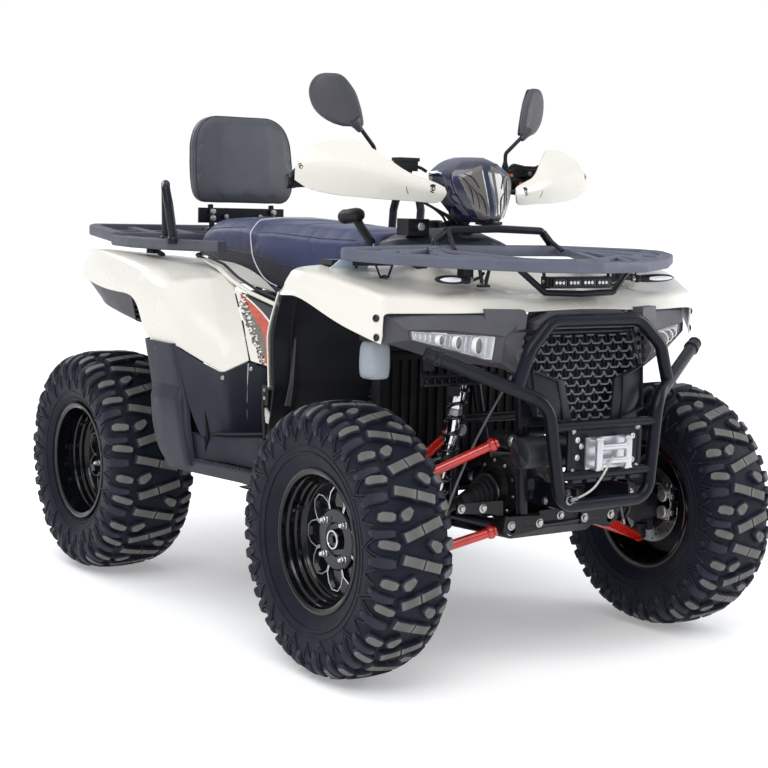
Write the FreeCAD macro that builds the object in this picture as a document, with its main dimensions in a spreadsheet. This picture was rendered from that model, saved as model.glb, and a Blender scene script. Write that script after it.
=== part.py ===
import FreeCAD, Part
import math
import os
import Sketcher
from FreeCAD import Placement, Rotation, Vector as V

# Quad bike. Millimetres, +Z up, front of the vehicle towards -Y, its right side towards -X.
# Origin: on the ground, on the centreline, in the middle of the length.

doc = FreeCAD.newDocument("quad_bike")
sheet = doc.addObject("Spreadsheet::Sheet", "dims")
CELLS = {}
NODES = []          # objects that are written, in order


def cell(alias, value, note=""):
    """One driving dimension, in millimetres or degrees."""
    if alias in CELLS:
        return CELLS[alias]
    row = len(CELLS) + 1
    sheet.set("A%d" % row, note or alias.replace("_", " "))
    sheet.set("B%d" % row, repr(float(value)))
    sheet.setAlias("B%d" % row, alias)
    CELLS[alias] = float(value)
    return float(value)


def val(alias):
    return CELLS[alias]


class E:
    """k times a cell plus an offset: its value, and the same as an expression."""
    def __init__(self, alias, k=1.0, off=0.0):
        self.value = CELLS[alias] * k + off
        self.text = "dims.%s * %r + %r" % (alias, float(k), float(off))


# ---------------------------------------------------------------- driving dimensions
cell("axle_front_y", -642, "front axle, y")
cell("axle_rear_y", 642, "rear axle, y")
cell("axle_height", 317.5, "axle height, the tyre radius")
cell("track_front", 500, "front wheel centre, x")
cell("track_rear", 477, "rear wheel centre, x")
cell("tyre_outer", 317.5, "tyre outer radius, 25 inch")
cell("tyre_bead", 151.8, "tyre bead radius")
cell("tyre_front_wide", 201, "front tyre width")
cell("tyre_rear_wide", 257, "rear tyre width")
cell("rim_seat", 152, "rim bead seat radius")
cell("rim_flange", 166, "rim flange radius")
cell("rim_well", 138, "rim barrel inner radius")
cell("lug_circle", 55, "wheel bolt circle radius")
cell("frame_tube", 14, "main frame tube radius")
cell("frame_brace", 11, "frame brace tube radius")
cell("frame_bend", 60, "frame bend radius")
cell("bumper_tube", 15, "bumper tube radius")
cell("bumper_brace", 11, "bumper cross bar radius")
cell("arm_tube", 11.5, "suspension arm tube radius")
cell("bar_tube", 11, "handlebar radius")
cell("grip_tube", 17, "grip radius")
cell("rack_tube", 9, "rack inner bar radius")
cell("handle_tube", 8.5, "rack handle radius")
cell("skin", 4, "thickness of the plastic panels")
cell("plate", 4, "thickness of steel plates")
cell("column_tube", 12, "steering column radius")
cell("spindle", 16, "knuckle spindle radius")
cell("hub_bore", 16.4, "hub bore radius")
cell("hitch_pin", 9.5, "hitch pin hole radius")
cell("drive_height", 400, "centre of the drive housings above the ground")
cell("seat_height", 1023, "seat top above the ground")
cell("rope_wire", 2.6, "winch rope radius")
cell("cable_wire", 3.2, "control cable radius")
cell("hose_wire", 3.0, "brake hose radius")
doc.recompute()


def bind(obj, prop, expr):
    obj.setExpression(prop, expr.text if isinstance(expr, E) else "dims." + expr)


def made(obj, label, node=True):
    obj.Label = label
    if node:
        NODES.append(obj)
    return obj


# ---------------------------------------------------------------- building blocks
def wire(pts, bend):
    """Straight runs joined by tangent arcs of the given radius, or less where a run is short."""
    pts = [V(*p) for p in pts]
    edges, last = [], pts[0]
    for i in range(1, len(pts) - 1):
        a, b, c = pts[i - 1], pts[i], pts[i + 1]
        u, w = (a - b).normalize(), (c - b).normalize()
        ang = u.getAngle(w)
        r = bend[i - 1] if isinstance(bend, (list, tuple)) else bend
        d = r / math.tan(ang / 2)
        room = 0.45 * min((a - b).Length, (c - b).Length)
        if d > room:
            d, r = room, room * math.tan(ang / 2)
        p, q = b + u * d, b + w * d
        bis = (u + w).normalize()
        mid = b + bis * (r / math.sin(ang / 2) - r)
        edges.append(Part.LineSegment(last, p).toShape())
        edges.append(Part.Arc(p, mid, q).toShape())
        last = q
    edges.append(Part.LineSegment(last, pts[-1]).toShape())
    return Part.Wire(edges)


COUNT = {}


def name(stem):
    COUNT[stem] = COUNT.get(stem, 0) + 1
    return "%s_%d" % (stem, COUNT[stem])


def tube(pts, alias, bend=None, stem="tube"):
    """A round bar or tube: a circle of a driven radius swept along runs and bends."""
    bend = val("frame_bend") if bend is None else bend
    spine = doc.addObject("Part::Feature", name(stem + "_path"))
    spine.Shape = wire(pts, bend)
    circle = doc.addObject("Part::Circle", name(stem + "_ring"))
    bind(circle, "Radius", alias)
    d = V(*pts[1]) - V(*pts[0])
    circle.Placement = Placement(V(*pts[0]), Rotation(V(0, 0, 1), d))
    sweep = doc.addObject("Part::Sweep", name(stem))
    sweep.Sections = [circle]
    sweep.Spine = (spine, ["Edge%d" % (i + 1) for i in range(len(spine.Shape.Edges))])
    sweep.Solid = True
    sweep.Frenet = False
    sweep.Transition = "Transformed"
    return sweep


def box(lo, hi, stem="block"):
    b = doc.addObject("Part::Box", name(stem))
    b.Placement = Placement(V(*lo), Rotation())
    for prop, i in (("Length", 0), ("Width", 1), ("Height", 2)):
        alias = "%s_%s" % (b.Name.replace("_", "").lower(), prop.lower())
        cell(alias, hi[i] - lo[i])
        bind(b, prop, alias)
    return b


def rod(a, b, radius, stem="rod"):
    """Straight cylinder from a to b; radius is a cell's alias or a number."""
    c = doc.addObject("Part::Cylinder", name(stem))
    if not isinstance(radius, (str, E)):
        alias = c.Name.replace("_", "").lower() + "_radius"
        cell(alias, radius)
        radius = alias
    bind(c, "Radius", radius)
    alias = c.Name.replace("_", "").lower() + "_length"
    cell(alias, (V(*b) - V(*a)).Length)
    bind(c, "Height", alias)
    c.Placement = Placement(V(*a), Rotation(V(0, 0, 1), V(*b) - V(*a)))
    return c


def cone(a, b, ra, rb, stem="cone"):
    c = doc.addObject("Part::Cone", name(stem))
    base = c.Name.replace("_", "").lower()
    cell(base + "_start", ra)
    cell(base + "_end", rb)
    cell(base + "_length", (V(*b) - V(*a)).Length)
    bind(c, "Radius1", base + "_start")
    bind(c, "Radius2", base + "_end")
    bind(c, "Height", base + "_length")
    c.Placement = Placement(V(*a), Rotation(V(0, 0, 1), V(*b) - V(*a)))
    return c


def strut(a, b, gap_a=15.5, gap_b=15.5, radius="frame_brace", stem="strut"):
    """Straight bar between the centres of two tubes, cut short at each so that it meets the tube's wall."""
    a, b = V(*a), V(*b)
    u = (b - a).normalize()
    return rod(tuple(a + u * gap_a), tuple(b - u * gap_b), radius, stem)


def ball(p, radius, stem="ball"):
    s = doc.addObject("Part::Sphere", name(stem))
    alias = s.Name.replace("_", "").lower() + "_radius"
    cell(alias, radius)
    bind(s, "Radius", alias)
    s.Placement = Placement(V(*p), Rotation())
    return s


def fuse(label, parts, node=True):
    f = doc.addObject("Part::MultiFuse", name("fuse"))
    f.Shapes = parts
    f.Refine = False
    return made(f, label, node)


def cut(label, base, tool, node=True):
    c = doc.addObject("Part::Cut", name("cut"))
    c.Base, c.Tool = base, tool
    return made(c, label, node)


def group(label, parts, node=True):
    """Like pieces on one body that don't touch: one compound."""
    c = doc.addObject("Part::Compound", name("group"))
    c.Links = parts
    return made(c, label, node)


def mir(p, s):
    return (p[0] * s, p[1], p[2])


def feature(shape, stem):
    f = doc.addObject("Part::Feature", name(stem))
    f.Shape = shape
    return f


def skin(grid, thick, stem="panel", inward=1):
    """A panel of even thickness over a grid of points: flat facets, offset along averaged normals."""
    n, m = len(grid), len(grid[0])
    P = [[V(*p) for p in row] for row in grid]
    N = [[V(0, 0, 0) for _ in range(m)] for _ in range(n)]
    for i in range(n - 1):
        for j in range(m - 1):
            a, b, c, d = P[i][j], P[i + 1][j], P[i + 1][j + 1], P[i][j + 1]
            k = (c - a).cross(d - b)
            if k.Length > 1e-9:
                k.normalize()
            for q in ((i, j), (i + 1, j), (i + 1, j + 1), (i, j + 1)):
                N[q[0]][q[1]] = N[q[0]][q[1]] + k
    Q = [[P[i][j] + N[i][j].normalize() * (thick * inward) for j in range(m)] for i in range(n)]
    faces = []

    def tri(a, b, c):
        if (b - a).cross(c - a).Length > 1e-6:
            faces.append(Part.Face(Part.makePolygon([a, b, c, a])))

    for G in (P, Q):
        for i in range(n - 1):
            for j in range(m - 1):
                tri(G[i][j], G[i + 1][j], G[i + 1][j + 1])
                tri(G[i][j], G[i + 1][j + 1], G[i][j + 1])
    rim = ([(i, 0) for i in range(n)] + [(n - 1, j) for j in range(1, m)]
           + [(i, m - 1) for i in range(n - 2, -1, -1)] + [(0, j) for j in range(m - 2, 0, -1)])
    for a, b in zip(rim, rim[1:] + rim[:1]):
        tri(P[a[0]][a[1]], P[b[0]][b[1]], Q[b[0]][b[1]])
        tri(P[a[0]][a[1]], Q[b[0]][b[1]], Q[a[0]][a[1]])
    shell = Part.Shell(faces)
    solid = Part.Solid(shell)
    if solid.Volume < 0:
        solid.reverse()
    return feature(solid, stem)


def loft(sections, stem="loft"):
    """Solid between closed polygons with the same number of corners: flat facets."""
    S = [[V(*p) for p in s] for s in sections]
    faces = []

    def tri(a, b, c):
        if (b - a).cross(c - a).Length > 1e-6:
            faces.append(Part.Face(Part.makePolygon([a, b, c, a])))

    m = len(S[0])
    for A, B in zip(S, S[1:]):
        for j in range(m):
            k = (j + 1) % m
            tri(A[j], B[j], B[k])
            tri(A[j], B[k], A[k])
    for s in (S[0], S[-1]):
        mid = V(0, 0, 0)
        for p in s:
            mid = mid + p
        mid = mid * (1.0 / m)
        for j in range(m):
            tri(s[j], s[(j + 1) % m], mid)
    solid = Part.Solid(Part.Shell(faces))
    if solid.Volume < 0:
        solid.reverse()
    return feature(solid, stem)


def slab(pts, depth, stem="slab"):
    """Flat polygon pushed along a vector: plates and lenses."""
    pts = [V(*p) for p in pts]
    face = Part.Face(Part.makePolygon(pts + [pts[0]]))
    return feature(face.extrude(V(*depth)), stem)


def sketch_loop(body, stem, loop, plane="XY_Plane"):
    """A closed sketch whose corners are tied to the sheet. loop: (x, y) of numbers or E, all at least 0."""
    sk = body.newObject("Sketcher::SketchObject", name(stem))
    sk.AttachmentSupport = [([f for f in body.Origin.OriginFeatures if f.Role == plane][0], "")]
    sk.MapMode = "FlatFace"
    num = [[c.value if isinstance(c, E) else float(c) for c in p] for p in loop]
    k = len(num)
    for i in range(k):
        a, b = num[i], num[(i + 1) % k]
        sk.addGeometry(Part.LineSegment(V(a[0], a[1], 0), V(b[0], b[1], 0)), False)
    for i in range(k):
        sk.addConstraint(Sketcher.Constraint("Coincident", i, 2, (i + 1) % k, 1))
    for i, p in enumerate(loop):
        for axis, c, v in (("DistanceX", p[0], num[i][0]), ("DistanceY", p[1], num[i][1])):
            if abs(v) < 1e-9:
                other = -2 if axis == "DistanceX" else -1
                sk.addConstraint(Sketcher.Constraint("PointOnObject", i, 1, other))
                continue
            n = sk.addConstraint(Sketcher.Constraint(axis, -1, 1, i, 1, v))
            if isinstance(c, E):
                sk.setExpression("Constraints[%d]" % n, c.text)
    return sk


def sketch_circle(body, stem, x, y, radius, plane="XY_Plane", offset=0.0):
    sk = body.newObject("Sketcher::SketchObject", name(stem))
    sk.AttachmentSupport = [([f for f in body.Origin.OriginFeatures if f.Role == plane][0], "")]
    sk.MapMode = "FlatFace"
    if offset:
        sk.AttachmentOffset = Placement(V(0, 0, offset), Rotation())
    r = radius.value if isinstance(radius, E) else float(radius)
    sk.addGeometry(Part.Circle(V(x, y, 0), V(0, 0, 1), r), False)
    n = sk.addConstraint(Sketcher.Constraint("Radius", 0, r))
    if isinstance(radius, E):
        sk.setExpression("Constraints[%d]" % n, radius.text)
    if abs(x) > 1e-9:
        sk.addConstraint(Sketcher.Constraint("DistanceX", -1, 1, 0, 3, x))
    else:
        sk.addConstraint(Sketcher.Constraint("PointOnObject", 0, 3, -2))
    if abs(y) > 1e-9:
        sk.addConstraint(Sketcher.Constraint("DistanceY", -1, 1, 0, 3, y))
    else:
        sk.addConstraint(Sketcher.Constraint("PointOnObject", 0, 3, -1))
    return sk


def turned(label, loop, place, node=True):
    """A PartDesign body turned about its own Y axis from a profile of (radius, along) corners."""
    body = doc.addObject("PartDesign::Body", name("turned"))
    sk = sketch_loop(body, "profile", loop)
    rev = body.newObject("PartDesign::Revolution", name("revolution"))
    rev.Profile = sk
    rev.ReferenceAxis = (sk, ["V_Axis"])
    rev.Angle = 360
    body.Placement = place
    return made(body, label, node)


# ---------------------------------------------------------------- wheels
ZA = val("axle_height")


def outboard(s, x, y):
    """Placement of a wheel piece: its Y axis points outboard; s is +1 on the left, -1 on the right."""
    return Placement(V(s * x, y, ZA), Rotation(V(0, 0, 1), -90 * s))


def tyre_loop(wide):
    """Tyre casing: bead, sidewall, shoulder, crown and back inside. Along runs 0 to the width."""
    w = lambda k, off=0.0: E(wide, k, off)
    R = lambda off=0.0: E("tyre_outer", 1, off)
    B = lambda off=0.0: E("tyre_bead", 1, off)
    outer = [(B(), w(0.13)), (B(15.5), w(0.13)), (B(24), w(0.05)), (B(62), w(0, 0.01)), (B(108), w(0.03)), (R(-30), w(0.08)),
             (R(-9), w(0.20)), (R(-1.5), w(0.36)), (R(), w(0.5)), (R(-1.5), w(0.64)), (R(-9), w(0.80)),
             (R(-30), w(0.92)), (B(108), w(0.97)), (B(62), w(1.0)), (B(24), w(0.95)), (B(15.5), w(0.87)), (B(), w(0.87))]
    inner = [(B(), w(0.87, -16)), (B(30), w(0.95, -18)), (B(62), w(1, -14)), (B(100), w(0.97, -16)),
             (R(-38), w(0.90, -14)), (R(-24), w(0.72)), (R(-22), w(0.5)), (R(-24), w(0.28)),
             (R(-38), w(0.10, 14)), (B(100), w(0.03, 16)), (B(62), w(0, 14)), (B(30), w(0.05, 18)),
             (B(), w(0.13, 16))]
    return outer + inner


def rim_loop(wide, disc):
    """Rim: two flanges, bead seats, drop centre and a disc let in from the outer side."""
    w = lambda k, off=0.0: E(wide, k, off)
    S = lambda off=0.0: E("rim_seat", 1, off)
    F = E("rim_flange")
    W = lambda off=0.0: E("rim_well", 1, off)
    return [(F, w(0.13, -7)), (F, w(0.13, -1)), (S(), w(0.13, -1)), (S(), w(0.13, 22)), (W(5), w(0.13, 34)),
            (W(5), w(0.87, -34)), (S(), w(0.87, -22)), (S(), w(0.87, 1)), (F, w(0.87, 1)), (F, w(0.87, 7)),
            (S(-4), w(0.87, 7)), (W(), w(0.87, -14)),
            (W(-2), w(disc, 6)), (112.0, w(disc, 10)), (92.0, w(disc, 2)), (40.0, w(disc, 2)),
            (40.0, w(disc, -6)), (96.0, w(disc, -6)), (W(-2), w(disc, -4)), (W(-1), w(0.13, 14)),
            (S(-4), w(0.13, -7))]


def rim_body(label, wide, disc, place):
    body = turned(label, rim_loop(wide, disc), place)
    span = val(wide)
    sk = body.newObject("Sketcher::SketchObject", name("window"))
    sk.AttachmentSupport = [([f for f in body.Origin.OriginFeatures if f.Role == "XZ_Plane"][0], "")]
    sk.MapMode = "FlatFace"
    sk.AttachmentOffset = Placement(V(0, 0, -(span * disc + 30)), Rotation())
    pts = [(104.0, 0.0), (114.0, 15.0), (124.0, 20.0), (130.0, 0.0), (124.0, -20.0), (114.0, -15.0)]
    for a, b in zip(pts, pts[1:] + pts[:1]):
        sk.addGeometry(Part.LineSegment(V(a[0], a[1], 0), V(b[0], b[1], 0)), False)
    for i in range(len(pts)):
        sk.addConstraint(Sketcher.Constraint("Coincident", i, 2, (i + 1) % len(pts), 1))
    pocket = body.newObject("PartDesign::Pocket", name("pocket"))
    pocket.Profile = sk
    pocket.Length = 80
    pocket.Midplane = True
    pat = body.newObject("PartDesign::PolarPattern", name("polar"))
    pat.Originals = [pocket]
    pat.Axis = ([f for f in body.Origin.OriginFeatures if f.Role == "Y_Axis"][0], [""])
    pat.Angle = 360
    pat.Occurrences = 8
    body.Tip = pat
    return body


def hub_loop(wide, disc, brake):
    """Hub: bored from inboard, mounting flange, centre cap, and on a front hub the brake disc."""
    w = lambda k, off=0.0: E(wide, k, off)
    B = E("hub_bore")
    out = [(0.0, w(disc, 34)), (18.0, w(disc, 34)), (31.0, w(disc, 26)), (33.0, w(disc, 2)), (38.5, w(disc, 2)),
           (38.5, w(disc, -6.2)), (72.0, w(disc, -6.2)), (72.0, w(disc, -16))]
    if brake:
        out += [(40.0, w(disc, -18)), (40.0, w(disc, -40)), (100.0, w(disc, -40)), (100.0, w(disc, -44)),
                (34.0, w(disc, -44)), (34.0, w(disc, -52)), (B, w(disc, -52))]
    else:
        out += [(40.0, w(disc, -18)), (36.0, w(disc, -58)), (B, w(disc, -58))]
    return out + [(B, w(disc, 10)), (0.0, w(disc, 10))]


WHEELS = (("front_left", 1, "track_front", "axle_front_y", "tyre_front_wide", 0.50, True),
          ("front_right", -1, "track_front", "axle_front_y", "tyre_front_wide", 0.50, True),
          ("rear_left", 1, "track_rear", "axle_rear_y", "tyre_rear_wide", 0.46, False),
          ("rear_right", -1, "track_rear", "axle_rear_y", "tyre_rear_wide", 0.46, False))
for tag, s, tx, ty, wide, disc, brake in WHEELS:
    half = val(wide) / 2
    turned("tyre_" + tag, tyre_loop(wide), outboard(s, val(tx) - half, val(ty)))
    rim_body("rim_" + tag, wide, disc, outboard(s, val(tx) - half, val(ty)))
    turned("hub_" + tag, hub_loop(wide, disc, brake), outboard(s, val(tx) - half, val(ty)))

# ---------------------------------------------------------------- frame
FT, FB = "frame_tube", "frame_brace"
rails, spines, posts = [], [], []
for s in (1, -1):
    m = lambda *p: mir(p, s)
    rails.append(tube([m(108, -800, 350), m(108, -760, 326), m(112, -520, 319), m(150, -330, 268), m(150, 430, 262),
                       m(112, 560, 290), m(104, 745, 318), m(104, 800, 340)], FT, stem="rail"))
    spines.append(tube([m(108, -799, 368), m(118, -790, 700), m(135, -600, 850), m(150, -260, 800), m(150, 20, 745),
                        m(150, 300, 770), m(150, 880, 830)], FT, stem="spine"))
    posts += [strut(m(112, -540, 319.5), m(136, -580, 847), 16, 17), strut(m(150, -290, 267.7), m(148.7, -290, 804.4)),
              strut(m(150, 380, 262.4), m(150, 340, 774)), strut(m(119.3, 535, 284.6), m(150, 560, 797), 18, 16),
              strut(m(104, 800, 340), m(150, 872, 829), 18, 17)]
for y, z, x in ((-700, 324.3, 109), (-500, 313.5, 116), (-300, 267.8, 150), (400, 262.3, 150), (700, 311.2, 106),
                (-797.5, 410, 109.3), (-793.5, 560, 113.8), (-560, 844, 136.8), (-120, 772.5, 150), (200, 761, 150),
                (500, 790.7, 150), (850, 827, 150)):
    posts.append(strut((-x, y, z), (x, y, z)))
# shock towers and the lower column bearing
posts += [rod((-200, -672, 759.6), (200, -672, 759.6), FB), rod((-229, 684, 760.5), (229, 684, 760.5), FB),
          strut((-122.9, -558, 560), (122.9, -558, 560), 12.5, 12.5), box((-22, -546.5, 552), (22, -511, 568), "bearing")]
group("frame_rails", rails)
group("frame_spines", spines)
group("frame_posts", posts)

# ---------------------------------------------------------------- engine, one plain block
box((-128, -235, 285), (128, 255, 700), "engine")
made(doc.getObject("engine_1"), "engine_block")

# ---------------------------------------------------------------- skid plate
t = val("plate")
skin([[(-118, -820, 340), (118, -820, 340)], [(-118, -772, 303), (118, -772, 303)],
      [(-128, -520, 294), (128, -520, 294)], [(-165, -330, 245), (165, -330, 245)],
      [(-165, 430, 239), (165, 430, 239)]], t, "skid", -1)
made(doc.getObject("skid_1"), "skid_plate")

# ---------------------------------------------------------------- bumper
BT, BB = "bumper_tube", "bumper_brace"
parts = [
    tube([(-410, -820, 753), (-166, -950, 646), (-133, -962, 412), (133, -962, 412), (166, -950, 646),
          (410, -820, 753)], BT, [70, 48, 48, 70], "guard"),
    tube([(-230, -914, 674), (-199, -918, 764), (-133, -911, 826), (133, -911, 826), (199, -918, 764),
          (230, -914, 674)], BT, [60, 55, 55, 60], "hoop"),
    tube([(-156, -953, 591), (156, -953, 591)], BB, stem="bar"),
    tube([(-142, -958, 480), (142, -958, 480)], BB, stem="bar"),
    box((-112, -956, 478), (112, -951, 592), "winch_plate"),
]
for s in (1, -1):
    lo, hi = sorted((76 * s, 82 * s))
    parts.append(box((lo, -958, 392), (hi, -809, 448), "bracket"))
fuse("bumper", parts)

# ---------------------------------------------------------------- winch, fairlead and rope
parts = [rod((-200, -892, 528), (-62, -892, 528), 36), rod((-62, -892, 528), (62, -892, 528), 24),
         rod((-70, -892, 528), (-60, -892, 528), 40), rod((60, -892, 528), (132, -892, 528), 40),
         box((-70, -850, 505), (132, -846, 551), "winch_foot")]
parts += [box((-68, -892, 505), (-62, -848, 551), "winch_foot"), box((62, -892, 505), (68, -848, 551), "winch_foot")]
fuse("winch", parts)
parts = [box((-62, -962, 492), (62, -957, 564), "fair_plate")]
for x in (-44, 44):
    parts.append(rod((x, -986, 494), (x, -986, 562), 8))
    for z in (494, 558):
        parts.append(box((x - 9, -988, z), (x + 9, -958, z + 4), "fair_lug"))
for z in (512, 544):
    parts.append(rod((-46, -986, z), (46, -986, z), 7))
fuse("fairlead", parts)
made(tube([(-12, -997, 522), (-46, -1000, 476), (-80, -996, 443), (-112, -982, 431)], "rope_wire", 30, "rope"),
     "winch_rope")

# ---------------------------------------------------------------- nose: grille, bezels, lamps
gy = lambda z: -871 - (793 - z) * 0.1436
outline = [(-146, 793), (146, 793), (166, 702), (82, 690), (63, 590), (-63, 590), (-82, 690), (-166, 702)]
g = slab([(x, gy(z), z) for x, z in outline], (0, 8, 0), "grille_plate")
slots = []
for k, z in enumerate(range(608, 790, 22)):
    wide = 50 if z < 690 else 128
    slots.append(box((-wide, gy(z) - 12, z), (wide, gy(z) + 14, z + 14), "grille_slot"))
tools = doc.addObject("Part::Compound", "grille_slots")
tools.Links = slots
cut("grille", g, tools)

parts, lenses = [], []
for s in (1, -1):
    m = lambda *p: mir(p, s)
    ring = [m(-458, -722, 832), m(-245, -832, 836), m(-171, -870, 836), m(-184, -864, 701), m(-223, -844, 718),
            m(-371, -767, 741), m(-455, -724, 771)]
    body = loft([ring, [(p[0] + s * -20, p[1] + 45, p[2]) for p in ring]], "bezel_block")
    pocket = [m(-414, -765, 797), m(-240, -855, 787), m(-248, -850, 735), m(-411, -767, 778)]
    hole = loft([pocket, [(p[0] + s * -20, p[1] + 60, p[2]) for p in pocket]], "bezel_hole")
    parts.append(cut("bezel_side", body, hole, False))
    mid = [sum(p[i] for p in pocket) / 4 for i in range(3)]
    lens = [tuple(mid[i] + (p[i] - mid[i]) * (0.975, 0.975, 0.93)[i] + (-9 * s, 27, 0)[i] for i in range(3)) for p in pocket]
    lenses.append(loft([lens, [(p[0] - s * 4, p[1] + 12, p[2]) for p in lens]], "lens"))
group("headlight_bezels", parts)
nose = slab([(-150, -872, 818), (-97, -872, 843), (97, -872, 843), (150, -872, 818)], (0, 40, 0), "nose")
lenses.append(box((-92, -856, 894), (92, -822, 922), "lamp"))
group("front_lamps", lenses)
parts = []
for s in (1, -1):
    m = lambda *p: mir(p, s)
    parts.append(fuse("signal", [rod(m(361, -781, 914), m(262, -762, 911), 9), rod(m(262, -762, 911), m(225, -752, 912), 5)], False))
group("turn_signals", parts)

# ---------------------------------------------------------------- front fenders and hood, one shell
rows = [
    [(0, -868, 852), (0, -815, 880), (0, -720, 893), (0, -640, 900), (0, -560, 910)],
    [(150, -862, 846), (150, -815, 877), (150, -720, 891), (150, -640, 900), (150, -560, 912)],
    [(300, -800, 840), (300, -780, 872), (300, -700, 888), (300, -620, 903), (300, -500, 918)],
    [(440, -742, 838), (440, -735, 874), (450, -660, 893), (465, -580, 915), (440, -470, 932)],
    [(472, -738, 836), (476, -734, 874), (505, -672, 894), (560, -556, 924), (545, -480, 926)],
    [(472, -736, 800), (482, -728, 832), (520, -655, 858), (574, -556, 898), (560, -470, 892)],
    [(474, -734, 770), (490, -716, 778), (530, -650, 818), (572, -545, 874), (566, -455, 868)],
]
left = [[(-p[0], p[1], p[2]) for p in row] for row in rows[:0:-1]]
front_shell = skin(left + rows, val("skin"), "fender_shell", -1)
legs = []
for s in (1, -1):
    m = lambda *p: mir(p, s)
    legs.append(skin([[m(566, -453, 868), m(562, -392, 764), m(552, -388, 640)],
                      [m(470, -330, 880), m(462, -290, 764), m(452, -290, 628)]], val("skin"), "fender_leg", s))
group("front_fenders", [front_shell] + legs)

parts = []
for s in (1, -1):
    m = lambda *p: mir(p, s)
    parts.append(skin([
        [m(550, -452, 855), m(548, -396, 764), m(540, -394, 640), m(520, -330, 520)],
        [m(420, -380, 862), m(410, -360, 764), m(400, -350, 640), m(400, -305, 500)],
        [m(250, -400, 850), m(240, -360, 764), m(232, -350, 640), m(232, -300, 500)]],
        val("skin"), "liner", s))
    # the dark panel that closes the fender tail from below
    parts.append(skin([
        [m(452, 866, 830), m(494, 740, 824), m(500, 480, 820)],
        [m(436, 796, 798), m(472, 716, 772), m(480, 480, 728)],
        [m(330, 796, 788), m(330, 716, 762), m(330, 480, 720)]],
        val("skin"), "tail_liner", -s))
group("liners", parts)

# ---------------------------------------------------------------- racks
def rim_ring(pts, wall, rise, stem, lean=0.0):
    """Closed flat rim: an inset loop of the same outline taken out of a solid outline."""
    outer = slab(pts, (0, 0, rise), stem)
    c = [sum(p[0] for p in pts) / len(pts), sum(p[1] for p in pts) / len(pts)]
    inset = []
    k = len(pts)
    for i in range(k):
        a, b, d = V(*pts[i - 1]), V(*pts[i]), V(*pts[(i + 1) % k])
        u, w = (b - a), (d - b)
        u.z = w.z = 0
        u.normalize(); w.normalize()
        nu, nw = V(-u.y, u.x, 0), V(-w.y, w.x, 0)
        if nu.dot(V(c[0], c[1], b.z) - b) < 0:
            nu = nu * -1
        if nw.dot(V(c[0], c[1], b.z) - b) < 0:
            nw = nw * -1
        bis = (nu + nw)
        k2 = 1 + nu.dot(nw)
        off = bis * (wall / k2)
        inset.append((b.x + off.x, b.y + off.y, b.z + off.y * lean))
    hole = slab([(p[0], p[1], p[2] - 5) for p in inset], (0, 0, rise + 10), stem + "_hole")
    return cut(stem + "_ring", outer, hole, False)


zf = lambda y: 948 + 0.05 * (y + 600)
fr = [(x, y, zf(y)) for x, y in ((-310, -820), (-160, -905), (0, -930), (160, -905), (310, -820), (440, -700), (500, -600),
                                 (455, -535), (200, -520), (-200, -520), (-455, -535), (-500, -600), (-440, -700))]
parts = [rim_ring(fr, 34, 26, "front_rim", 0.05)]
for x in (-300, -180, -60, 60, 180, 300):
    reach = (-768, -842, -881)[2 - (abs(x) > 100) - (abs(x) > 250)] - 6
    back = -568 if abs(x) > 250 else -550
    parts.append(slab([(x - 12, reach, zf(reach) + 4), (x + 12, reach, zf(reach) + 4), (x + 12, back, zf(back) + 4),
                       (x - 12, back, zf(back) + 4)], (0, 0, 18), "slat"))
rack = fuse("front_rack_deck", parts, False)
handle = tube([(-180, -520, 987), (-141, -540, 1021), (141, -540, 1021), (180, -520, 987)], "handle_tube", 20, "rack_handle")
group("front_rack", [rack, handle])
brackets = []
for x in (-240, 240):
    brackets.append(box((x - 14, -740, 906), (x + 14, -715, 940.5), "rack_leg"))
    brackets.append(box((x - 14, -560, 922), (x + 14, -535, 949.5), "rack_leg"))


zb = lambda y: 935 + 0.073 * (y - 600)
rr = [(x, y, zb(y)) for x, y in ((-385, 985), (385, 985), (415, 940), (440, 700), (-440, 700), (-415, 940))]
parts = [rim_ring(rr, 36, 33, "rear_rim", 0.073)]
for x in (-300, -150, 0, 150, 300):
    parts.append(slab([(x - 13, 730, zb(730) + 7), (x + 13, 730, zb(730) + 7), (x + 13, 955, zb(955) + 7), (x - 13, 955, zb(955) + 7)],
                      (0, 0, 20), "slat"))
grabs = []
for s in (1, -1):
    m = lambda *p: mir(p, s)
    parts.append(slab([m(x, y, 934) for x, y in ((446, 705), (450, 430), (425, 352), (395, 300), (335, 215), (300, 235),
                                                 (345, 330), (372, 400), (372, 705))], (0, 0, 31), "side_bar"))
    grabs.append(tube([m(418, 368, 966.3), m(437, 372, 1118), m(402, 468, 1118), m(388, 475, 966.3)], "handle_tube", 32, "grab"))
fuse("rear_rack", parts)
group("grab_handles", grabs)

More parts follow.
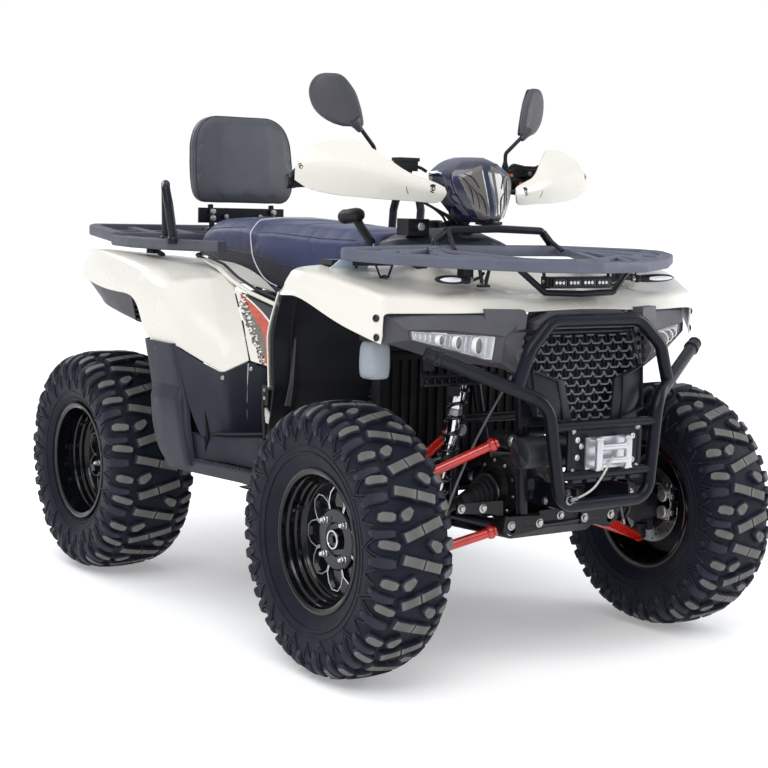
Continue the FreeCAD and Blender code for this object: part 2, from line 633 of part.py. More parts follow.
# ---------------------------------------------------------------- rear fenders
rows = [
    [(215, 130, 802), (215, 330, 890), (215, 560, 905), (215, 760, 905), (215, 900, 895)],
    [(330, 122, 832), (330, 330, 900), (330, 560, 912), (330, 760, 915), (330, 920, 905)],
    [(430, 150, 840), (440, 330, 898), (440, 560, 910), (440, 790, 918), (430, 905, 890)],
    [(500, 170, 835), (520, 300, 880), (530, 480, 890), (520, 700, 905), (455, 900, 866)],
    [(530, 170, 800), (550, 300, 830), (552, 420, 835), (535, 620, 835), (470, 850, 835)],
]
parts = []
for s in (1, -1):
    top = skin([[mir(p, s) for p in row] for row in rows], val("skin"), "rear_top", -s)
    parts.append(top)
group("rear_fenders", parts)
parts = []
for s in (1, -1):
    m = lambda *p: mir(p, s)
    parts.append(skin([
        [m(345, 118, 822), m(440, 150, 826), m(500, 168, 820), m(548, 250, 800), m(552, 322, 812)],
        [m(380, 20, 740), m(450, 60, 745), m(505, 100, 748), m(549, 180, 752), m(553, 290, 760)],
        [m(400, -60, 668), m(458, -30, 650), m(505, -55, 641), m(549, 120, 704), m(553, 255, 704)]],
        val("skin"), "side_panel", -s))
group("side_panels", parts)

# ---------------------------------------------------------------- lower guards and footwells
parts = []
for s in (1, -1):
    m = lambda *p: mir(p, s)
    guard = skin([
        [m(556, 262, 700), m(556, 200, 698), m(552, 110, 698), m(508, -58, 635), m(405, -40, 655), m(300, -40, 660)],
        [m(556, 214, 560), m(556, 160, 560), m(545, 90, 560), m(470, 10, 560), m(380, -20, 560), m(300, -20, 560)],
        [m(556, 182, 440), m(556, 130, 440), m(500, 60, 470), m(430, 0, 490), m(370, -10, 490), m(300, -10, 490)]],
        val("skin"), "guard_skin", -s)
    floor = [m(553, 90, 372), m(500, -236, 372), m(180, -236, 372), m(180, 200, 372), m(520, 190, 372), m(553, 150, 372)]
    parts.append(guard)
    parts.append(slab(floor, (0, 0, 30), "floor_board"))
group("footwells", parts)

# ---------------------------------------------------------------- seat, backrest, tank cover
seat = loft([
    [(-110, -190, 930), (110, -190, 930), (120, -180, 985), (0, -185, 1010), (-120, -180, 985)],
    [(-150, -60, 880), (150, -60, 880), (150, -70, 985), (0, -70, 1018), (-150, -70, 985)],
    [(-185, 140, 850), (185, 140, 850), (160, 110, 990), (0, 110, 1022), (-160, 110, 990)],
    [(-205, 360, 880), (205, 360, 880), (180, 350, 1000), (0, 350, 1028), (-180, 350, 1000)],
    [(-205, 560, 905), (205, 560, 905), (190, 560, 990), (0, 560, 1022), (-190, 560, 990)],
    [(-190, 690, 915), (190, 690, 915), (150, 685, 985), (0, 685, 1010), (-150, 685, 985)],
], "cushion")
made(seat, "seat")
pad = loft([
    [(-158, 702, 1063), (158, 702, 1063), (144, 746, 1063), (-144, 746, 1063)],
    [(-187, 704, 1104), (187, 704, 1104), (166, 760, 1104), (-166, 760, 1104)],
    [(-184, 712, 1230), (184, 712, 1230), (166, 772, 1230), (-166, 772, 1230)],
    [(-158, 722, 1310), (158, 722, 1310), (142, 774, 1310), (-142, 774, 1310)],
    [(-110, 732, 1338), (110, 732, 1338), (95, 766, 1338), (-95, 766, 1338)],
], "pad")
made(pad, "backrest")
parts = []
for s in (1, -1):
    m = lambda *p: mir(p, s)
    parts.append(tube([m(107, 720, 979.4), m(107, 735, 1061.4)], "handle_tube", stem="leg"))
parts.append(box((-150, 728, 1006), (150, 734, 1052), "leg_plate"))
brackets.append(fuse("backrest_frame", parts, False))
group("brackets", brackets)
tank = loft([
    [(-120, -470, 880), (120, -470, 880), (100, -470, 985), (0, -470, 1000), (-100, -470, 985)],
    [(-150, -340, 870), (150, -340, 870), (120, -340, 1000), (0, -340, 1025), (-120, -340, 1000)],
    [(-150, -200, 870), (150, -200, 870), (115, -200, 985), (0, -200, 1012), (-115, -200, 985)],
], "cover")
column_hole = rod((0, -590, 222), (0, -240, 1490), 30, "column_hole")
group("body_trim", [cut("tank_cover", tank, column_hole, False), nose])

# ---------------------------------------------------------------- drive housings and half shafts
DZ = val("drive_height")
axles = {}
for label, ty, tx, reach in (("front_axle", "axle_front_y", "track_front", 352), ("rear_axle", "axle_rear_y", "track_rear", 330)):
    y = val(ty)
    inner = -1 if y > 0 else 1
    parts = [rod((-58, y, DZ), (58, y, DZ), 74), rod((-92, y, DZ), (92, y, DZ), 34),
             rod((0, y, DZ - 28), (0, y + inner * 130, DZ - 28), 26)]
    for s in (1, -1):
        a, b = V(s * 84, y, DZ), V(s * reach, y, ZA)
        run = lambda k: tuple(a + (b - a) * k)
        parts += [rod(tuple(a), tuple(b), 12), cone(tuple(a), run(0.32), 33, 16), cone(run(0.74), run(1.0), 16, 34)]
    axles[label] = fuse(label if label == "front_axle" else "rear_drive", parts, label == "front_axle")

# ---------------------------------------------------------------- suspension arms and shocks
AT = "arm_tube"
parts = []
for s in (1, -1):
    m = lambda *p: mir(p, s)
    bj = m(412, -650, 236)
    lower = [tube([m(150, -785, 335), bj], AT, stem="arm"), tube([m(150, -535, 335), bj], AT, stem="arm"),
             rod(m(150, -800, 335), m(150, -770, 335), 15), rod(m(150, -550, 335), m(150, -520, 335), 15),
             tube([m(292, -712, 281), m(292, -602, 281)], AT, stem="arm"), ball(bj, 14)]
    parts.append(fuse("lower_arm", lower, False))
    uj = m(405, -645, 408)
    upper = [tube([m(160, -792, 545), uj], AT, stem="arm"), tube([m(160, -600, 545), uj], AT, stem="arm"),
             rod(m(160, -807, 545), m(160, -777, 545), 15), rod(m(160, -615, 545), m(160, -585, 545), 15), ball(uj, 13)]
    parts.append(fuse("upper_arm", upper, False))
group("front_arms", parts)
parts = []
for s in (1, -1):
    m = lambda *p: mir(p, s)
    lower = [tube([m(150, 530, 335), m(362, 610, 240)], AT, stem="arm"), tube([m(150, 770, 335), m(362, 690, 240)], AT, stem="arm"),
             rod(m(150, 515, 335), m(150, 545, 335), 15), rod(m(150, 755, 335), m(150, 785, 335), 15),
             rod(m(362, 592, 240), m(362, 708, 240), 14)]
    parts.append(fuse("lower_arm", lower, False))
    upper = [tube([m(160, 520, 500), m(360, 612, 400)], AT, stem="arm"), tube([m(160, 790, 500), m(360, 692, 400)], AT, stem="arm"),
             rod(m(160, 505, 500), m(160, 535, 500), 15), rod(m(160, 775, 500), m(160, 805, 500), 15),
             rod(m(360, 595, 400), m(360, 709, 400), 13)]
    parts.append(fuse("upper_arm", upper, False))
group("rear_arms", parts)


def shock(top, low, s, r):
    """Coil-over shock: eyes, damper, rod, and the spring as turned plates over its outer size."""
    a, b = V(*mir(top, s)), V(*mir(low, s))
    at = lambda k: tuple(a + (b - a) * k)
    return fuse("shock_side", [rod(at(0), at(1), 8), rod(at(0.10), at(0.86), r), rod(at(0.62), at(0.96), 15),
                               rod(at(0.08), at(0.11), r + 4), rod(at(0.85), at(0.88), r + 4),
                               ball(at(0), 14), ball(at(1), 14)], False)


group("front_shocks", [shock((185, -672, 734), (285, -684, 310), s, 24) for s in (1, -1)])
group("rear_shocks", [shock((215, 684, 735), (296, 692, 296), s, 24) for s in (1, -1)])

# rear uprights, fixed to the arms
parts = []
for s in (1, -1):
    m = lambda *p: mir(p, s)
    wid = lambda x0, x1: sorted((x0 * s, x1 * s))
    a, b = wid(379, 397)
    up = [box((a, 612, 228), (b, 672, 412), "upright"), rod(m(366, 642, ZA), m(400, 642, ZA), 46),
          rod(m(396, 642, ZA), m(470, 642, ZA), "spindle")]
    parts.append(fuse("upright_side", up, False))
group("rear_axle", [axles["rear_axle"]] + parts)

# ---------------------------------------------------------------- front knuckles and tie rods
for tag, s in (("left", 1), ("right", -1)):
    m = lambda *p: mir(p, s)
    a, b = sorted((408 * s, 432 * s))
    def block(x0, x1, y0, y1, z0, z1, stem):
        lo, hi = sorted((x0 * s, x1 * s))
        return box((lo, y0, z0), (hi, y1, z1), stem)

    parts = [block(404, 444, -664, -636, 257, 270, "lug"), block(391, 444, -660, -630, 377, 391, "lug"),
             block(424, 444, -668, -616, 254, 391, "upright"),
             rod(m(402, -642, ZA), m(444, -642, ZA), 42), rod(m(440, -642, ZA), m(497, -642, ZA), "spindle"),
             tube([m(428, -640, 384), m(402, -575, 387), m(386, -538, 387)], "frame_brace", 20, "steer_arm"),
             block(432, 450, -742, -700, 290, 376, "caliper"), block(424, 436, -742, -660, 320, 350, "caliper_arm")]
    fuse("knuckle_" + tag, parts)
for tag, s in (("left", 1), ("right", -1)):
    m = lambda *p: mir(p, s)
    fuse("tie_rod_" + tag, [rod(m(386, -538, 412), m(48, -432, 448), 8), ball(m(386, -538, 412), 11), ball(m(48, -432, 448), 11)])

# ---------------------------------------------------------------- steering
TOP, LOW = V(0, -345, 1100), V(0, -530, 430)
up = (TOP - LOW).normalize()
at = lambda d: tuple(LOW + up * d)
parts = [rod(at(0), tuple(TOP - up * 9), "column_tube"), box((-60, -537, 426), (60, -420, 434), "pitman")]
fuse("steering_column", parts)
parts = []
bar = tube([(-430, -288, 1128), (-250, -318, 1142), (-110, -345, 1118), (110, -345, 1118), (250, -318, 1142), (430, -288, 1128)],
           "bar_tube", 60, "bar")
fuse("handlebar", [bar, box((-45, -362, 1103), (45, -328, 1138), "clamp")])
parts = []
for s in (1, -1):
    m = lambda *p: mir(p, s)
    a, b = V(*m(300, -309.7, 1138.1)), V(*m(440, -286.3, 1127.2))
    parts.append(cut("grip_side", rod(tuple(a), tuple(b), "grip_tube"), rod(tuple(a - (b - a) * 0.1), tuple(a + (b - a) * 0.93), E("bar_tube", 1, 0.3)), False))
group("grips", parts)
parts = []
for s in (1, -1):
    m = lambda *p: mir(p, s)
    parts.append(skin([
        [m(110, -462, 1124), m(200, -428, 1158), m(300, -350, 1222), m(365, -336, 1227), m(452, -330, 1180)],
        [m(106, -470, 1108), m(200, -448, 1125), m(300, -400, 1155), m(385, -365, 1165), m(466, -338, 1160)],
        [m(120, -462, 1086), m(200, -440, 1090), m(305, -395, 1094), m(380, -362, 1100), m(430, -342, 1112)]],
        val("skin"), "hand_guard", s))
group("hand_guards", parts)
parts = []
for s in (1, -1):
    m = lambda *p: mir(p, s)
    stalk = tube([m(209, -300, 1160), m(209, -300, 1236), m(262, -292, 1284)], "handle_tube", 12, "stalk")
    turn = math.radians(28)

    def face(u, t, z):
        """u runs along the glass, outboard; t through the shell, rearward."""
        return m(318 + u * math.cos(turn) - t * math.sin(turn), -272 + u * math.sin(turn) + t * math.cos(turn), z)

    def ring(u0, u1, t0, t1, z):
        return [face(u0, t0, z), face(u1, t0, z), face(u1, t1, z), face(u0, t1, z)]

    head = loft([ring(-14, 16, -8, 8, 1263), ring(-62, 40, -15, 13, 1282), ring(-60, 60, -20, 15, 1325),
                 ring(-44, 58, -18, 15, 1368), ring(-26, 30, -10, 10, 1394)], "mirror_head")
    parts.append(fuse("mirror_side", [stalk, head], False))
group("mirrors", parts)
pod = loft([
    [(-48, -500, 1036), (48, -500, 1036), (55, -420, 1050), (-55, -420, 1050)],
    [(-100, -470, 1110), (100, -470, 1110), (72, -385, 1110), (-72, -385, 1110)],
    [(-104, -448, 1158), (104, -448, 1158), (70, -370, 1160), (-70, -370, 1160)],
    [(-60, -430, 1198), (60, -430, 1198), (50, -385, 1196), (-50, -385, 1196)]], "pod")
made(pod, "instrument_pod")
parts = []
for s in (1, -1):
    m = lambda *p: mir(p, s)
    a, b = sorted((232 * s, 290 * s))
    parts.append(box((a, -340, 1155), (b, -290, 1185), "reservoir"))
group("controls", parts)

# ---------------------------------------------------------------- control cables down to the column, front brake hoses
column = lambda z: -530 + (z - 430) * 185.0 / 670.0
parts = []
for s, ends in ((-1, ((-21, 2), (-15, -14), (-3, -21))), (1, ((21, 2), (15, -14)))):
    for k, (ox, oy) in enumerate(ends):
        parts.append(tube([(s * 152, -346 - k * 8, 1110 - k * 2), (s * 140, -388 - k * 9, 1094 - k * 4),
                           (s * (90 - k * 3), -402 - k * 10, 1068 - k * 4), (ox, column(1038) + oy, 1038),
                           (ox, column(988) + oy, 988)], "cable_wire", 30, "cable"))
group("cables", parts)
parts = []
for s in (1, -1):
    m = lambda *p: mir(p, s)
    parts.append(tube([m(128, -772, 690), m(166, -746, 606), m(212, -726, 505), m(264, -722, 392), m(293, -716, 300)],
                      "hose_wire", 60, "hose"))
group("brake_hoses", parts)

# ---------------------------------------------------------------- tail: lamps, hitch, muffler, lever
parts = []
for s in (1, -1):
    a, b = sorted((300 * s, 400 * s))
    parts.append(box((a, 905, 800), (b, 935, 850), "tail"))
group("tail_lights", parts)
parts = [box((-30, 812, 330), (30, 905, 338), "tongue"), box((-60, 812, 300), (60, 818, 380), "tongue")]
cut("hitch", fuse("hitch_solid", parts, False), rod((0, 880, 320), (0, 880, 350), "hitch_pin", "pin_hole"))
parts = [rod((-38, 560, 590), (-38, 870, 620), 58), rod((-38, 860, 619), (-38, 930, 626), 18)]
fuse("muffler", parts)
parts = [tube([(-172, -290, 900), (-188, -268, 985), (-199, -212, 1044)], "handle_tube", 30, "lever"),
         rod((-200, -226, 1047), (-200, -154, 1042), 19), ball((-200, -226, 1047), 19), ball((-200, -154, 1042), 19)]
fuse("gear_lever", parts)

# ---------------------------------------------------------------- check and write
doc.recompute()
bad = [o.Label + " " + str(o.State) for o in doc.Objects if "Invalid" in o.State or "Error" in o.State]
if bad:
    raise RuntimeError("failed objects: " + "; ".join(bad))
for o in NODES:
    if o.Shape.isNull() or not o.Shape.isValid():
        raise RuntimeError("bad shape: " + o.Label)
if len(NODES) > 60:
    raise RuntimeError("too many nodes")
os.makedirs("parts", exist_ok=True)
for o in NODES:
    o.Shape.exportStep("parts/" + o.Label + ".step")
    print("%-20s %3d solids %10.1f cm3" % (o.Label, len(o.Shape.Solids), o.Shape.Volume / 1000.0))
print(len(NODES), "nodes")
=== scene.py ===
import bpy, bmesh, math, random
import numpy as np
from mathutils import Vector, Matrix


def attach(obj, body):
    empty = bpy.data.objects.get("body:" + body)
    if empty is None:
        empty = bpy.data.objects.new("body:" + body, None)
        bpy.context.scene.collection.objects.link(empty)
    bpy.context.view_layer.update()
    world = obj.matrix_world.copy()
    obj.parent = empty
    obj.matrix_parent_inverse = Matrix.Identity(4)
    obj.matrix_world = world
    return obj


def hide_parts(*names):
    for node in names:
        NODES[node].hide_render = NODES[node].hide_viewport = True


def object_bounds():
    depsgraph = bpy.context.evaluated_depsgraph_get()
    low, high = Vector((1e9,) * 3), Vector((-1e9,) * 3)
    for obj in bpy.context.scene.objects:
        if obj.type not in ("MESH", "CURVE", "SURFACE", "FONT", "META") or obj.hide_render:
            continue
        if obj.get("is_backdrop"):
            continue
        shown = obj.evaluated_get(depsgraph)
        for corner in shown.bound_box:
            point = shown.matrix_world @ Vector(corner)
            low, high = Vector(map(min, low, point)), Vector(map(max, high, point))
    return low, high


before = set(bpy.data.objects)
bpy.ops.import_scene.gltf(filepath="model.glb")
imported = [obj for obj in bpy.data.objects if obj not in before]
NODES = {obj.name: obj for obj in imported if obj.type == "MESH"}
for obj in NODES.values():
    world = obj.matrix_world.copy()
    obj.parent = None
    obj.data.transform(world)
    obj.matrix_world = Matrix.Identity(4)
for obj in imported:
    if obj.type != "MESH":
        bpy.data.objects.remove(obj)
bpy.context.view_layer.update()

RNG = random.Random(7)
COL = bpy.context.scene.collection

# ---------------------------------------------------------------- geometry helpers, all in millimetres


class Geo:
    """Collects vertices and faces with material indices, then becomes one object."""

    def __init__(self):
        self.v, self.f, self.m, self.s = [], [], [], []

    def add(self, verts, faces, m=0, smooth=True, M=None):
        n = len(self.v)
        if M is not None:
            verts = [M @ Vector(p) for p in verts]
        self.v += [tuple(p) for p in verts]
        self.f += [tuple(i + n for i in f) for f in faces]
        self.m += [m] * len(faces)
        self.s += [smooth] * len(faces)
        return self

    def obj(self, name, mats, body="root", slot=None, sharp=35, bevel=0.0, seg=2, angle=40, weld=False, subsurf=0, solid=0.0,
            off=-1.0):
        me = bpy.data.meshes.new(name)
        me.from_pydata([(a * 0.001, b * 0.001, c * 0.001) for a, b, c in self.v], [], self.f)
        for m in (mats if isinstance(mats, (list, tuple)) else [mats]):
            me.materials.append(m)
        me.polygons.foreach_set("material_index", self.m)
        me.polygons.foreach_set("use_smooth", self.s)
        me.validate()
        me.update()
        o = bpy.data.objects.new(name, me)
        COL.objects.link(o)
        if sharp:
            me.set_sharp_from_angle(angle=math.radians(sharp))
        if weld:
            w = o.modifiers.new("weld", "WELD")
            w.merge_threshold = 0.00002
        if subsurf:
            s = o.modifiers.new("subd", "SUBSURF")
            s.levels = s.render_levels = subsurf
        if solid:
            s = o.modifiers.new("solid", "SOLIDIFY")
            s.thickness, s.offset, s.use_even_offset = solid * 0.001, off, True
            s.thickness_clamp = 1.5
        if bevel:
            b = o.modifiers.new("bevel", "BEVEL")
            b.width, b.segments, b.limit_method, b.angle_limit = bevel * 0.001, seg, "ANGLE", math.radians(angle)
            b.harden_normals = True
            b.miter_outer = "MITER_ARC"
        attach(o, body)
        return o


def V(*a):
    return Vector(a)


def mir(p, s):
    return (p[0] * s, p[1], p[2])


def frame_at(origin, z, x=None):
    """Matrix whose local z is the given direction."""
    z = Vector(z).normalized()
    x = Vector(x) if x is not None else (Vector((1, 0, 0)) if abs(z.x) < 0.9 else Vector((0, 1, 0)))
    x = (x - z * x.dot(z)).normalized()
    y = z.cross(x)
    return Matrix(((x.x, y.x, z.x, origin[0]), (x.y, y.y, z.y, origin[1]), (x.z, y.z, z.z, origin[2]), (0, 0, 0, 1)))


def rounded(pts, rad, n=6, closed=False):
    """The polyline with its corners turned into arcs; rad is one number or one a corner."""
    pts = [Vector(p) for p in pts]
    k = len(pts)
    out = []
    for i in range(k):
        if not closed and i in (0, k - 1):
            out.append(pts[i])
            continue
        a, b, c = pts[i - 1], pts[i], pts[(i + 1) % k]
        r = rad[i if closed else i - 1] if isinstance(rad, (list, tuple)) else rad
        u, w = (a - b), (c - b)
        lu, lw = u.length, w.length
        u.normalize(); w.normalize()
        ang = u.angle(w)
        if r <= 0 or ang > math.pi - 0.02:
            out.append(b)
            continue
        d = min(r / math.tan(ang / 2), lu * 0.49, lw * 0.49)
        for j in range(n + 1):
            t = j / n
            out.append((b + u * d) * (1 - t) ** 2 + b * 2 * t * (1 - t) + (b + w * d) * t * t)
    return out


def tube(g, pts, r, seg=14, m=0, caps=True, rad=0, n=6, closed=False, flat=1.0):
    """A round bar along the points. r may be a list, one a point after rounding."""
    P = rounded(pts, rad, n, closed) if rad else [Vector(p) for p in pts]
    k = len(P)
    rs = r if isinstance(r, (list, tuple)) else [r] * k
    T = []
    for i in range(k):
        a = P[i - 1] if (i or closed) else P[0]
        b = P[(i + 1) % k] if (i < k - 1 or closed) else P[k - 1]
        T.append((b - a).normalized())
    up = Vector((0, 0, 1)) if abs(T[0].z) < 0.95 else Vector((0, 1, 0))
    x = (up - T[0] * up.dot(T[0])).normalized()
    verts = []
    for i in range(k):
        x = (x - T[i] * x.dot(T[i])).normalized()
        y = T[i].cross(x)
        for j in range(seg):
            a = 2 * math.pi * j / seg
            verts.append(P[i] + x * math.cos(a) * rs[i] * flat + y * math.sin(a) * rs[i])
    faces = []
    for i in range(k if closed else k - 1):
        for j in range(seg):
            a, b = i * seg + j, i * seg + (j + 1) % seg
            c, d = ((i + 1) % k) * seg + (j + 1) % seg, ((i + 1) % k) * seg + j
            faces.append((a, b, c, d))
    g.add(verts, faces, m)
    if caps and not closed:
        g.add(verts[:seg], [tuple(range(seg))[::-1]], m, False)
        g.add(verts[-seg:], [tuple(range(seg))], m, False)
    return P


def lathe(g, prof, seg=48, m=0, M=None, closed=False, ms=None, arc=None):
    """Turns (radius, height) points about local z. ms gives a material for each span."""
    k = len(prof)
    verts, faces, mi = [], [], []
    for j in range(seg):
        a = 2 * math.pi * j / seg
        for r, h in prof:
            verts.append((r * math.cos(a), r * math.sin(a), h))
    for j in range(seg):
        q = (j + 1) % seg
        for i in range(k if closed else k - 1):
            n = (i + 1) % k
            faces.append((j * k + i, q * k + i, q * k + n, j * k + n))
            mi.append(ms[i] if ms else m)
    n0 = len(g.m)
    g.add(verts, faces, m, True, M)
    if ms:
        g.m[n0:] = mi


def disc(g, r, h0, h1, seg=24, m=0, M=None, ch=0.0):
    """A turned closed puck from h0 to h1 with chamfered rims."""
    ch = ch or min(r * 0.08, abs(h1 - h0) * 0.25)
    prof = [(0.0001, h0), (r - ch, h0), (r, h0 + ch), (r, h1 - ch), (r - ch, h1), (0.0001, h1)]
    lathe(g, prof, seg, m, M)


def block(g, lo, hi, m=0, M=None):
    x0, y0, z0 = lo
    x1, y1, z1 = hi
    v = [(x0, y0, z0), (x1, y0, z0), (x1, y1, z0), (x0, y1, z0), (x0, y0, z1), (x1, y0, z1), (x1, y1, z1), (x0, y1, z1)]
    f = [(0, 3, 2, 1), (4, 5, 6, 7), (0, 1, 5, 4), (1, 2, 6, 5), (2, 3, 7, 6), (3, 0, 4, 7)]
    g.add(v, f, m, False, M)


def prism(g, pts, vec, m=0, M=None, smooth=False):
    """A flat outline pushed along vec."""
    k = len(pts)
    a = [Vector(p) for p in pts]
    b = [p + Vector(vec) for p in a]
    nrm = Vector((0, 0, 0))
    for i in range(k):
        nrm += (a[i] - a[0]).cross(a[(i + 1) % k] - a[0])
    flip = nrm.dot(Vector(vec)) > 0
    f = [tuple(range(k)), tuple(range(2 * k - 1, k - 1, -1))]
    f += [(i, k + i, k + (i + 1) % k, (i + 1) % k) for i in range(k)]
    if flip:
        f = [tuple(reversed(x)) for x in f]
    g.add(a + b, f, m, smooth, M)


def bolt(g, at, n, r=5.0, h=3.5, m=0, kind="hex", washer=0.0, spin=0.0):
    """A bolt head whose face points along n: hex, or a round button with a socket."""
    M = frame_at(at, n) @ Matrix.Rotation(spin, 4, "Z")
    if washer:
        lathe(g, [(0.01, 1.3), (washer * 0.93, 1.3), (washer, 0.8), (washer, -1.5)], 20, m, M)
    z0 = 1.2 if washer else -1.0
    if kind == "hex":
        v, f = [], []
        rings = [(r, z0), (r, h * 0.8), (r * 0.86, h), (r * 0.5, h)]
        for rr, z in rings:
            v += [(rr * math.cos(math.pi / 3 * i), rr * math.sin(math.pi / 3 * i), z) for i in range(6)]
        for a in range(3):
            f += [(a * 6 + i, a * 6 + (i + 1) % 6, (a + 1) * 6 + (i + 1) % 6, (a + 1) * 6 + i) for i in range(6)]
        f.append(tuple(range(18, 24)))
        g.add(v, f, m, False, M)
    else:
        lathe(g, [(0.01, h * 0.45), (r * 0.42, h * 0.45), (r * 0.45, h * 0.95), (r * 0.75, h * 0.85), (r * 0.97, h * 0.4), (r, z0)],
              16, m, M)


def weights(n, r, res=3, arc=5):
    """Rows of weights that sample a polyline of n points with its corners rounded: r[i] is the share of each
    neighbouring span that corner i takes."""
    W, where = [], []
    r = [0.0] + list(r) + [0.0]
    for k in range(n):
        if r[k] > 0:
            for j in range(arc + 1):
                t = j / arc
                w = [0.0] * n
                w[k - 1] += (1 - t) ** 2 * r[k]
                w[k] += (1 - t) ** 2 * (1 - r[k]) + 2 * t * (1 - t) + t * t * (1 - r[k])
                w[k + 1] += t * t * r[k]
                W.append(w)
                where.append(k - r[k] + 2 * r[k] * t)
        else:
            w = [0.0] * n
            w[k] = 1.0
            W.append(w)
            where.append(float(k))
        if k < n - 1:
            a, b = r[k], 1 - r[k + 1]
            if b - a > 0.02:
                for j in range(1, res + 1):
                    t = a + (b - a) * j / (res + 1)
                    w = [0.0] * n
                    w[k], w[k + 1] = 1 - t, t
                    W.append(w)
                    where.append(k + t)
    return np.array(W), np.array(where)


def patch(P, ru, rv, resu=3, resv=3, arc=5, bend=None):
    """Points of a surface over the grid P (rows of points), corners rounded both ways. bend(u, v, p, n) may move a point."""
    P = np.array(P, float)
    Wu, U = weights(P.shape[0], ru, resu, arc)
    Wv, Vv = weights(P.shape[1], rv, resv, arc)
    S = np.einsum("ai,ijc,bj->abc", Wu, P, Wv)
    if bend is not None:
        du, dv = np.gradient(S, axis=0), np.gradient(S, axis=1)
        N = np.cross(du, dv)
        N /= np.maximum(np.linalg.norm(N, axis=2, keepdims=True), 1e-9)
        for a in range(S.shape[0]):
            for b in range(S.shape[1]):
                S[a, b] += bend(U[a], Vv[b], S[a, b], N[a, b])
    return S, U, Vv


def sheet_faces(na, nb, flip=False):
    f = []
    for a in range(na - 1):
        for b in range(nb - 1):
            q = (a * nb + b, (a + 1) * nb + b, (a + 1) * nb + b + 1, a * nb + b + 1)
            f.append(q[::-1] if flip else q)
    return f


def add_patch(g, S, m=0, flip=False, s=1, cut=None, U=None, Vv=None, pick=None):
    """Adds the surface S; s=-1 mirrors it. cut(u, v) leaves a face out; pick(u, v) gives its material."""
    na, nb = S.shape[:2]
    pts = [(p[0] * s, p[1], p[2]) for row in S for p in row]
    if s < 0:
        flip = not flip
    faces, mi = [], []
    for a in range(na - 1):
        for b in range(nb - 1):
            if cut and cut((U[a] + U[a + 1]) / 2, (Vv[b] + Vv[b + 1]) / 2):
                continue
            q = (a * nb + b, (a + 1) * nb + b, (a + 1) * nb + b + 1, a * nb + b + 1)
            faces.append(q[::-1] if flip else q)
            mi.append(pick((U[a] + U[a + 1]) / 2, (Vv[b] + Vv[b + 1]) / 2) if pick else m)
    n0 = len(g.m)
    g.add(pts, faces, m, True)
    g.m[n0:] = mi


def closed_patch(g, S, m=0, flip=False, s=1, thick=4.0, m2=None, lip=0.0):
    """The surface S as a closed plate: its other side lies thick behind it, joined round the rim, which is rolled over."""
    S = np.array(S, float)
    na, nb = S.shape[:2]
    du, dv = np.gradient(S, axis=0), np.gradient(S, axis=1)
    N = np.cross(du, dv)
    N /= np.maximum(np.linalg.norm(N, axis=2, keepdims=True), 1e-9)
    if flip:
        N = -N
    B = S - N * thick
    ring = [(0, b) for b in range(nb)] + [(a, nb - 1) for a in range(1, na)] + [(na - 1, b) for b in range(nb - 2, -1, -1)] + \
           [(a, 0) for a in range(na - 2, 0, -1)]
    pts = [tuple(p) for row in S for p in row] + [tuple(p) for row in B for p in row]
    n = na * nb
    faces = [q[::-1] if flip else q for q in sheet_faces(na, nb)]
    back = [tuple(i + n for i in (q if flip else q[::-1])) for q in sheet_faces(na, nb)]
    rim = []
    k = len(ring)
    mid = []
    for a, b in ring:  # a rounded rim: one more row, pushed out by a third of the thickness
        c = (S[a, b] + B[a, b]) / 2
        ia, ib = min(max(a, 1), na - 2), min(max(b, 1), nb - 2)
        o = S[a, b] - S[ia, ib]
        o -= N[a, b] * o.dot(N[a, b])
        L = np.linalg.norm(o)
        mid.append(tuple(c + (o / L if L > 1e-9 else 0) * (thick * 0.35 + lip)))
    pts += mid
    for i in range(k):
        j = (i + 1) % k
        a0, a1 = ring[i][0] * nb + ring[i][1], ring[j][0] * nb + ring[j][1]
        q1 = (a0, a1, 2 * n + j, 2 * n + i)
        q2 = (2 * n + i, 2 * n + j, a1 + n, a0 + n)
        rim += [q1, q2] if flip else [q1[::-1], q2[::-1]]
    if s < 0:
        pts = [(-p[0], p[1], p[2]) for p in pts]
        faces, back, rim = [f[::-1] for f in faces], [f[::-1] for f in back], [f[::-1] for f in rim]
    n0 = len(g.m)
    g.add(pts, faces + back + rim, m, True)
    if m2 is not None:
        g.m[n0 + len(faces):n0 + len(faces) + len(back)] = [m2] * len(back)

# ---------------------------------------------------------------- materials


def lin(*c):
    """sRGB bytes to linear colour."""
    return tuple((x / 255 / 12.92) if x / 255 <= 0.04045 else ((x / 255 + 0.055) / 1.055) ** 2.4 for x in c) + (1.0,)


def ramp(nt, stops, src, fac="Fac"):
    r = nt.nodes.new("ShaderNodeValToRGB")
    e = r.color_ramp.elements
    while len(e) < len(stops):
        e.new(0.5)
    for k, (pos, col) in enumerate(stops):
        e[k].position = pos
        e[k].color = col if len(col) == 4 else tuple(col) + (1.0,)
    nt.links.new(src, r.inputs[0])
    return r.outputs[0]


def noise(nt, co, scale, detail=3.0, rough=0.55, distort=0.0):
    n = nt.nodes.new("ShaderNodeTexNoise")
    n.inputs["Scale"].default_value = scale
    n.inputs["Detail"].default_value = detail
    n.inputs["Roughness"].default_value = rough
    n.inputs["Distortion"].default_value = distort
    nt.links.new(co, n.inputs["Vector"])
    return n.outputs["Fac"]


def mapped(nt, co, scale=(1, 1, 1), rot=(0, 0, 0)):
    m = nt.nodes.new("ShaderNodeMapping")
    m.inputs["Scale"].default_value = scale
    m.inputs["Rotation"].default_value = rot
    nt.links.new(co, m.inputs["Vector"])
    return m.outputs[0]


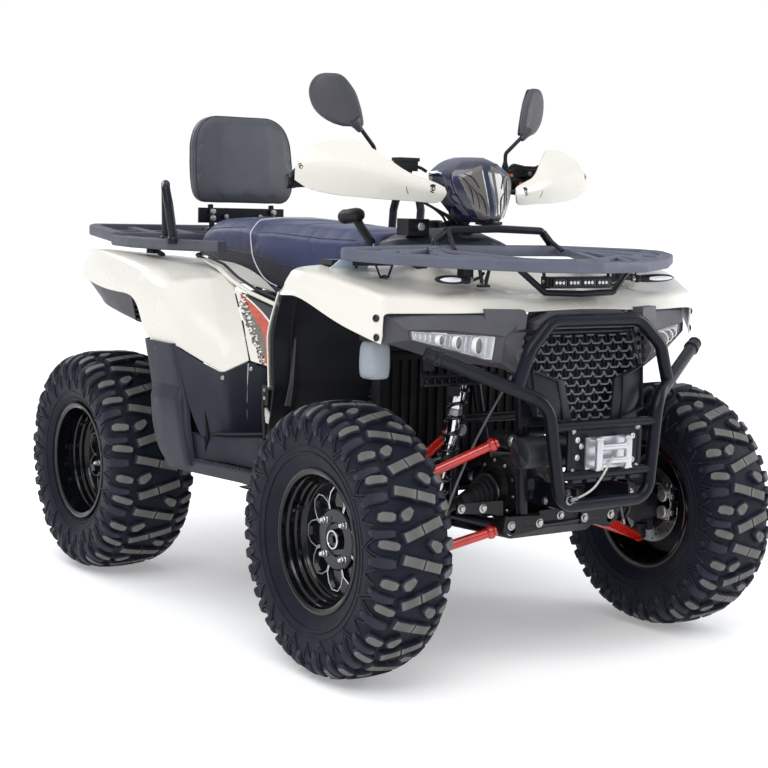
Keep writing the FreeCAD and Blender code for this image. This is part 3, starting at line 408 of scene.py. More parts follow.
def mathn(nt, op, a, b=None, clamp=False):
    n = nt.nodes.new("ShaderNodeMath")
    n.operation, n.use_clamp = op, clamp
    for i, x in enumerate((a, b)):
        if x is None:
            continue
        if isinstance(x, (int, float)):
            n.inputs[i].default_value = x
        else:
            nt.links.new(x, n.inputs[i])
    return n.outputs[0]


def mixc(nt, fac, a, b, mode="MIX"):
    n = nt.nodes.new("ShaderNodeMix")
    n.data_type, n.blend_type = "RGBA", mode
    for i, x in ((0, fac), (6, a), (7, b)):
        if isinstance(x, (int, float)):
            n.inputs[i].default_value = x
        elif isinstance(x, tuple):
            n.inputs[i].default_value = x
        else:
            nt.links.new(x, n.inputs[i])
    return n.outputs[2]


def material(name, col, dark=None, rough=(0.35, 0.45), metal=0.0, vary=12.0, grain=0.0, grain_scale=900.0, coat=0.0,
             coat_rough=0.08, edge=None, edge_highlight_amount=0.6, spec=0.5, wave=None, sheen=0.0, dist=0.00012, hollow_shade=None, hollow_shade_amount=0.5,
             cells=False):
    """One finish: colour drifting between two tones, roughness patches, fine surface grain, a painted highlight that
    lightens sharp outer edges and painted shade that darkens hollows and creases.
    """
    m = bpy.data.materials.new(name)
    m.use_nodes = True
    nt = m.node_tree
    b = nt.nodes["Principled BSDF"]
    tc = nt.nodes.new("ShaderNodeTexCoord")
    co = tc.outputs["Object"]
    dark = dark or tuple(x * 0.86 for x in col[:3]) + (1.0,)
    big = noise(nt, co, vary, 4.0, 0.6, 0.4)
    c = ramp(nt, [(0.3, dark), (0.7, col)], big)
    if edge is not None or hollow_shade is not None:
        geo = nt.nodes.new("ShaderNodeNewGeometry")
        # painted highlight: sharp outer edges (high pointiness) are mixed towards the lighter edge colour
        if edge is not None:
            e = mathn(nt, "MULTIPLY", ramp(nt, [(0.52, (0, 0, 0, 1)), (0.62, (1, 1, 1, 1))], geo.outputs["Pointiness"]), edge_highlight_amount)
            c = mixc(nt, e, c, edge)
        # painted shade: hollows and creases (low pointiness) are mixed towards the darker colour
        if hollow_shade is not None:
            e = mathn(nt, "MULTIPLY", ramp(nt, [(0.40, (1, 1, 1, 1)), (0.49, (0, 0, 0, 1))], geo.outputs["Pointiness"]), hollow_shade_amount)
            c = mixc(nt, e, c, hollow_shade)
    nt.links.new(c, b.inputs["Base Color"])
    rr = noise(nt, co, vary * 4.3, 5.0, 0.65)
    mr = nt.nodes.new("ShaderNodeMapRange")
    nt.links.new(rr, mr.inputs["Value"])
    mr.inputs["From Min"].default_value, mr.inputs["From Max"].default_value = 0.3, 0.7
    mr.inputs["To Min"].default_value, mr.inputs["To Max"].default_value = rough
    nt.links.new(mr.outputs[0], b.inputs["Roughness"])
    b.inputs["Metallic"].default_value = metal
    b.inputs["Specular IOR Level"].default_value = spec
    if coat:
        b.inputs["Coat Weight"].default_value = coat
        b.inputs["Coat Roughness"].default_value = coat_rough
    if sheen:
        b.inputs["Sheen Weight"].default_value = sheen
        b.inputs["Sheen Roughness"].default_value = 0.4
    if grain:
        if cells:
            vo = nt.nodes.new("ShaderNodeTexVoronoi")
            vo.feature = "SMOOTH_F1"
            vo.inputs["Scale"].default_value = grain_scale
            vo.inputs["Smoothness"].default_value = 0.4
            nt.links.new(co, vo.inputs["Vector"])
            gsrc = vo.outputs["Distance"]
        else:
            gsrc = noise(nt, co, grain_scale, 3.0, 0.6)
        if wave:
            w = nt.nodes.new("ShaderNodeTexWave")
            w.inputs["Scale"].default_value = wave
            nt.links.new(co, w.inputs["Vector"])
            gsrc = mathn(nt, "ADD", gsrc, mathn(nt, "MULTIPLY", w.outputs["Fac"], 0.7))
        bp = nt.nodes.new("ShaderNodeBump")
        bp.inputs["Strength"].default_value = grain
        bp.inputs["Distance"].default_value = dist
        nt.links.new(gsrc, bp.inputs["Height"])
        nt.links.new(bp.outputs[0], b.inputs["Normal"])
    return m


M = {}
M["cream"] = material("shell_cream", lin(230, 227, 217), lin(227, 224, 213), (0.26, 0.30), vary=0.6, coat=0.3, coat_rough=0.09,
                      grain=0.02, grain_scale=800.0, dist=0.0001)
M["cream_in"] = material("shell_cream_inner", lin(206, 203, 192), lin(190, 187, 176), (0.5, 0.62), vary=6.0, grain=0.1, grain_scale=700.0)
# the edge colours given below are a painted highlight along outer edges
M["dark"] = material("shell_dark", lin(42, 45, 56), lin(36, 39, 49), (0.40, 0.50), spec=0.28, vary=7.0, grain=0.35, grain_scale=1500.0,
                     dist=0.00015, edge=lin(78, 82, 94), edge_highlight_amount=0.35)
M["dark_smooth"] = material("shell_dark_smooth", lin(30, 32, 40), lin(25, 27, 34), (0.3, 0.42), spec=0.3, vary=7.0, grain=0.12, grain_scale=1300.0)
M["navy"] = material("pod_navy", lin(28, 34, 66), lin(20, 25, 52), (0.1, 0.16), vary=5.0, coat=0.9, coat_rough=0.04, grain=0.03,
                     grain_scale=400.0)
M["rack"] = material("rack_dark", lin(88, 92, 108), lin(76, 80, 95), (0.45, 0.58), vary=9.0, grain=0.4, grain_scale=1700.0,
                     dist=0.00015, edge=lin(118, 122, 138), edge_highlight_amount=0.35)
M["rack_rear"] = material("rack_dark_rear", lin(74, 77, 86), lin(63, 66, 74), (0.42, 0.55), vary=9.0, grain=0.4, grain_scale=1700.0,
                          dist=0.00015, edge=lin(108, 112, 122), edge_highlight_amount=0.35)
M["bezel"] = material("bezel_grey", lin(72, 72, 78), lin(60, 60, 66), (0.4, 0.52), vary=9.0, grain=0.4, grain_scale=1700.0,
                      dist=0.00015, edge=lin(110, 110, 114), edge_highlight_amount=0.35)
M["black"] = material("black_plastic", lin(22, 23, 27), lin(16, 17, 20), (0.38, 0.52), spec=0.3, vary=10.0, grain=0.3, grain_scale=1600.0)
M["frame"] = material("frame_paint", lin(18, 21, 32), lin(13, 15, 25), (0.26, 0.36), vary=9.0, coat=0.10, coat_rough=0.12, spec=0.17,
                      grain=0.1, grain_scale=1200.0, edge=lin(70, 72, 78), edge_highlight_amount=0.3)
# painted shade: the engine metal is darkened in its hollows
M["engine"] = material("engine_metal", lin(62, 62, 66), lin(40, 40, 43), (0.42, 0.62), metal=0.75, vary=16.0, grain=0.6,
                       grain_scale=900.0, dist=0.0003, hollow_shade=lin(20, 19, 18))
M["castblack"] = material("cast_black", lin(36, 37, 41), lin(24, 25, 28), (0.38, 0.55), metal=0.3, vary=18.0, grain=0.5,
                          grain_scale=1000.0, dist=0.0003, edge=lin(96, 98, 104), edge_highlight_amount=0.35)
M["red"] = material("arm_red", lin(214, 34, 20), lin(190, 24, 15), (0.16, 0.26), vary=6.0, coat=0.8, coat_rough=0.05, grain=0.05,
                    grain_scale=420.0, dist=0.0002)
M["rubber"] = material("tyre_rubber", lin(25, 29, 41), lin(18, 21, 31), (0.46, 0.6), spec=0.15, vary=14.0, grain=0.35, grain_scale=420.0,
                       dist=0.0004, edge=lin(66, 69, 78), edge_highlight_amount=0.5)
# lighter, slightly warm grey for the lug tops: painted light on the tops, with some dust on the rubber
M["rubber_top"] = material("tyre_lug_top", lin(92, 91, 88), lin(72, 72, 71), (0.55, 0.72), spec=0.25, vary=22.0, grain=0.45,
                           grain_scale=520.0, dist=0.0004, edge=lin(122, 121, 118), edge_highlight_amount=0.5)
M["rubber_plain"] = material("rubber_plain", lin(34, 35, 38), lin(25, 26, 29), (0.5, 0.64), vary=20.0, grain=0.3, grain_scale=900.0)
M["rim"] = material("rim_paint", lin(10, 11, 14), lin(7, 8, 10), (0.08, 0.14), vary=6.0, coat=0.12, coat_rough=0.05, grain=0.02,
                    grain_scale=300.0, spec=0.3)
M["machined"] = material("machined_metal", lin(206, 208, 212), lin(172, 174, 178), (0.2, 0.34), metal=1.0, vary=40.0, grain=0.25,
                         grain_scale=1500.0)
M["chrome"] = material("chrome", lin(232, 234, 238), lin(214, 216, 220), (0.05, 0.1), metal=1.0, vary=30.0, grain=0.02, grain_scale=600.0)
# painted shade: the cut steel is darkened in its hollows
M["steel"] = material("cut_steel", lin(150, 150, 152), lin(110, 110, 112), (0.28, 0.42), metal=0.95, vary=30.0, grain=0.3,
                      grain_scale=1400.0, hollow_shade=lin(40, 38, 36))
M["boltm"] = material("bolt_zinc", lin(188, 188, 184), lin(140, 140, 138), (0.25, 0.4), metal=0.9, vary=60.0, grain=0.2,
                      grain_scale=1500.0)
M["boltd"] = material("bolt_dark", lin(52, 54, 60), lin(30, 31, 35), (0.3, 0.44), metal=0.6, vary=60.0, grain=0.2, grain_scale=1500.0)
M["seat"] = material("seat_vinyl", lin(48, 57, 97), lin(42, 50, 88), (0.36, 0.46), spec=0.35, vary=8.0, grain=0.5, grain_scale=1100.0, dist=0.0003,
                     cells=True, sheen=0.15)
M["seat_side"] = material("seat_side_vinyl", lin(30, 32, 42), lin(24, 26, 35), (0.34, 0.46), spec=0.35, vary=8.0, grain=0.5, grain_scale=1100.0,
                          dist=0.0003, cells=True, sheen=0.1)
M["back"] = material("backrest_vinyl", lin(74, 76, 85), lin(64, 66, 74), (0.36, 0.46), vary=8.0, grain=0.5, grain_scale=1100.0,
                     dist=0.0003, cells=True, sheen=0.12)
M["piping"] = material("piping_white", lin(214, 216, 222), lin(196, 198, 205), (0.4, 0.5), vary=30.0, grain=0.2, grain_scale=900.0)
M["glass_dark"] = material("smoked_lens", lin(128, 124, 118), lin(104, 100, 96), (0.05, 0.1), vary=6.0, coat=1.0, coat_rough=0.02,
                           grain=0.02, grain_scale=300.0)
M["mirror"] = material("mirror_glass", lin(226, 230, 236), lin(216, 221, 228), (0.02, 0.05), metal=1.0, vary=8.0, grain=0.01,
                       grain_scale=200.0)
M["reflector"] = material("lamp_reflector", lin(250, 251, 252), lin(226, 230, 235), (0.3, 0.42), metal=0.0, vary=30.0, grain=0.2,
                          grain_scale=260.0, dist=0.0004)
M["led"] = material("led_chip", lin(250, 250, 250), lin(226, 232, 240), (0.1, 0.2), vary=80.0, coat=0.8, grain=0.1, grain_scale=900.0)
M["bottle"] = material("bottle_plastic", lin(190, 198, 206), lin(172, 181, 190), (0.3, 0.4), vary=20.0, grain=0.1, grain_scale=700.0)
M["brass"] = material("brass_part", lin(176, 140, 74), lin(140, 108, 56), (0.3, 0.42), metal=0.9, vary=60.0, grain=0.2, grain_scale=1200.0)
M["orange"] = material("orange_mark", lin(224, 96, 44), lin(206, 82, 36), (0.35, 0.45), vary=30.0, grain=0.1, grain_scale=900.0)
M["sky"] = material("pale_panel", lin(204, 220, 238), lin(188, 206, 228), (0.2, 0.3), vary=8.0, coat=0.6, grain=0.05, grain_scale=400.0)
M["decal_grey"] = material("decal_grey", lin(120, 116, 106), lin(104, 100, 92), (0.28, 0.38), vary=14.0, coat=0.4, grain=0.2,
                           grain_scale=700.0)
M["decal_red"] = material("decal_red", lin(196, 84, 56), lin(170, 62, 40), (0.28, 0.38), vary=14.0, coat=0.4, grain=0.1, grain_scale=700.0)
M["decal_black"] = material("decal_black", lin(30, 30, 34), lin(22, 22, 25), (0.24, 0.34), vary=14.0, coat=0.4, grain=0.1, grain_scale=700.0)
M["spring"] = material("spring_black", lin(24, 25, 29), lin(16, 17, 20), (0.2, 0.32), vary=30.0, coat=0.5, grain=0.1, grain_scale=900.0)
M["rope"] = material("wire_rope", lin(200, 198, 190), lin(150, 148, 142), (0.3, 0.45), metal=0.6, vary=120.0, grain=0.5, grain_scale=1400.0)


def clear_material(name, tint, rough, ior=1.49):
    m = bpy.data.materials.new(name)
    m.use_nodes = True
    nt = m.node_tree
    b = nt.nodes["Principled BSDF"]
    tc = nt.nodes.new("ShaderNodeTexCoord")
    n = noise(nt, tc.outputs["Object"], 18.0, 3.0)
    nt.links.new(ramp(nt, [(0.3, tuple(x * 0.96 for x in tint[:3]) + (1.0,)), (0.7, tint)], n), b.inputs["Base Color"])
    b.inputs["Transmission Weight"].default_value = 1.0
    b.inputs["Roughness"].default_value = rough
    b.inputs["IOR"].default_value = ior
    w = nt.nodes.new("ShaderNodeTexWave")
    w.wave_type, w.bands_direction = "BANDS", "X"
    w.inputs["Scale"].default_value = 30.0
    nt.links.new(tc.outputs["Object"], w.inputs["Vector"])
    bp = nt.nodes.new("ShaderNodeBump")
    bp.inputs["Strength"].default_value = 0.06
    bp.inputs["Distance"].default_value = 0.0004
    nt.links.new(w.outputs["Fac"], bp.inputs["Height"])
    nt.links.new(bp.outputs[0], b.inputs["Normal"])
    return m


M["lens"] = material("clear_lens", lin(250, 251, 252), lin(240, 243, 247), (0.03, 0.06), vary=20.0, coat=1.0, coat_rough=0.02, grain=0.02, grain_scale=300.0)
M["lens"].node_tree.nodes["Principled BSDF"].inputs["Alpha"].default_value = 0.22
M["lens_red"] = material("red_lens", lin(186, 18, 16), lin(160, 12, 12), (0.05, 0.1), vary=18.0, coat=1.0, coat_rough=0.03, grain=0.02, grain_scale=300.0)
M["lens_amber"] = M["lens"]
M["pod_glass"] = material("pod_glass", lin(104, 99, 95), lin(88, 84, 80), (0.06, 0.12), vary=5.0, coat=1.0, coat_rough=0.03, grain=0.02, grain_scale=900.0)
M["hose"] = material("hose_grey", lin(120, 122, 124), lin(98, 100, 104), (0.35, 0.5), vary=14.0, grain=0.1, grain_scale=900.0)
# SEATMASK: the seat is navy on top and turns black towards the bottom of its sides; the navy top is painted light of
# the blue sky and the black lower sides are painted shade
nt = M["seat"].node_tree
b = nt.nodes["Principled BSDF"]
old = b.inputs["Base Color"].links[0].from_socket
tc = nt.nodes.new("ShaderNodeTexCoord")
sp = nt.nodes.new("ShaderNodeSeparateXYZ")
nt.links.new(tc.outputs["Object"], sp.inputs[0])
hh = mathn(nt, "ADD", sp.outputs["Z"], mathn(nt, "MULTIPLY", mathn(nt, "SUBTRACT", 0.36, sp.outputs["Y"], clamp=True), 0.22))
mr = nt.nodes.new("ShaderNodeMapRange")
mr.interpolation_type = "SMOOTHSTEP"
mr.inputs["From Min"].default_value, mr.inputs["From Max"].default_value = 0.915, 0.985
nt.links.new(hh, mr.inputs["Value"])
nt.links.new(mixc(nt, mr.outputs[0], lin(30, 31, 38), old), b.inputs["Base Color"])
M["silver"] = material("silver_paint", lin(206, 208, 212), lin(200, 202, 206), (0.28, 0.34), metal=0.85, vary=3.0, grain=0.03, grain_scale=1200.0)
M["mesh"] = material("grille_wire", lin(92, 97, 104), lin(80, 85, 92), (0.35, 0.45), vary=12.0, grain=0.15, grain_scale=1200.0)

# ---------------------------------------------------------------- camera, lights, floor
cam_data = bpy.data.cameras.new("camera")
cam = bpy.data.objects.new("camera", cam_data)
COL.objects.link(cam)
a, e, rho = math.radians(-34.71), math.radians(6.34), math.radians(1.42)
back = Vector((math.sin(a) * math.cos(e), -math.cos(a) * math.cos(e), math.sin(e)))
right = (-back).cross(Vector((0, 0, 1))).normalized()
up = right.cross(-back)
r2 = right * math.cos(rho) + up * math.sin(rho)
u2 = right * -math.sin(rho) + up * math.cos(rho)
cam.matrix_world = Matrix(((r2.x, u2.x, back.x, -2.509), (r2.y, u2.y, back.y, -3.688), (r2.z, u2.z, back.z, 1.079), (0, 0, 0, 1)))
cam_data.sensor_fit = "HORIZONTAL"
cam_data.sensor_width = 36.0
cam_data.lens = 1627.9 * 36.0 / 768.0
cam_data.clip_start, cam_data.clip_end = 0.05, 100.0
bpy.context.scene.camera = cam

world = bpy.data.worlds.new("studio")
bpy.context.scene.world = world
world.use_nodes = True
wn = world.node_tree
bg = wn.nodes["Background"]
wtc = wn.nodes.new("ShaderNodeTexCoord")
sep = wn.nodes.new("ShaderNodeSeparateXYZ")
wn.links.new(wtc.outputs["Generated"], sep.inputs[0])
sky = ramp(wn, [(0.0, (0.9, 0.9, 0.9, 1)), (0.5, (1.26, 1.26, 1.26, 1)), (0.575, (1.26, 1.26, 1.26, 1)), (0.66, (0.42, 0.46, 0.56, 1)),
                (0.78, (0.62, 0.66, 0.76, 1)), (0.9, (1.15, 1.15, 1.15, 1)), (1.0, (1.3, 1.3, 1.3, 1))],
           mathn(wn, "ADD", mathn(wn, "MULTIPLY", sep.outputs["Z"], 0.5), 0.5))
wn.links.new(sky, bg.inputs["Color"])
bg.inputs["Strength"].default_value = 0.8


def area(name, at, to, size, power, col=(1, 1, 1)):
    d = bpy.data.lights.new(name, "AREA")
    d.shape, d.size, d.size_y, d.energy, d.color = "RECTANGLE", size[0], size[1], power, col
    o = bpy.data.objects.new(name, d)
    COL.objects.link(o)
    o.location = at
    o.rotation_mode = "QUATERNION"
    o.rotation_quaternion = (Vector(to) - Vector(at)).to_track_quat("-Z", "Y")
    return o


sun = bpy.data.lights.new("sun", "SUN")
sun.energy, sun.angle = 0.85, math.radians(40)
so = bpy.data.objects.new("sun", sun)
COL.objects.link(so)
so.rotation_mode = "QUATERNION"
so.rotation_quaternion = Vector((0.42, 0.5, -1.0)).to_track_quat("-Z", "Y")
area("key", (-3.4, -3.0, 3.6), (0, 0, 0.6), (2.2, 1.6), 34.0)
area("side_right", (3.8, -2.2, 2.2), (0, -0.3, 0.6), (1.2, 2.2), 52.0)
area("rear", (-1.0, 4.2, 3.2), (0, 0.3, 0.7), (3.0, 1.4), 50.0)

fm = bpy.data.materials.new("floor")
fm.use_nodes = True
fb = fm.node_tree.nodes["Principled BSDF"]
ft = fm.node_tree.nodes.new("ShaderNodeTexCoord")
fm.node_tree.links.new(ramp(fm.node_tree, [(0.3, (0.94, 0.94, 0.94, 1)), (0.7, (0.955, 0.955, 0.955, 1))],
                            noise(fm.node_tree, ft.outputs["Object"], 2.0)), fb.inputs["Base Color"])
fb.inputs["Roughness"].default_value = 0.7
fb.inputs["Emission Color"].default_value = (1, 1, 1, 1)
fb.inputs["Emission Strength"].default_value = 0.26
fb.inputs["Specular IOR Level"].default_value = 0.2
fme = bpy.data.meshes.new("floor")
fme.from_pydata([(-40, -40, 0), (40, -40, 0), (40, 40, 0), (-40, 40, 0)], [], [(0, 1, 2, 3)])
floor = bpy.data.objects.new("floor", fme)
fme.materials.append(fm)
COL.objects.link(floor)
floor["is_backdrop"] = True
vs = bpy.context.scene.view_settings
vs.view_transform = "Standard"
vs.look = "None"

# ---------------------------------------------------------------- CAD nodes that stay, with their finish
KEEP = {
    "frame_rails": "frame", "frame_spines": "frame", "frame_posts": "frame", "bumper": "frame", "brackets": "frame",
    "front_axle": "castblack", "rear_axle": "castblack", "knuckle_left": "castblack", "knuckle_right": "castblack",
    "handlebar": "frame", "steering_column": "frame", "hitch": "frame", "muffler": "castblack", "winch": "frame",
    "tie_rod_left": "steel", "tie_rod_right": "steel", "skid_plate": "dark_smooth", "engine_block": "engine",
    "fairlead": "machined", "front_arms": "red", "rear_arms": "red", "front_rack": "rack", "rack_slats": "rack",
    "rear_rack": "rack_rear", "grab_handles": "frame", "gear_lever": "black",
    "front_fenders": "cream", "rear_fenders": "cream", "hand_guards": "cream", "side_panels": "cream", "liners": "dark_smooth",
    "front_liners": "dark_smooth", "footwells": "dark", "headlight_bezels": "bezel", "grille": "black", "body_trim": "dark",
    "instrument_pod": "navy", "mirrors": "dark", "controls": "black", "grips": "rubber_plain", "front_lamps": "reflector",
    "tail_lights": "lens_red", "turn_signals": "black", "seat": "seat", "backrest": "back", "winch_rope": "rope",
    "front_shocks": "spring", "rear_shocks": "spring",
}
for w in ("front_left", "front_right", "rear_left", "rear_right"):
    KEEP["tyre_" + w], KEEP["rim_" + w], KEEP["hub_" + w] = "rubber", "rim", "steel"
SOFT_EDGE = {"frame_rails": 0, "frame_spines": 0}
BEVEL = {"front_rack": 3.0, "rack_slats": 2.5, "rear_rack": 3.5, "brackets": 1.2, "skid_plate": 1.0, "engine_block": 9.0,
         "gear_lever": 1.5, "hitch": 1.0, "footwells": 1.5, "body_trim": 3.0}


def finish_node(name, mat, bevel=0.0, angle=32):
    if name not in NODES:
        return
    o = NODES[name]
    o.data.materials.clear()
    o.data.materials.append(M[mat])
    for p in o.data.polygons:
        p.material_index = 0
    if bevel:
        w = o.modifiers.new("weld", "WELD")
        w.merge_threshold = 0.00003
        b = o.modifiers.new("bevel", "BEVEL")
        b.width, b.segments, b.limit_method, b.angle_limit = bevel * 0.001, 2, "ANGLE", math.radians(angle)
        b.harden_normals = True


for name, mat in KEEP.items():
    finish_node(name, mat, BEVEL.get(name, 0.0))

# ---------------------------------------------------------------- tyres and rims
RT, BEAD = 317.5, 166.0
WHEELS = {
    "front_left": (1, 500.0, -642.0, 100.5, 17.0), "front_right": (-1, 500.0, -642.0, 100.5, 17.0),
    "rear_left": (1, 477.0, 642.0, 128.5, 8.0), "rear_right": (-1, 477.0, 642.0, 128.5, 8.0),
}


class Crown:
    """The carcass outline by arc length from the middle of the tread: point (across, radius) and its outward normal."""

    def __init__(self, half):
        k = half / 100.5
        pts = [(0, 303.5), (34 * k, 302.5), (62 * k, 298.5), (80 * k, 290), (91 * k, 276), (96.5 * k, 258), (97.5 * k, 238), (95.5 * k, 216),
               (90 * k, 196), (83 * k, 181), (76 * k, 170)]
        P = rounded([(p[0], p[1], 0) for p in pts], 40, 3)
        self.p = [(q.x, q.y) for q in P]
        self.d = [0.0]
        for a, b in zip(self.p, self.p[1:]):
            self.d.append(self.d[-1] + math.hypot(b[0] - a[0], b[1] - a[1]))

    def at(self, t):
        s, t = (1 if t >= 0 else -1), abs(t)
        i = 0
        while i < len(self.d) - 2 and self.d[i + 1] < t:
            i += 1
        f = (t - self.d[i]) / max(self.d[i + 1] - self.d[i], 1e-9)
        a, b = self.p[i], self.p[i + 1]
        dx, dy = b[0] - a[0], b[1] - a[1]
        L = math.hypot(dx, dy)
        return s * (a[0] + dx * f), a[1] + dy * f, s * -dy / L, dx / L


def tyre(name, half, seed):
    cr = Crown(half)
    g = Geo()
    n_pitch = 13
    pitch = 2 * math.pi * RT / n_pitch
    k = half / 100.5

    def place(t, s, h):
        x, r, nx, nr = cr.at(t)
        a = s / RT
        rr, xx = r + nr * h, x + nx * h
        rr = min(rr, RT - 0.2)
        xx = max(-half + 0.3, min(half - 0.3, xx))
        return (xx, rr * math.cos(a), rr * math.sin(a))

    # carcass with its inner wall
    prof = [(x, r) for x, r in cr.p]
    prof = prof + [(74 * k, 161), (70 * k, 156), (62 * k, 155), (66 * k, 172), (80 * k, 200), (84 * k, 235), (74 * k, 272), (0, 288)]
    full = [(-x, r) for x, r in prof[::-1]][0:] + prof[1:]
    half_a = [(x, r) for x, r in cr.p]
    outer = [(-x, r) for x, r in half_a[::-1]][:-1] + half_a
    inner = prof[len(cr.p):]
    loop = outer + inner + [(-x, r) for x, r in inner[::-1][1:]]
    seg = 156
    verts, faces = [], []
    for j in range(seg):
        a = 2 * math.pi * j / seg
        for x, r in loop:
            verts.append((x, r * math.cos(a), r * math.sin(a)))
    K = len(loop)
    for j in range(seg):
        q = (j + 1) % seg
        for i in range(K):
            nx = (i + 1) % K
            faces.append((j * K + i, j * K + nx, q * K + nx, q * K + i))
    g.add(verts, faces, 0)

    def strip(path, wd, h, top=1, side=0, draft=2.4, step=9.0, base=-2.5, ends=None, soft=1.8):
        """A raised bar along path in (across, round) coordinates."""
        P = [Vector((p[0], p[1], 0)) for p in path]
        S, Wd = [P[0]], [wd[0] if isinstance(wd, (list, tuple)) else wd]
        for i in range(1, len(P)):
            w0 = wd[i - 1] if isinstance(wd, (list, tuple)) else wd
            w1 = wd[i] if isinstance(wd, (list, tuple)) else wd
            n = max(1, int((P[i] - P[i - 1]).length / step + 0.5))
            for j in range(1, n + 1):
                S.append(P[i - 1].lerp(P[i], j / n))
                Wd.append(w0 + (w1 - w0) * j / n)
        m = len(S)
        # (offset across the bar as a share of half width plus mm, height), and the matching pull-in at the two ends
        cross = [(1.0, draft, base, -draft), (1.0, 0.0, h - soft, 0.0), (1.0, -soft, h, soft)]
        rows, pull = [], []
        line = [(-1, draft, base), (-1, 0.0, h - soft), (-1, -soft, h), (1, -soft, h), (1, 0.0, h - soft), (1, draft, base)]
        T = []
        for i in range(m):
            a, b = S[max(i - 1, 0)], S[min(i + 1, m - 1)]
            T.append((b - a).normalized())
        grid = []
        for i in range(m):
            nrm = Vector((-T[i].y, T[i].x, 0))
            if 0 < i < m - 1:
                d0 = (S[i] - S[i - 1]).normalized()
                c = max(0.55, abs(Vector((-d0.y, d0.x, 0)).dot(nrm)))
            else:
                c = 1.0
            row = []
            for sg, ex, hh in line:
                q = S[i] + nrm * (sg * (Wd[i] / c + ex))
                row.append((q.x, q.y, hh))
            grid.append(row)
        # rings at both ends
        def end(i, sign):
            out = []
            for lvl, (ext, hh) in enumerate(((draft, base), (0.0, h - soft))):
                nrm = Vector((-T[i].y, T[i].x, 0))
                r = []
                for sg, ex, h2 in line:
                    e2 = min(ex, ext) if lvl == 0 else min(ex, 0.0)
                    e2 = ex if h2 <= hh + 1e-6 else (ext if lvl == 0 else 0.0)
                    q = S[i] + T[i] * (sign * (soft + ext)) + nrm * (sg * (Wd[i] + (draft if lvl == 0 else 0.0) * (1 if abs(sg) else 0)))
                    r.append((q.x, q.y, min(h2, hh)))
                out.append(r)
            return out
        first = end(0, -1)
        last = end(m - 1, 1)
        allrows = [first[0], first[1]] + grid + [last[1], last[0]]
        vv = [place(x, y, z) for row in allrows for x, y, z in row]
        nb = 6
        ff, mm = [], []
        for i in range(len(allrows) - 1):
            for j in range(nb - 1):
                ff.append((i * nb + j, i * nb + j + 1, (i + 1) * nb + j + 1, (i + 1) * nb + j))
                # the lug tops take the lighter lug-top material: painted light on the tops, with some dust
                inner_top = 2 <= i < len(allrows) - 3 and j == 2
                mm.append(top if inner_top else side)
        n0 = len(g.m)
        g.add(vv, ff, side, True)
        g.m[n0:] = mm

    H = 12.6
    for i in range(n_pitch):
        s0 = i * pitch
        for sg, ph in ((1, 0.0), (-1, 0.5)):
            def q(t, s):
                return (sg * t * k, s0 + (s + ph) * pitch)
            # long bar across the middle, split by the centre groove
            for a, b in (((-50, -0.105), (-1.9, -0.004)), ((1.9, 0.004), (44, 0.092))):
                strip([q(*a), q(*b)], 12.2, H)
            # rounded block beside the bar
            strip([q(-20, 0.195), q(-27, 0.23), q(-38, 0.285), q(-45, 0.31)], [8.0, 12.6, 14.6, 9.5], H - 0.6, soft=3.0)
            # sloping blocks between the bars, towards the shoulder edge
            strip([q(58, 0.215), q(64, 0.20), q(88, 0.15), q(95, 0.135)], [7.5, 11.5, 12.5, 8.5], H - 2.0, soft=2.8)
            strip([q(60, -0.215), q(66, -0.225), q(84, -0.26), q(90, -0.27)], [8.0, 12.5, 13.5, 9.0], H - 1.4, soft=2.8)
            # shoulder fingers over the edge and down the side
            strip([q(68, 0.455), q(76, 0.45), q(98, 0.43), q(116, 0.44), q(126, 0.46)], [8.5, 13.0, 13.0, 10.5, 6.5], H - 2.0, top=0, soft=3.2)
            strip([q(66, 0.015), q(74, 0.012), q(94, 0.0), q(108, -0.03), q(118, -0.06)], [7.0, 10.5, 11.5, 9.5, 6.0], H - 3.5, top=0, soft=3.0)
            # nested low ribs in V shapes on the side wall
            for apex, arm, root, wd, hh in ((150, 0.235, 100, 2.4, 4.4), (138, 0.17, 98, 2.2, 4.0)):
                strip([q(root, 0.20 - arm), q(root + 0.55 * (apex - root), 0.20 - arm * 0.55), q(apex, 0.20), q(root + 0.55 * (apex - root), 0.20 + arm * 0.5), q(root, 0.20 + arm * 0.9)], wd, hh, top=0, step=7, soft=1.0, draft=1.2)
            for apex, arm, root, wd, hh in ((144, 0.13, 110, 2.0, 3.4),):
                strip([q(root, 0.70 - arm), q(apex, 0.70), q(root, 0.70 + arm)], wd, hh, top=0, step=7, soft=1.0, draft=1.2)
    for sg in (1, -1):
        for t, wd, h in ((158 * k, 1.6, 1.6), (175 * k, 3.0, 2.4)):
            pts = [(sg * t, j * 2 * math.pi * RT / 120) for j in range(121)]
            row = []
            for j in range(120):
                for dt, hh in ((-wd - 1.4, -0.6), (-wd, h), (wd, h), (wd + 1.4, -0.6)):
                    row.append(place(pts[j][0] + dt, pts[j][1], hh))
            ff = []
            for j in range(120):
                for c in range(3):
                    a, b = j * 4 + c, ((j + 1) % 120) * 4 + c
                    ff.append((a, a + 1, b + 1, b))
            g.add(row, ff, 0, True)
    return g


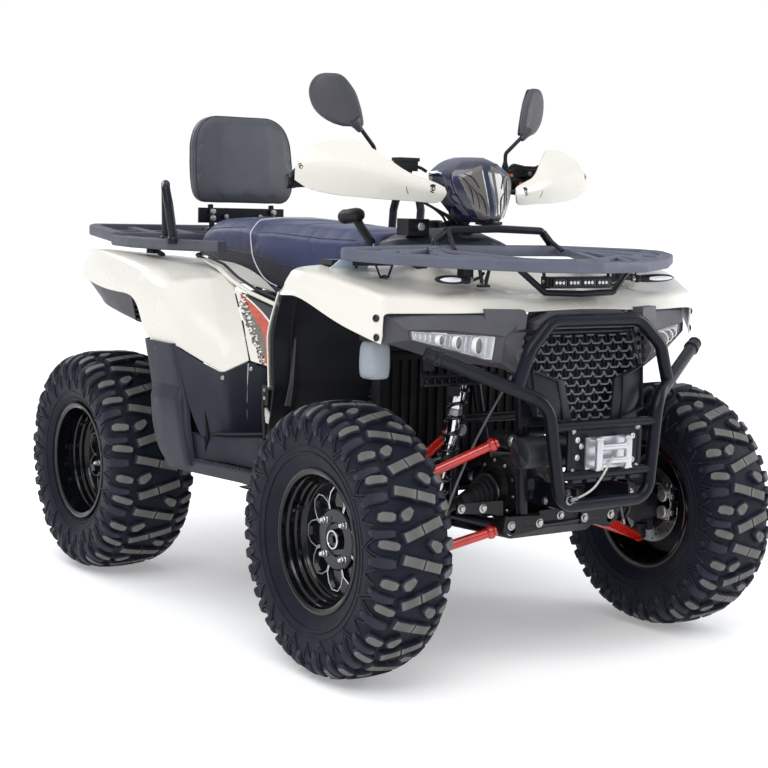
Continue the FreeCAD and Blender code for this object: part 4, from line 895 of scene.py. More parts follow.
def rim(half, dish):
    """Deep dish wheel seen from +x: stepped barrel, a disc with petals outlined by bright edges, lugs and cap.
    dish is how far the disc lies from the middle of the tyre, outwards."""
    g = Geo()
    o = half - 24.0
    # outer flange and stepped barrel down to the disc, then the inner barrel
    R = lambda pts: [(r, x) for x, r in pts]
    barrel = [(o - 2, 152.5), (o + 1.5, 160), (o + 1.0, 166), (o - 2.5, 167.5), (o - 4.5, 164.0), (o - 6.0, 157.0), (o - 12, 152.6), (dish + 44, 149.6), (dish + 40, 146.5), (dish + 26, 145.0), (dish + 22, 141.0),
              (dish + 12, 139.0), (dish + 8, 135.0), (dish + 3, 132.5), (dish - 2, 129.0)]
    MX = Matrix(((0, 0, 1, 0), (1, 0, 0, 0), (0, 1, 0, 0), (0, 0, 0, 1)))
    prof = [(r, x) for x, r in barrel if True]
    face = rounded([(r, x, 0) for r, x in prof], 2.2, 2)
    lathe(g, [(p.x, p.y) for p in face], 96, 0, MX)
    # back side
    back_prof = [(129.0, dish - 2), (131, dish - 8), (140, dish - 14), (146, -o + 40), (148, -o + 14), (153, -o + 9), (158, -o + 6), (166, -o + 3), (167, -o), (160, -o - 0.5),
                 (152.5, -o + 2), (149.8, -o + 16), (149.5, 0), (150.5, o - 14), (152.5, o - 2)]
    lathe(g, back_prof, 96, 0, MX)
    # disc plate: petals as recessed pockets between raised ribs
    n = 8
    X0, X1 = dish - 1.0, dish + 5.0     # pocket floor and rib top
    lathe(g, [(44, X0 - 3), (129.5, X0 - 3), (131.5, X0 - 9), (44, X0 - 9)], 96, 2, MX, closed=True)
    P = lambda r, a, x: (x, r * math.cos(a), r * math.sin(a))
    for i in range(n):
        c = 2 * math.pi * i / n
        hw = math.pi / n
        # outline of one petal: shared side lines from r 46 to 82, shoulders at 100, tip 113
        pet = [(50, -hw * 0.98), (88, -hw * 0.98), (108, -hw * 0.62), (120, -hw * 0.26), (120, hw * 0.26), (108, hw * 0.62), (88, hw * 0.98), (50, hw * 0.98)]
        pts = [Vector((0, r * math.cos(c + a), r * math.sin(c + a))) for r, a in pet]
        cen = Vector((0, 88 * math.cos(c), 88 * math.sin(c)))
        k = len(pts)
        ins = [p + (cen - p).normalized() * 3.0 for p in pts]
        ins2 = [p + (cen - p).normalized() * 7.5 for p in pts]
        out = [p - (cen - p).normalized() * 1.2 for p in pts]
        vv = [(X1 - 0.6, p.y, p.z) for p in out] + [(X1, p.y, p.z) for p in pts] + [(X1 - 0.2, p.y, p.z) for p in ins] + [(X0 - 2.5, p.y, p.z) for p in ins2] + [(X0 - 3, cen.y, cen.z)]
        ff, mm = [], []
        for a in range(k):
            b = (a + 1) % k
            if a == k - 1:      # the inner end lies under the hub
                continue
            ff.append((a, b, k + b, k + a)); mm.append(0)
            ff.append((k + a, k + b, 2 * k + b, 2 * k + a)); mm.append(1)
            ff.append((2 * k + a, 2 * k + b, 3 * k + b, 3 * k + a)); mm.append(0)
        for a in range(k):
            ff.append((3 * k + a, 3 * k + (a + 1) % k, 4 * k)); mm.append(0)
        n0 = len(g.m)
        g.add(vv, ff, 0, False)
        g.m[n0:] = mm
        # the field between the petal tips and the barrel
        a0, a1 = c + hw * 0.26, c + 2 * hw - hw * 0.26
        ring_in = [P(120, c + hw * 0.26, X1 - 0.6), P(108, c + hw * 0.62, X1 - 0.6), P(88, c + hw * 0.98, X1 - 0.6), P(88, c + 2 * hw - hw * 0.98, X1 - 0.6),
                   P(108, c + 2 * hw - hw * 0.62, X1 - 0.6), P(120, c + 2 * hw - hw * 0.26, X1 - 0.6)]
        ring_out = [P(130.5, a0 + (a1 - a0) * j / 5, X1 - 3.5) for j in range(6)]
        g.add(ring_in + ring_out, [(j, j + 6, j + 7, j + 1) for j in range(5)], 0, False)
        ring_t = [P(120, c - hw * 0.26, X1 - 0.6), P(120, c + hw * 0.26, X1 - 0.6), P(130.5, c + hw * 0.26, X1 - 3.5), P(130.5, c - hw * 0.26, X1 - 3.5)]
        g.add(ring_t, [(0, 3, 2, 1)], 0, False)
    lathe(g, [(130.5, X1 - 3.5), (132.5, X1 - 2), (135, dish + 6), (136, dish + 9)], 96, 0, MX)
    # hub face, small cap whose rounded rim carries a silver ring as a painted highlight, four domed nuts
    lathe(g, [(74, X0 - 3), (72, X1 - 1), (68, X1 + 1.5), (40, X1 + 2), (36, X1 - 2), (24, X1 - 3)], 64, 0, MX)
    lathe(g, [(24, X1 - 4), (24, X1 + 7), (22.5, X1 + 9.5)], 40, 0, MX)
    # silver ring on the cap's rim: painted highlight
    lathe(g, [(22.5, X1 + 9.5), (21.4, X1 + 10.6), (18.6, X1 + 10.6), (18.0, X1 + 9.8)], 40, 1, MX)
    lathe(g, [(18.0, X1 + 9.8), (15, X1 + 6), (8, X1 + 5.5), (7.5, X1 + 12), (0.01, X1 + 12.5)], 32, 0, MX)
    for j in range(4):
        a = math.pi / 4 + j * math.pi / 2
        g2 = frame_at(P(56, a, X1 + 1.5), (1, 0, 0))
        lathe(g, [(9.6, -1), (9.6, 1.6), (8.6, 3.0)], 20, 1, g2)
        bolt(g, P(56, a, X1 + 3.5), (1, 0, 0), r=8.4, h=8.0, m=1)
        lathe(g, [(7.0, 9.5), (6.4, 13.0), (4.0, 16.0), (0.01, 17.2)], 16, 1, g2)
    # valve stem
    M0 = frame_at(P(139, 0.4, dish + 16), (1, -0.35, -0.15))
    lathe(g, [(4.2, -4), (4.2, 8), (3.0, 10), (3.0, 24), (3.6, 24), (3.6, 31), (0.01, 32)], 12, 2, M0)
    return g


for w, (s, cx, cy, half, dish) in WHEELS.items():
    body = "wheel_" + w
    place_m = Matrix.Translation((s * cx, cy, 317.5)) @ Matrix.Scale(s, 4, (1, 0, 0)) @ Matrix.Rotation(0.0 if "front" in w else math.pi / 8, 4, "X")
    for kind in ("tyre", "rim"):
        src = tyre(w, half, 3) if kind == "tyre" else rim(half, dish)
        g = Geo()
        g.v = [tuple(place_m @ Vector(p)) for p in src.v]
        g.f = src.f if s > 0 else [f[::-1] for f in src.f]
        g.m, g.s = src.m, src.s
        mats = [M["rubber"], M["rubber_top"]] if kind == "tyre" else [M["rim"], M["silver"], M["rubber_plain"]]
        o = g.obj(kind + "_detail_" + w, mats, body, "tyre_rubber" if kind == "tyre" else "rim_paint", sharp=30)
        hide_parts(kind + "_" + w)

# ---------------------------------------------------------------- front shell: hood and fenders in one
half_rows = [
    [(0, -868, 852), (0, -815, 880), (0, -720, 893), (0, -640, 906), (0, -560, 927)],
    [(150, -862, 846), (150, -815, 877), (150, -720, 891), (150, -640, 906), (150, -560, 929)],
    [(300, -802, 840), (300, -780, 872), (300, -700, 888), (300, -620, 907), (300, -500, 933)],
    [(430, -748, 838), (432, -738, 874), (440, -662, 893), (455, -585, 915), (440, -472, 935)],
    [(473, -740, 838), (477, -734, 876), (507, -668, 897), (562, -554, 926), (546, -478, 927)],
    [(474, -738, 806), (486, -728, 838), (524, -655, 860), (577, -553, 899), (563, -466, 893)],
    [(473, -736, 786), (486, -722, 804), (528, -650, 830), (570, -547, 878), (562, -460, 876)],
    [(477, -736, 770), (494, -716, 780), (536, -650, 812), (576, -542, 869), (569, -452, 864)],
]
full = [[(-p[0], p[1], p[2]) for p in row] for row in half_rows[:0:-1]] + half_rows
ru_half = [0.45, 0.45, 0.4, 0.3, 0.34, 0.4, 0.35]      # rows 0..6, from the middle outwards
ru = ru_half[6:0:-1] + ru_half
g = Geo()


def hood_bend(u, v, p, n):
    """Soft raised spine along the hood and a shallow valley beside it; the front edge stays put."""
    ax = abs(p[0])
    k = max(0.0, min(1.0, (v - 1.0) / 0.8))
    return n * (4.0 * math.exp(-((ax - 235) / 60.0) ** 2) - 4.0 * math.exp(-((ax - 120) / 55.0) ** 2)) * k * (1 if n[2] > 0 else -1)


S, U, Vv = patch(full, ru, [0.28, 0.4, 0.4], resu=3, resv=4, arc=5, bend=hood_bend)
closed_patch(g, S, 0, flip=False, thick=4.0, m2=1)
# rear legs of the front fenders
for s in (1, -1):
    leg = [[(569, -452, 868), (566, -418, 812), (562, -392, 764), (556, -388, 700), (552, -386, 640)],
           [(556, -436, 866), (553, -404, 812), (549, -380, 764), (543, -376, 700), (540, -374, 640)],
           [(470, -330, 884), (466, -310, 820), (462, -292, 764), (456, -290, 690), (452, -290, 628)]]
    L, U2, V2 = patch(leg, [0.3], [0.4, 0.35, 0.3], 3, 3, 4)
    closed_patch(g, L, 0, flip=False, s=s, thick=3.5, m2=1)
o = g.obj("front_shell", [M["cream"], M["dark_smooth"]], "root", "shell_cream", sharp=50)
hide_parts("front_fenders")

# liners behind the front wheels and under the tail
g = Geo()
for s in (1, -1):
    lin_rows = [
        [(558, -452, 866), (553, -420, 815), (549, -394, 764), (546, -390, 700), (541, -390, 640), (530, -360, 575), (520, -330, 520)],
        [(500, -422, 866), (492, -398, 815), (486, -376, 764), (482, -372, 700), (478, -372, 640), (470, -345, 575), (466, -318, 520)],
        [(488, -398, 866), (478, -376, 815), (466, -352, 764), (458, -348, 700), (452, -346, 640), (446, -325, 575), (440, -300, 520)],
        [(420, -385, 864), (410, -372, 815), (404, -356, 764), (400, -350, 700), (398, -346, 640), (398, -325, 570), (398, -303, 500)],
        [(250, -398, 852), (244, -378, 800), (240, -360, 764), (236, -354, 700), (233, -350, 640), (232, -325, 570), (232, -300, 500)]]
    L, U2, V2 = patch(lin_rows, [0.15, 0.15, 0.3], [0.4, 0.4, 0.4, 0.35, 0.3], 2, 2, 4)
    closed_patch(g, L, 0, flip=False, s=s, thick=3.5)
    tail = [[(452, 866, 832), (480, 790, 828), (494, 700, 826), (500, 590, 824), (500, 480, 822)],
            [(444, 830, 812), (470, 765, 800), (484, 690, 790), (488, 585, 784), (488, 480, 780)],
            [(436, 796, 796), (460, 745, 780), (474, 690, 762), (478, 585, 744), (478, 480, 728)],
            [(330, 796, 788), (332, 745, 772), (334, 690, 754), (336, 585, 736), (338, 480, 720)]]
    L, U2, V2 = patch(tail, [0.3, 0.18], [0.35, 0.35, 0.3], 3, 3, 4)
    closed_patch(g, L, 0, flip=True, s=s, thick=3.5)
    # ribs pressed into the tail panel
    for k in range(4):
        y = 540 + k * 62
        tube(g, [(340 * s, y, 735 + k * 11), (420 * s, y, 737 + k * 11), (462 * s, y, 741 + k * 11)], 4.0, 8, 0)
o = g.obj("liner_panels", [M["dark_smooth"]], "root", "shell_dark", sharp=45)
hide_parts("liners")

# ---------------------------------------------------------------- rear fenders and side panels, one shell each side
cols = [
    [(215, 900, 893), (330, 922, 905), (440, 872, 925), (449, 893, 893), (452, 897, 864)],
    [(215, 760, 903), (330, 765, 916), (466, 745, 928), (486, 800, 884), (478, 848, 838)],
    [(215, 560, 905), (330, 560, 915), (498, 505, 912), (527, 560, 866), (533, 575, 819)],
    [(215, 400, 900), (330, 400, 908), (516, 350, 893), (542, 360, 855), (550, 345, 816)],
    [(215, 340, 892), (330, 338, 902), (523, 268, 874), (553, 312, 800), (554, 262, 702)],
    [(215, 290, 882), (330, 295, 896), (526, 210, 858), (545, 135, 792), (549, 108, 700)],
    [(215, 250, 870), (330, 262, 890), (490, 165, 862), (508, 60, 758), (523, 22, 668)],
    [(215, 210, 855), (330, 222, 882), (430, 148, 866), (466, 18, 750), (494, -54, 640)],
    [(215, 160, 832), (325, 165, 862), (368, 120, 840), (405, 8, 762), (441, -92, 673)],
]
g = Geo()
for s in (1, -1):
    grid = [list(c) for c in cols]

    def rear_bend(u, v, p, n):
        """The flank of the tail is hollowed a little."""
        if u < 3.4 and 2.1 < v < 4.0:
            w = math.sin(math.pi * min(1.0, (v - 2.1) / 1.5)) * min(1.0, (3.4 - u) / 0.6)
            return np.array([-5.0 * w, 0, 0])
        return np.array([0.0, 0, 0])

    S, U, Vv = patch(grid, [0.4, 0.4, 0.35, 0.3, 0.32, 0.3, 0.1], [0.4, 0.3, 0.4], 3, 3, 5, bend=rear_bend)
    closed_patch(g, S, 0, flip=False, s=s, thick=4.0, m2=1)
o = g.obj("rear_shells", [M["cream"], M["dark_smooth"]], "root", "shell_cream", sharp=50)
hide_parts("rear_fenders", "side_panels")

# ---------------------------------------------------------------- side graphic panel between the rear shell and the foot guard
gm = bpy.data.materials.new("side_graphic")
gm.use_nodes = True
nt = gm.node_tree
b = nt.nodes["Principled BSDF"]
tc = nt.nodes.new("ShaderNodeTexCoord")
sp = nt.nodes.new("ShaderNodeSeparateXYZ")
nt.links.new(tc.outputs["Object"], sp.inputs[0])
Y, Z = sp.outputs["Y"], sp.outputs["Z"]
n1 = noise(nt, tc.outputs["Object"], 60.0, 4.0, 0.6)
n2 = noise(nt, tc.outputs["Object"], 110.0, 3.0, 0.7)
u = mathn(nt, "SUBTRACT", Z, 0.680)
curve = mathn(nt, "ADD", mathn(nt, "SUBTRACT", mathn(nt, "MULTIPLY", mathn(nt, "MULTIPLY", u, u), 4.4), 0.124), mathn(nt, "MULTIPLY", u, 0.864))
d = mathn(nt, "SUBTRACT", Y, curve)
half = mathn(nt, "ADD", mathn(nt, "MULTIPLY", mathn(nt, "SUBTRACT", 1.0, mathn(nt, "MULTIPLY", mathn(nt, "ABSOLUTE", mathn(nt, "SUBTRACT", Z, 0.762)), 14.0), clamp=True), 0.006), 0.0045)
left = mathn(nt, "ADD", mathn(nt, "SUBTRACT", Y, mathn(nt, "SUBTRACT", mathn(nt, "MULTIPLY", Z, 1.37), 1.037)), mathn(nt, "MULTIPLY", mathn(nt, "SUBTRACT", n1, 0.5), 0.022))
base = ramp(nt, [(0.35, lin(96, 90, 84)), (0.65, lin(118, 111, 102))], noise(nt, tc.outputs["Object"], 24.0))
red = ramp(nt, [(0.35, lin(176, 66, 48)), (0.65, lin(206, 84, 58))], noise(nt, tc.outputs["Object"], 30.0))
c1 = mixc(nt, mathn(nt, "LESS_THAN", mathn(nt, "ABSOLUTE", d), half), base, red)
front_d = mathn(nt, "SUBTRACT", mathn(nt, "MULTIPLY", d, -1.0), half)
c1 = mixc(nt, mathn(nt, "GREATER_THAN", front_d, 0.0), c1, lin(232, 229, 220))
c1 = mixc(nt, mathn(nt, "GREATER_THAN", front_d, 0.004), c1, lin(30, 30, 34))
rim_d = mathn(nt, "ABSOLUTE", mathn(nt, "ADD", left, 0.005))
near = mathn(nt, "LESS_THAN", rim_d, 0.007)
c2 = mixc(nt, mathn(nt, "MULTIPLY", near, mathn(nt, "GREATER_THAN", n2, 0.55)), c1, lin(34, 33, 34))
c3 = mixc(nt, mathn(nt, "MULTIPLY", near, mathn(nt, "LESS_THAN", n2, 0.45)), c2, lin(238, 236, 228))
c4 = mixc(nt, mathn(nt, "GREATER_THAN", left, 0.0), c3, lin(232, 229, 219))
nt.links.new(c4, b.inputs["Base Color"])
rr = nt.nodes.new("ShaderNodeMapRange")
nt.links.new(n1, rr.inputs["Value"])
rr.inputs["To Min"].default_value, rr.inputs["To Max"].default_value = 0.22, 0.36
nt.links.new(rr.outputs[0], b.inputs["Roughness"])
b.inputs["Coat Weight"].default_value = 0.4
g = Geo()
for s in (1, -1):
    panel = [[(368, 122, 836), (388, 62, 798), (405, 8, 758), (424, -42, 714), (441, -94, 670)],
             [(340, 70, 822), (362, 18, 784), (384, -36, 742), (404, -88, 702), (424, -136, 662)],
             [(312, 10, 806), (330, -40, 768), (350, -92, 728), (372, -140, 690), (396, -186, 652)]]
    L, U2, V2 = patch(panel, [0.4], [0.35, 0.35, 0.35], 4, 3, 4)
    L = L + np.array([-7.0, 0, 0])
    closed_patch(g, L, 0, flip=True, s=s, thick=3.0)
g.obj("side_graphics", [gm], "root", "shell_cream", sharp=50)
# cream strip and dark rubber strip under the seat's side
g = Geo()
for s in (1, -1):
    for off, wdt, m, lift in ((0, 9.0, 0, 0.0), (16, 5.5, 1, -6.0)):
        pts = [(338 - off * 0.6, 330, 906 + off), (352 - off, 230, 892 + off), (356 - off, 150, 862 + off), (338 - off, 80, 832 + off), (308 - off, 0, 806 + off * 1.1), (285 - off, -80, 790 + off * 1.2), (262 - off, -150, 782 + off)]
        tube(g, [(p[0] * s, p[1], p[2] + lift) for p in pts], wdt, 10, m, rad=60, n=4, flat=0.55)
g.obj("seat_trim_strips", [M["cream"], M["rubber_plain"]], "root", "shell_cream", sharp=40)

# ---------------------------------------------------------------- foot guards and boards
g = Geo()
for s in (1, -1):
    # rear band: outer face, its folded edge and the lower bulge
    band = [[(540, 268, 704), (541, 230, 620), (541, 212, 560), (541, 200, 489), (538, 166, 420), (530, 120, 384)],
            [(557, 262, 702), (558, 228, 620), (558, 208, 560), (558, 196, 489), (556, 162, 420), (550, 104, 380)],
            [(556, 190, 701), (557, 168, 620), (559, 150, 540), (557, 138, 480), (555, 120, 424), (549, 80, 384)],
            [(552, 112, 700), (548, 84, 620), (546, 58, 552), (552, 40, 500), (550, 28, 440), (545, 20, 392)],
            [(538, 108, 699), (534, 80, 620), (532, 54, 552), (538, 36, 500), (536, 24, 440), (531, 16, 392)]]
    L, U2, V2 = patch(band, [0.35, 0.3, 0.3], [0.3, 0.22, 0.25, 0.3], 2, 3, 4)
    closed_patch(g, L, 0, flip=True, s=s, thick=4.0)
    # main face, front of the slot
    face = [[(549, 100, 694), (543, 72, 620), (538, 44, 552), (530, 18, 500), (522, 2, 470)],
            [(524, 22, 664), (514, 4, 610), (504, -14, 552), (492, -26, 500), (486, -30, 470)],
            [(494, -56, 637), (482, -48, 590), (470, -42, 545), (460, -40, 500), (456, -40, 470)],
            [(442, -93, 668), (432, -72, 600), (424, -58, 550), (418, -50, 500), (415, -48, 470)],
            [(396, -120, 652), (388, -96, 600), (380, -78, 550), (374, -66, 500), (372, -62, 470)],
            [(300, -130, 650), (298, -110, 600), (296, -90, 550), (294, -78, 500), (293, -72, 470)]]
    L, U2, V2 = patch(face, [0.3, 0.16, 0.2, 0.25], [0.35, 0.35, 0.35], 3, 3, 4)
    closed_patch(g, L, 0, flip=True, s=s, thick=4.0)
    # lower half of the rear band stands out, with a sloping shoulder
    low = [[(541, 232, 590), (549, 226, 560), (549, 208, 500), (548, 176, 424), (538, 126, 384)],
           [(558, 200, 590), (568, 196, 556), (567, 190, 490), (566, 156, 424), (558, 104, 380)],
           [(559, 158, 590), (570, 150, 556), (568, 130, 484), (565, 116, 426), (557, 78, 384)],
           [(548, 76, 588), (560, 66, 556), (562, 46, 500), (560, 30, 440), (553, 20, 392)],
           [(534, 72, 588), (540, 60, 556), (542, 42, 500), (540, 26, 440), (533, 16, 392)]]
    L, U2, V2 = patch(low, [0.2, 0.2, 0.2], [0.1, 0.25, 0.3], 2, 3, 4)
    closed_patch(g, L, 0, flip=True, s=s, thick=4.0)
    # dark wall behind the slot
    prism(g, [(516 * s, y, z) for y, z in ((150, 702), (40, 690), (-20, 470), (0, 400), (110, 400))], (-5 * s, 0, 0), 1)
    # box of the step: shelf, its front face and the lower lip
    step = [[(530, 60, 474), (486, -30, 476), (456, -60, 478), (440, -170, 490), (300, -170, 490)],
            [(552, 88, 470), (508, -20, 470), (480, -64, 472), (462, -196, 484), (300, -196, 484)],
            [(553, 92, 456), (510, -20, 456), (482, -66, 458), (464, -200, 470), (300, -200, 470)],
            [(552, 90, 410), (512, -20, 408), (486, -70, 408), (470, -206, 410), (300, -206, 410)]]
    L, U2, V2 = patch(step, [0.3, 0.3], [0.3, 0.3, 0.12], 2, 2, 3)
    closed_patch(g, L, 0, flip=True, s=s, thick=4.0)
    # board with its raised rim
    outline = [(553, 92), (500, -236), (182, -236), (182, 198), (520, 188), (552, 150)]
    prism(g, [(x * s, y, 374) for x, y in outline], (0, 0, 24))
    rim_pts = [(x * s, y, 399) for x, y in ((548, 92), (496, -231), (186, -231))]
    tube(g, rim_pts, 6.0, 10, 0, rad=14)
o = g.obj("foot_guards", [M["dark"], M["black"]], "root", "shell_dark", sharp=40, bevel=1.4, angle=50)
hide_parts("footwells")
# rubber tread ribs, saw-tooth grip edge and bar on the board
g = Geo()
for s in (1, -1):
    for k in range(13):
        y = -214 + k * 23
        x1 = 488 + (y + 236) * 0.155
        block(g, (min(205 * s, (x1 - 12) * s), y - 5, 398), (max(205 * s, (x1 - 12) * s), y + 5, 404))
    for k in range(26):
        y = -226 + k * 12
        x = 494 + (y + 236) * 0.16
        g.add([(x * s, y - 5, 400), (x * s, y + 5, 400), ((x + 7) * s, y, 412), ((x - 6) * s, y - 5, 400), ((x - 6) * s, y + 5, 400), ((x + 1) * s, y, 412)],
              [(0, 1, 2), (5, 4, 3), (0, 2, 5, 3), (1, 4, 5, 2), (0, 3, 4, 1)] if s > 0 else [(2, 1, 0), (3, 4, 5), (3, 5, 2, 0), (2, 5, 4, 1), (1, 4, 3, 0)], 1, False)
    for dz in (0, 9):
        tube(g, [(330 * s, -180 - dz, 492 + 4), (446 * s, -178 - dz, 494), (480 * s, -60, 480), (520 * s, 10, 476)], 3.4, 8, 0, rad=20)
    for y in (-150, -60, 30, 120):
        tube(g, [(182 * s, y, 386), (262 * s, y, 386)], 9, 10, 1)
g.obj("foot_board_grip", [M["rubber_plain"], M["steel"]], "root", "shell_dark", sharp=30)

# bolts, a white line painted as the highlight along the bend of the guard's face, and the stay at the foot of the front
# leg
g = Geo()
for s in (1, -1):
    for p, d in (((557, 198, 681), (1, 0, 0)), ((531, 44, 655), (0.93, -0.36, 0)), ((495, -57, 626), (0.9, -0.44, 0)), ((435, -98, 650), (0.5, -0.86, 0))):
        bolt(g, (p[0] * s, p[1], p[2]), (d[0] * s, d[1], d[2]), 6.4, 3.6, 0, kind="button")
    # white line along the bend of the face: painted highlight
    tube(g, [(x * s, y - 2, z) for x, y, z in ((443, -94, 664), (433, -73, 600), (425, -59, 550), (419, -51, 502))], 1.5, 6, 1)
    tube(g, [(452 * s, -288, 626), (452 * s, -205, 612), (452 * s, -192, 570), (448 * s, -196, 486)], 6.5, 12, 2, rad=16)
    prism(g, [(447 * s, -186, 620), (447 * s, -218, 618), (447 * s, -216, 570), (447 * s, -188, 570)], (8 * s, 0, 0), 2)
    for z in (608, 588):
        bolt(g, (455 * s, -203, z), (s, 0, 0), 5.0, 3.4, 0)
    prism(g, [(447 * s, -194, 566), (447 * s, -264, 520), (447 * s, -204, 526)], (6 * s, 0, 0), 3)
g.obj("guard_bolts", [M["boltm"], M["piping"], M["black"], M["cream_in"]], "root", "shell_dark", sharp=40)

# tapered strip in lighter grey along the crease of the front liner: a painted highlight on the crease
g = Geo()
for s in (1, -1):
    pts = [[(476, -381, 752), (479, -381, 752)], [(480, -383, 700), (486, -384, 700)], [(483, -383, 640), (494, -384, 640)], [(484, -374, 590), (499, -374, 590)]]
    for (a, b), (c, d) in zip(pts, pts[1:]):
        q = [(a[0] * s, a[1], a[2]), (b[0] * s, b[1], b[2]), (d[0] * s, d[1], d[2]), (c[0] * s, c[1], c[2])]
        q2 = [(p[0], p[1] + 5, p[2]) for p in q]
        g.add(q + q2, [(0, 1, 2, 3), (7, 6, 5, 4), (0, 4, 5, 1), (1, 5, 6, 2), (2, 6, 7, 3), (3, 7, 4, 0)], 0, False)
o = g.obj("crease_highlight_strips", [M["bezel"]], "root", "shell_dark", sharp=30)
fix_n = bmesh.new(); fix_n.from_mesh(o.data); bmesh.ops.recalc_face_normals(fix_n, faces=fix_n.faces); fix_n.to_mesh(o.data); fix_n.free()

# ---------------------------------------------------------------- helpers for bands, lofts and pads
def band(g, pts, prof, m=0, closed=False, rad=0, n=5, caps=True):
    """Sweeps a cross-section of (across, up) points along a path, keeping it upright."""
    P = rounded(pts, rad, n, closed) if rad else [Vector(p) for p in pts]
    P = [Vector(p) for p in P]
    k, c = len(prof), len(P)
    verts, faces = [], []
    for i in range(c):
        a = P[(i - 1) % c] if (closed or i > 0) else P[i]
        b = P[(i + 1) % c] if (closed or i < c - 1) else P[i]
        t0, t1 = (P[i] - a), (b - P[i])
        t0 = t0.normalized() if t0.length > 1e-6 else t1.normalized()
        t1 = t1.normalized() if t1.length > 1e-6 else t0
        t = (t0 + t1).normalized()
        side = Vector((-t.y, t.x, 0)).normalized()
        f = 1.0 / max(0.6, Vector((t0.x, t0.y, 0)).normalized().dot(Vector((t.x, t.y, 0)).normalized()))
        for x, z in prof:
            verts.append(tuple(P[i] + side * (x * f) + Vector((0, 0, z))))
    for i in range(c if closed else c - 1):
        j = (i + 1) % c
        for q in range(k):
            r = (q + 1) % k
            faces.append((i * k + q, i * k + r, j * k + r, j * k + q))
    if not closed and caps:
        faces.append(tuple(range(k))[::-1])
        faces.append(tuple((c - 1) * k + q for q in range(k)))
    g.add(verts, faces, m)


def rail_prof(w, h, r=4.0, scoop=0.0):
    """Rounded bar section, with a shallow hollow along its top where scoop is set."""
    a = w / 2
    top = [(-a + r, h), (-a + r + 4, h - scoop * 0.4), (0, h - scoop), (a - r - 4, h - scoop * 0.4), (a - r, h)] if scoop else [(-a + r, h), (a - r, h)]
    out = [(-a, r), (-a + r * 0.3, r * 0.3), (-a + r, 0), (a - r, 0), (a - r * 0.3, r * 0.3), (a, r), (a, h - r), (a - r * 0.3, h - r * 0.3)] + top[::-1] + [(-a + r * 0.3, h - r * 0.3), (-a, h - r)]
    return out


def loft(g, rings, m=0, caps=True, sub=3, ends=True):
    """Skins rings of equal count with a smooth spline from ring to ring."""
    R = [[Vector(p) for p in r] for r in rings]
    n = len(R[0])
    rows = []
    for i in range(len(R) - 1):
        a, b = R[max(i - 1, 0)], R[i]
        c, d = R[i + 1], R[min(i + 2, len(R) - 1)]
        for s in range(sub):
            t = s / sub
            row = []
            for j in range(n):
                p0, p1, p2, p3 = a[j], b[j], c[j], d[j]
                row.append(0.5 * ((2 * p1) + (p2 - p0) * t + (2 * p0 - 5 * p1 + 4 * p2 - p3) * t * t + (3 * p1 - p0 - 3 * p2 + p3) * t ** 3))
            rows.append(row)
    rows.append(R[-1])
    verts = [tuple(p) for row in rows for p in row]
    faces = []
    for i in range(len(rows) - 1):
        for j in range(n):
            k = (j + 1) % n
            faces.append((i * n + j, i * n + k, (i + 1) * n + k, (i + 1) * n + j))
    if caps:
        for base, rev in ((0, True), ((len(rows) - 1) * n, False)):
            cen = sum((Vector(verts[base + j]) for j in range(n)), Vector()) / n
            inner = [tuple(cen + (Vector(verts[base + j]) - cen) * 0.55) for j in range(n)]
            k0 = len(verts)
            verts += inner + [tuple(cen)]
            for j in range(n):
                k = (j + 1) % n
                q = (base + j, base + k, k0 + k, k0 + j)
                t3 = (k0 + j, k0 + k, k0 + n)
                faces.append(q[::-1] if rev is False else q)
                faces.append(t3[::-1] if rev is False else t3)
    g.add(verts, faces, m)


def fix_normals(o):
    bm = bmesh.new()
    bm.from_mesh(o.data)
    bmesh.ops.recalc_face_normals(bm, faces=bm.faces)
    bm.to_mesh(o.data)
    bm.free()


def inflate(o, voxel, cap, mask, pressure=4.0, frames=20):
    """Blows the closed mesh up a little as tensioned cloth, keeps each point within cap of where it was, and applies that."""
    me = o.data
    m = o.modifiers.new("remesh", "REMESH")
    m.mode, m.voxel_size, m.use_smooth_shade = "VOXEL", voxel * 0.001, True
    while o.modifiers[0].type != "REMESH":
        bpy.context.view_layer.update()
        with bpy.context.temp_override(object=o):
            bpy.ops.object.modifier_move_up(modifier="remesh")
    for other in [x for x in o.modifiers if x.type != "REMESH"]:
        o.modifiers.remove(other)
    dg = bpy.context.evaluated_depsgraph_get()
    new = bpy.data.meshes.new_from_object(o.evaluated_get(dg))
    o.modifiers.clear()
    o.data = new
    start = np.zeros(len(new.vertices) * 3)
    new.vertices.foreach_get("co", start)
    start = start.reshape(-1, 3)
    c = o.modifiers.new("cloth", "CLOTH")
    st = c.settings
    st.quality = 5
    st.mass = 0.3
    st.use_pressure = True
    st.uniform_pressure_force = pressure
    st.effector_weights.gravity = 0.0
    st.tension_stiffness = st.compression_stiffness = 12.0
    st.bending_stiffness = 1.0
    c.point_cache.frame_start, c.point_cache.frame_end = 1, frames
    sc = bpy.context.scene
    for f in range(1, frames + 1):
        sc.frame_set(f)
    dg = bpy.context.evaluated_depsgraph_get()
    ev = o.evaluated_get(dg).to_mesh()
    end = np.zeros(len(ev.vertices) * 3)
    ev.vertices.foreach_get("co", end)
    end = end.reshape(-1, 3)
    o.evaluated_get(dg).to_mesh_clear()
    o.modifiers.clear()
    sc.frame_set(1)
    d = end - start
    L = np.linalg.norm(d, axis=1)
    k = np.minimum(1.0, cap * 0.001 / np.maximum(L, 1e-9))
    w = np.array([mask(p * 1000.0) for p in start])
    end = start + d * (k * w)[:, None]
    new.vertices.foreach_set("co", end.ravel())
    new.update()
    s = o.modifiers.new("subdivision", "SUBSURF")
    s.levels = s.render_levels = 1
    dg = bpy.context.evaluated_depsgraph_get()
    fin = bpy.data.meshes.new_from_object(o.evaluated_get(dg))
    o.modifiers.clear()
    o.data = fin
    for p in fin.polygons:
        p.use_smooth = True
    print("pad", o.name, len(fin.vertices), "points")


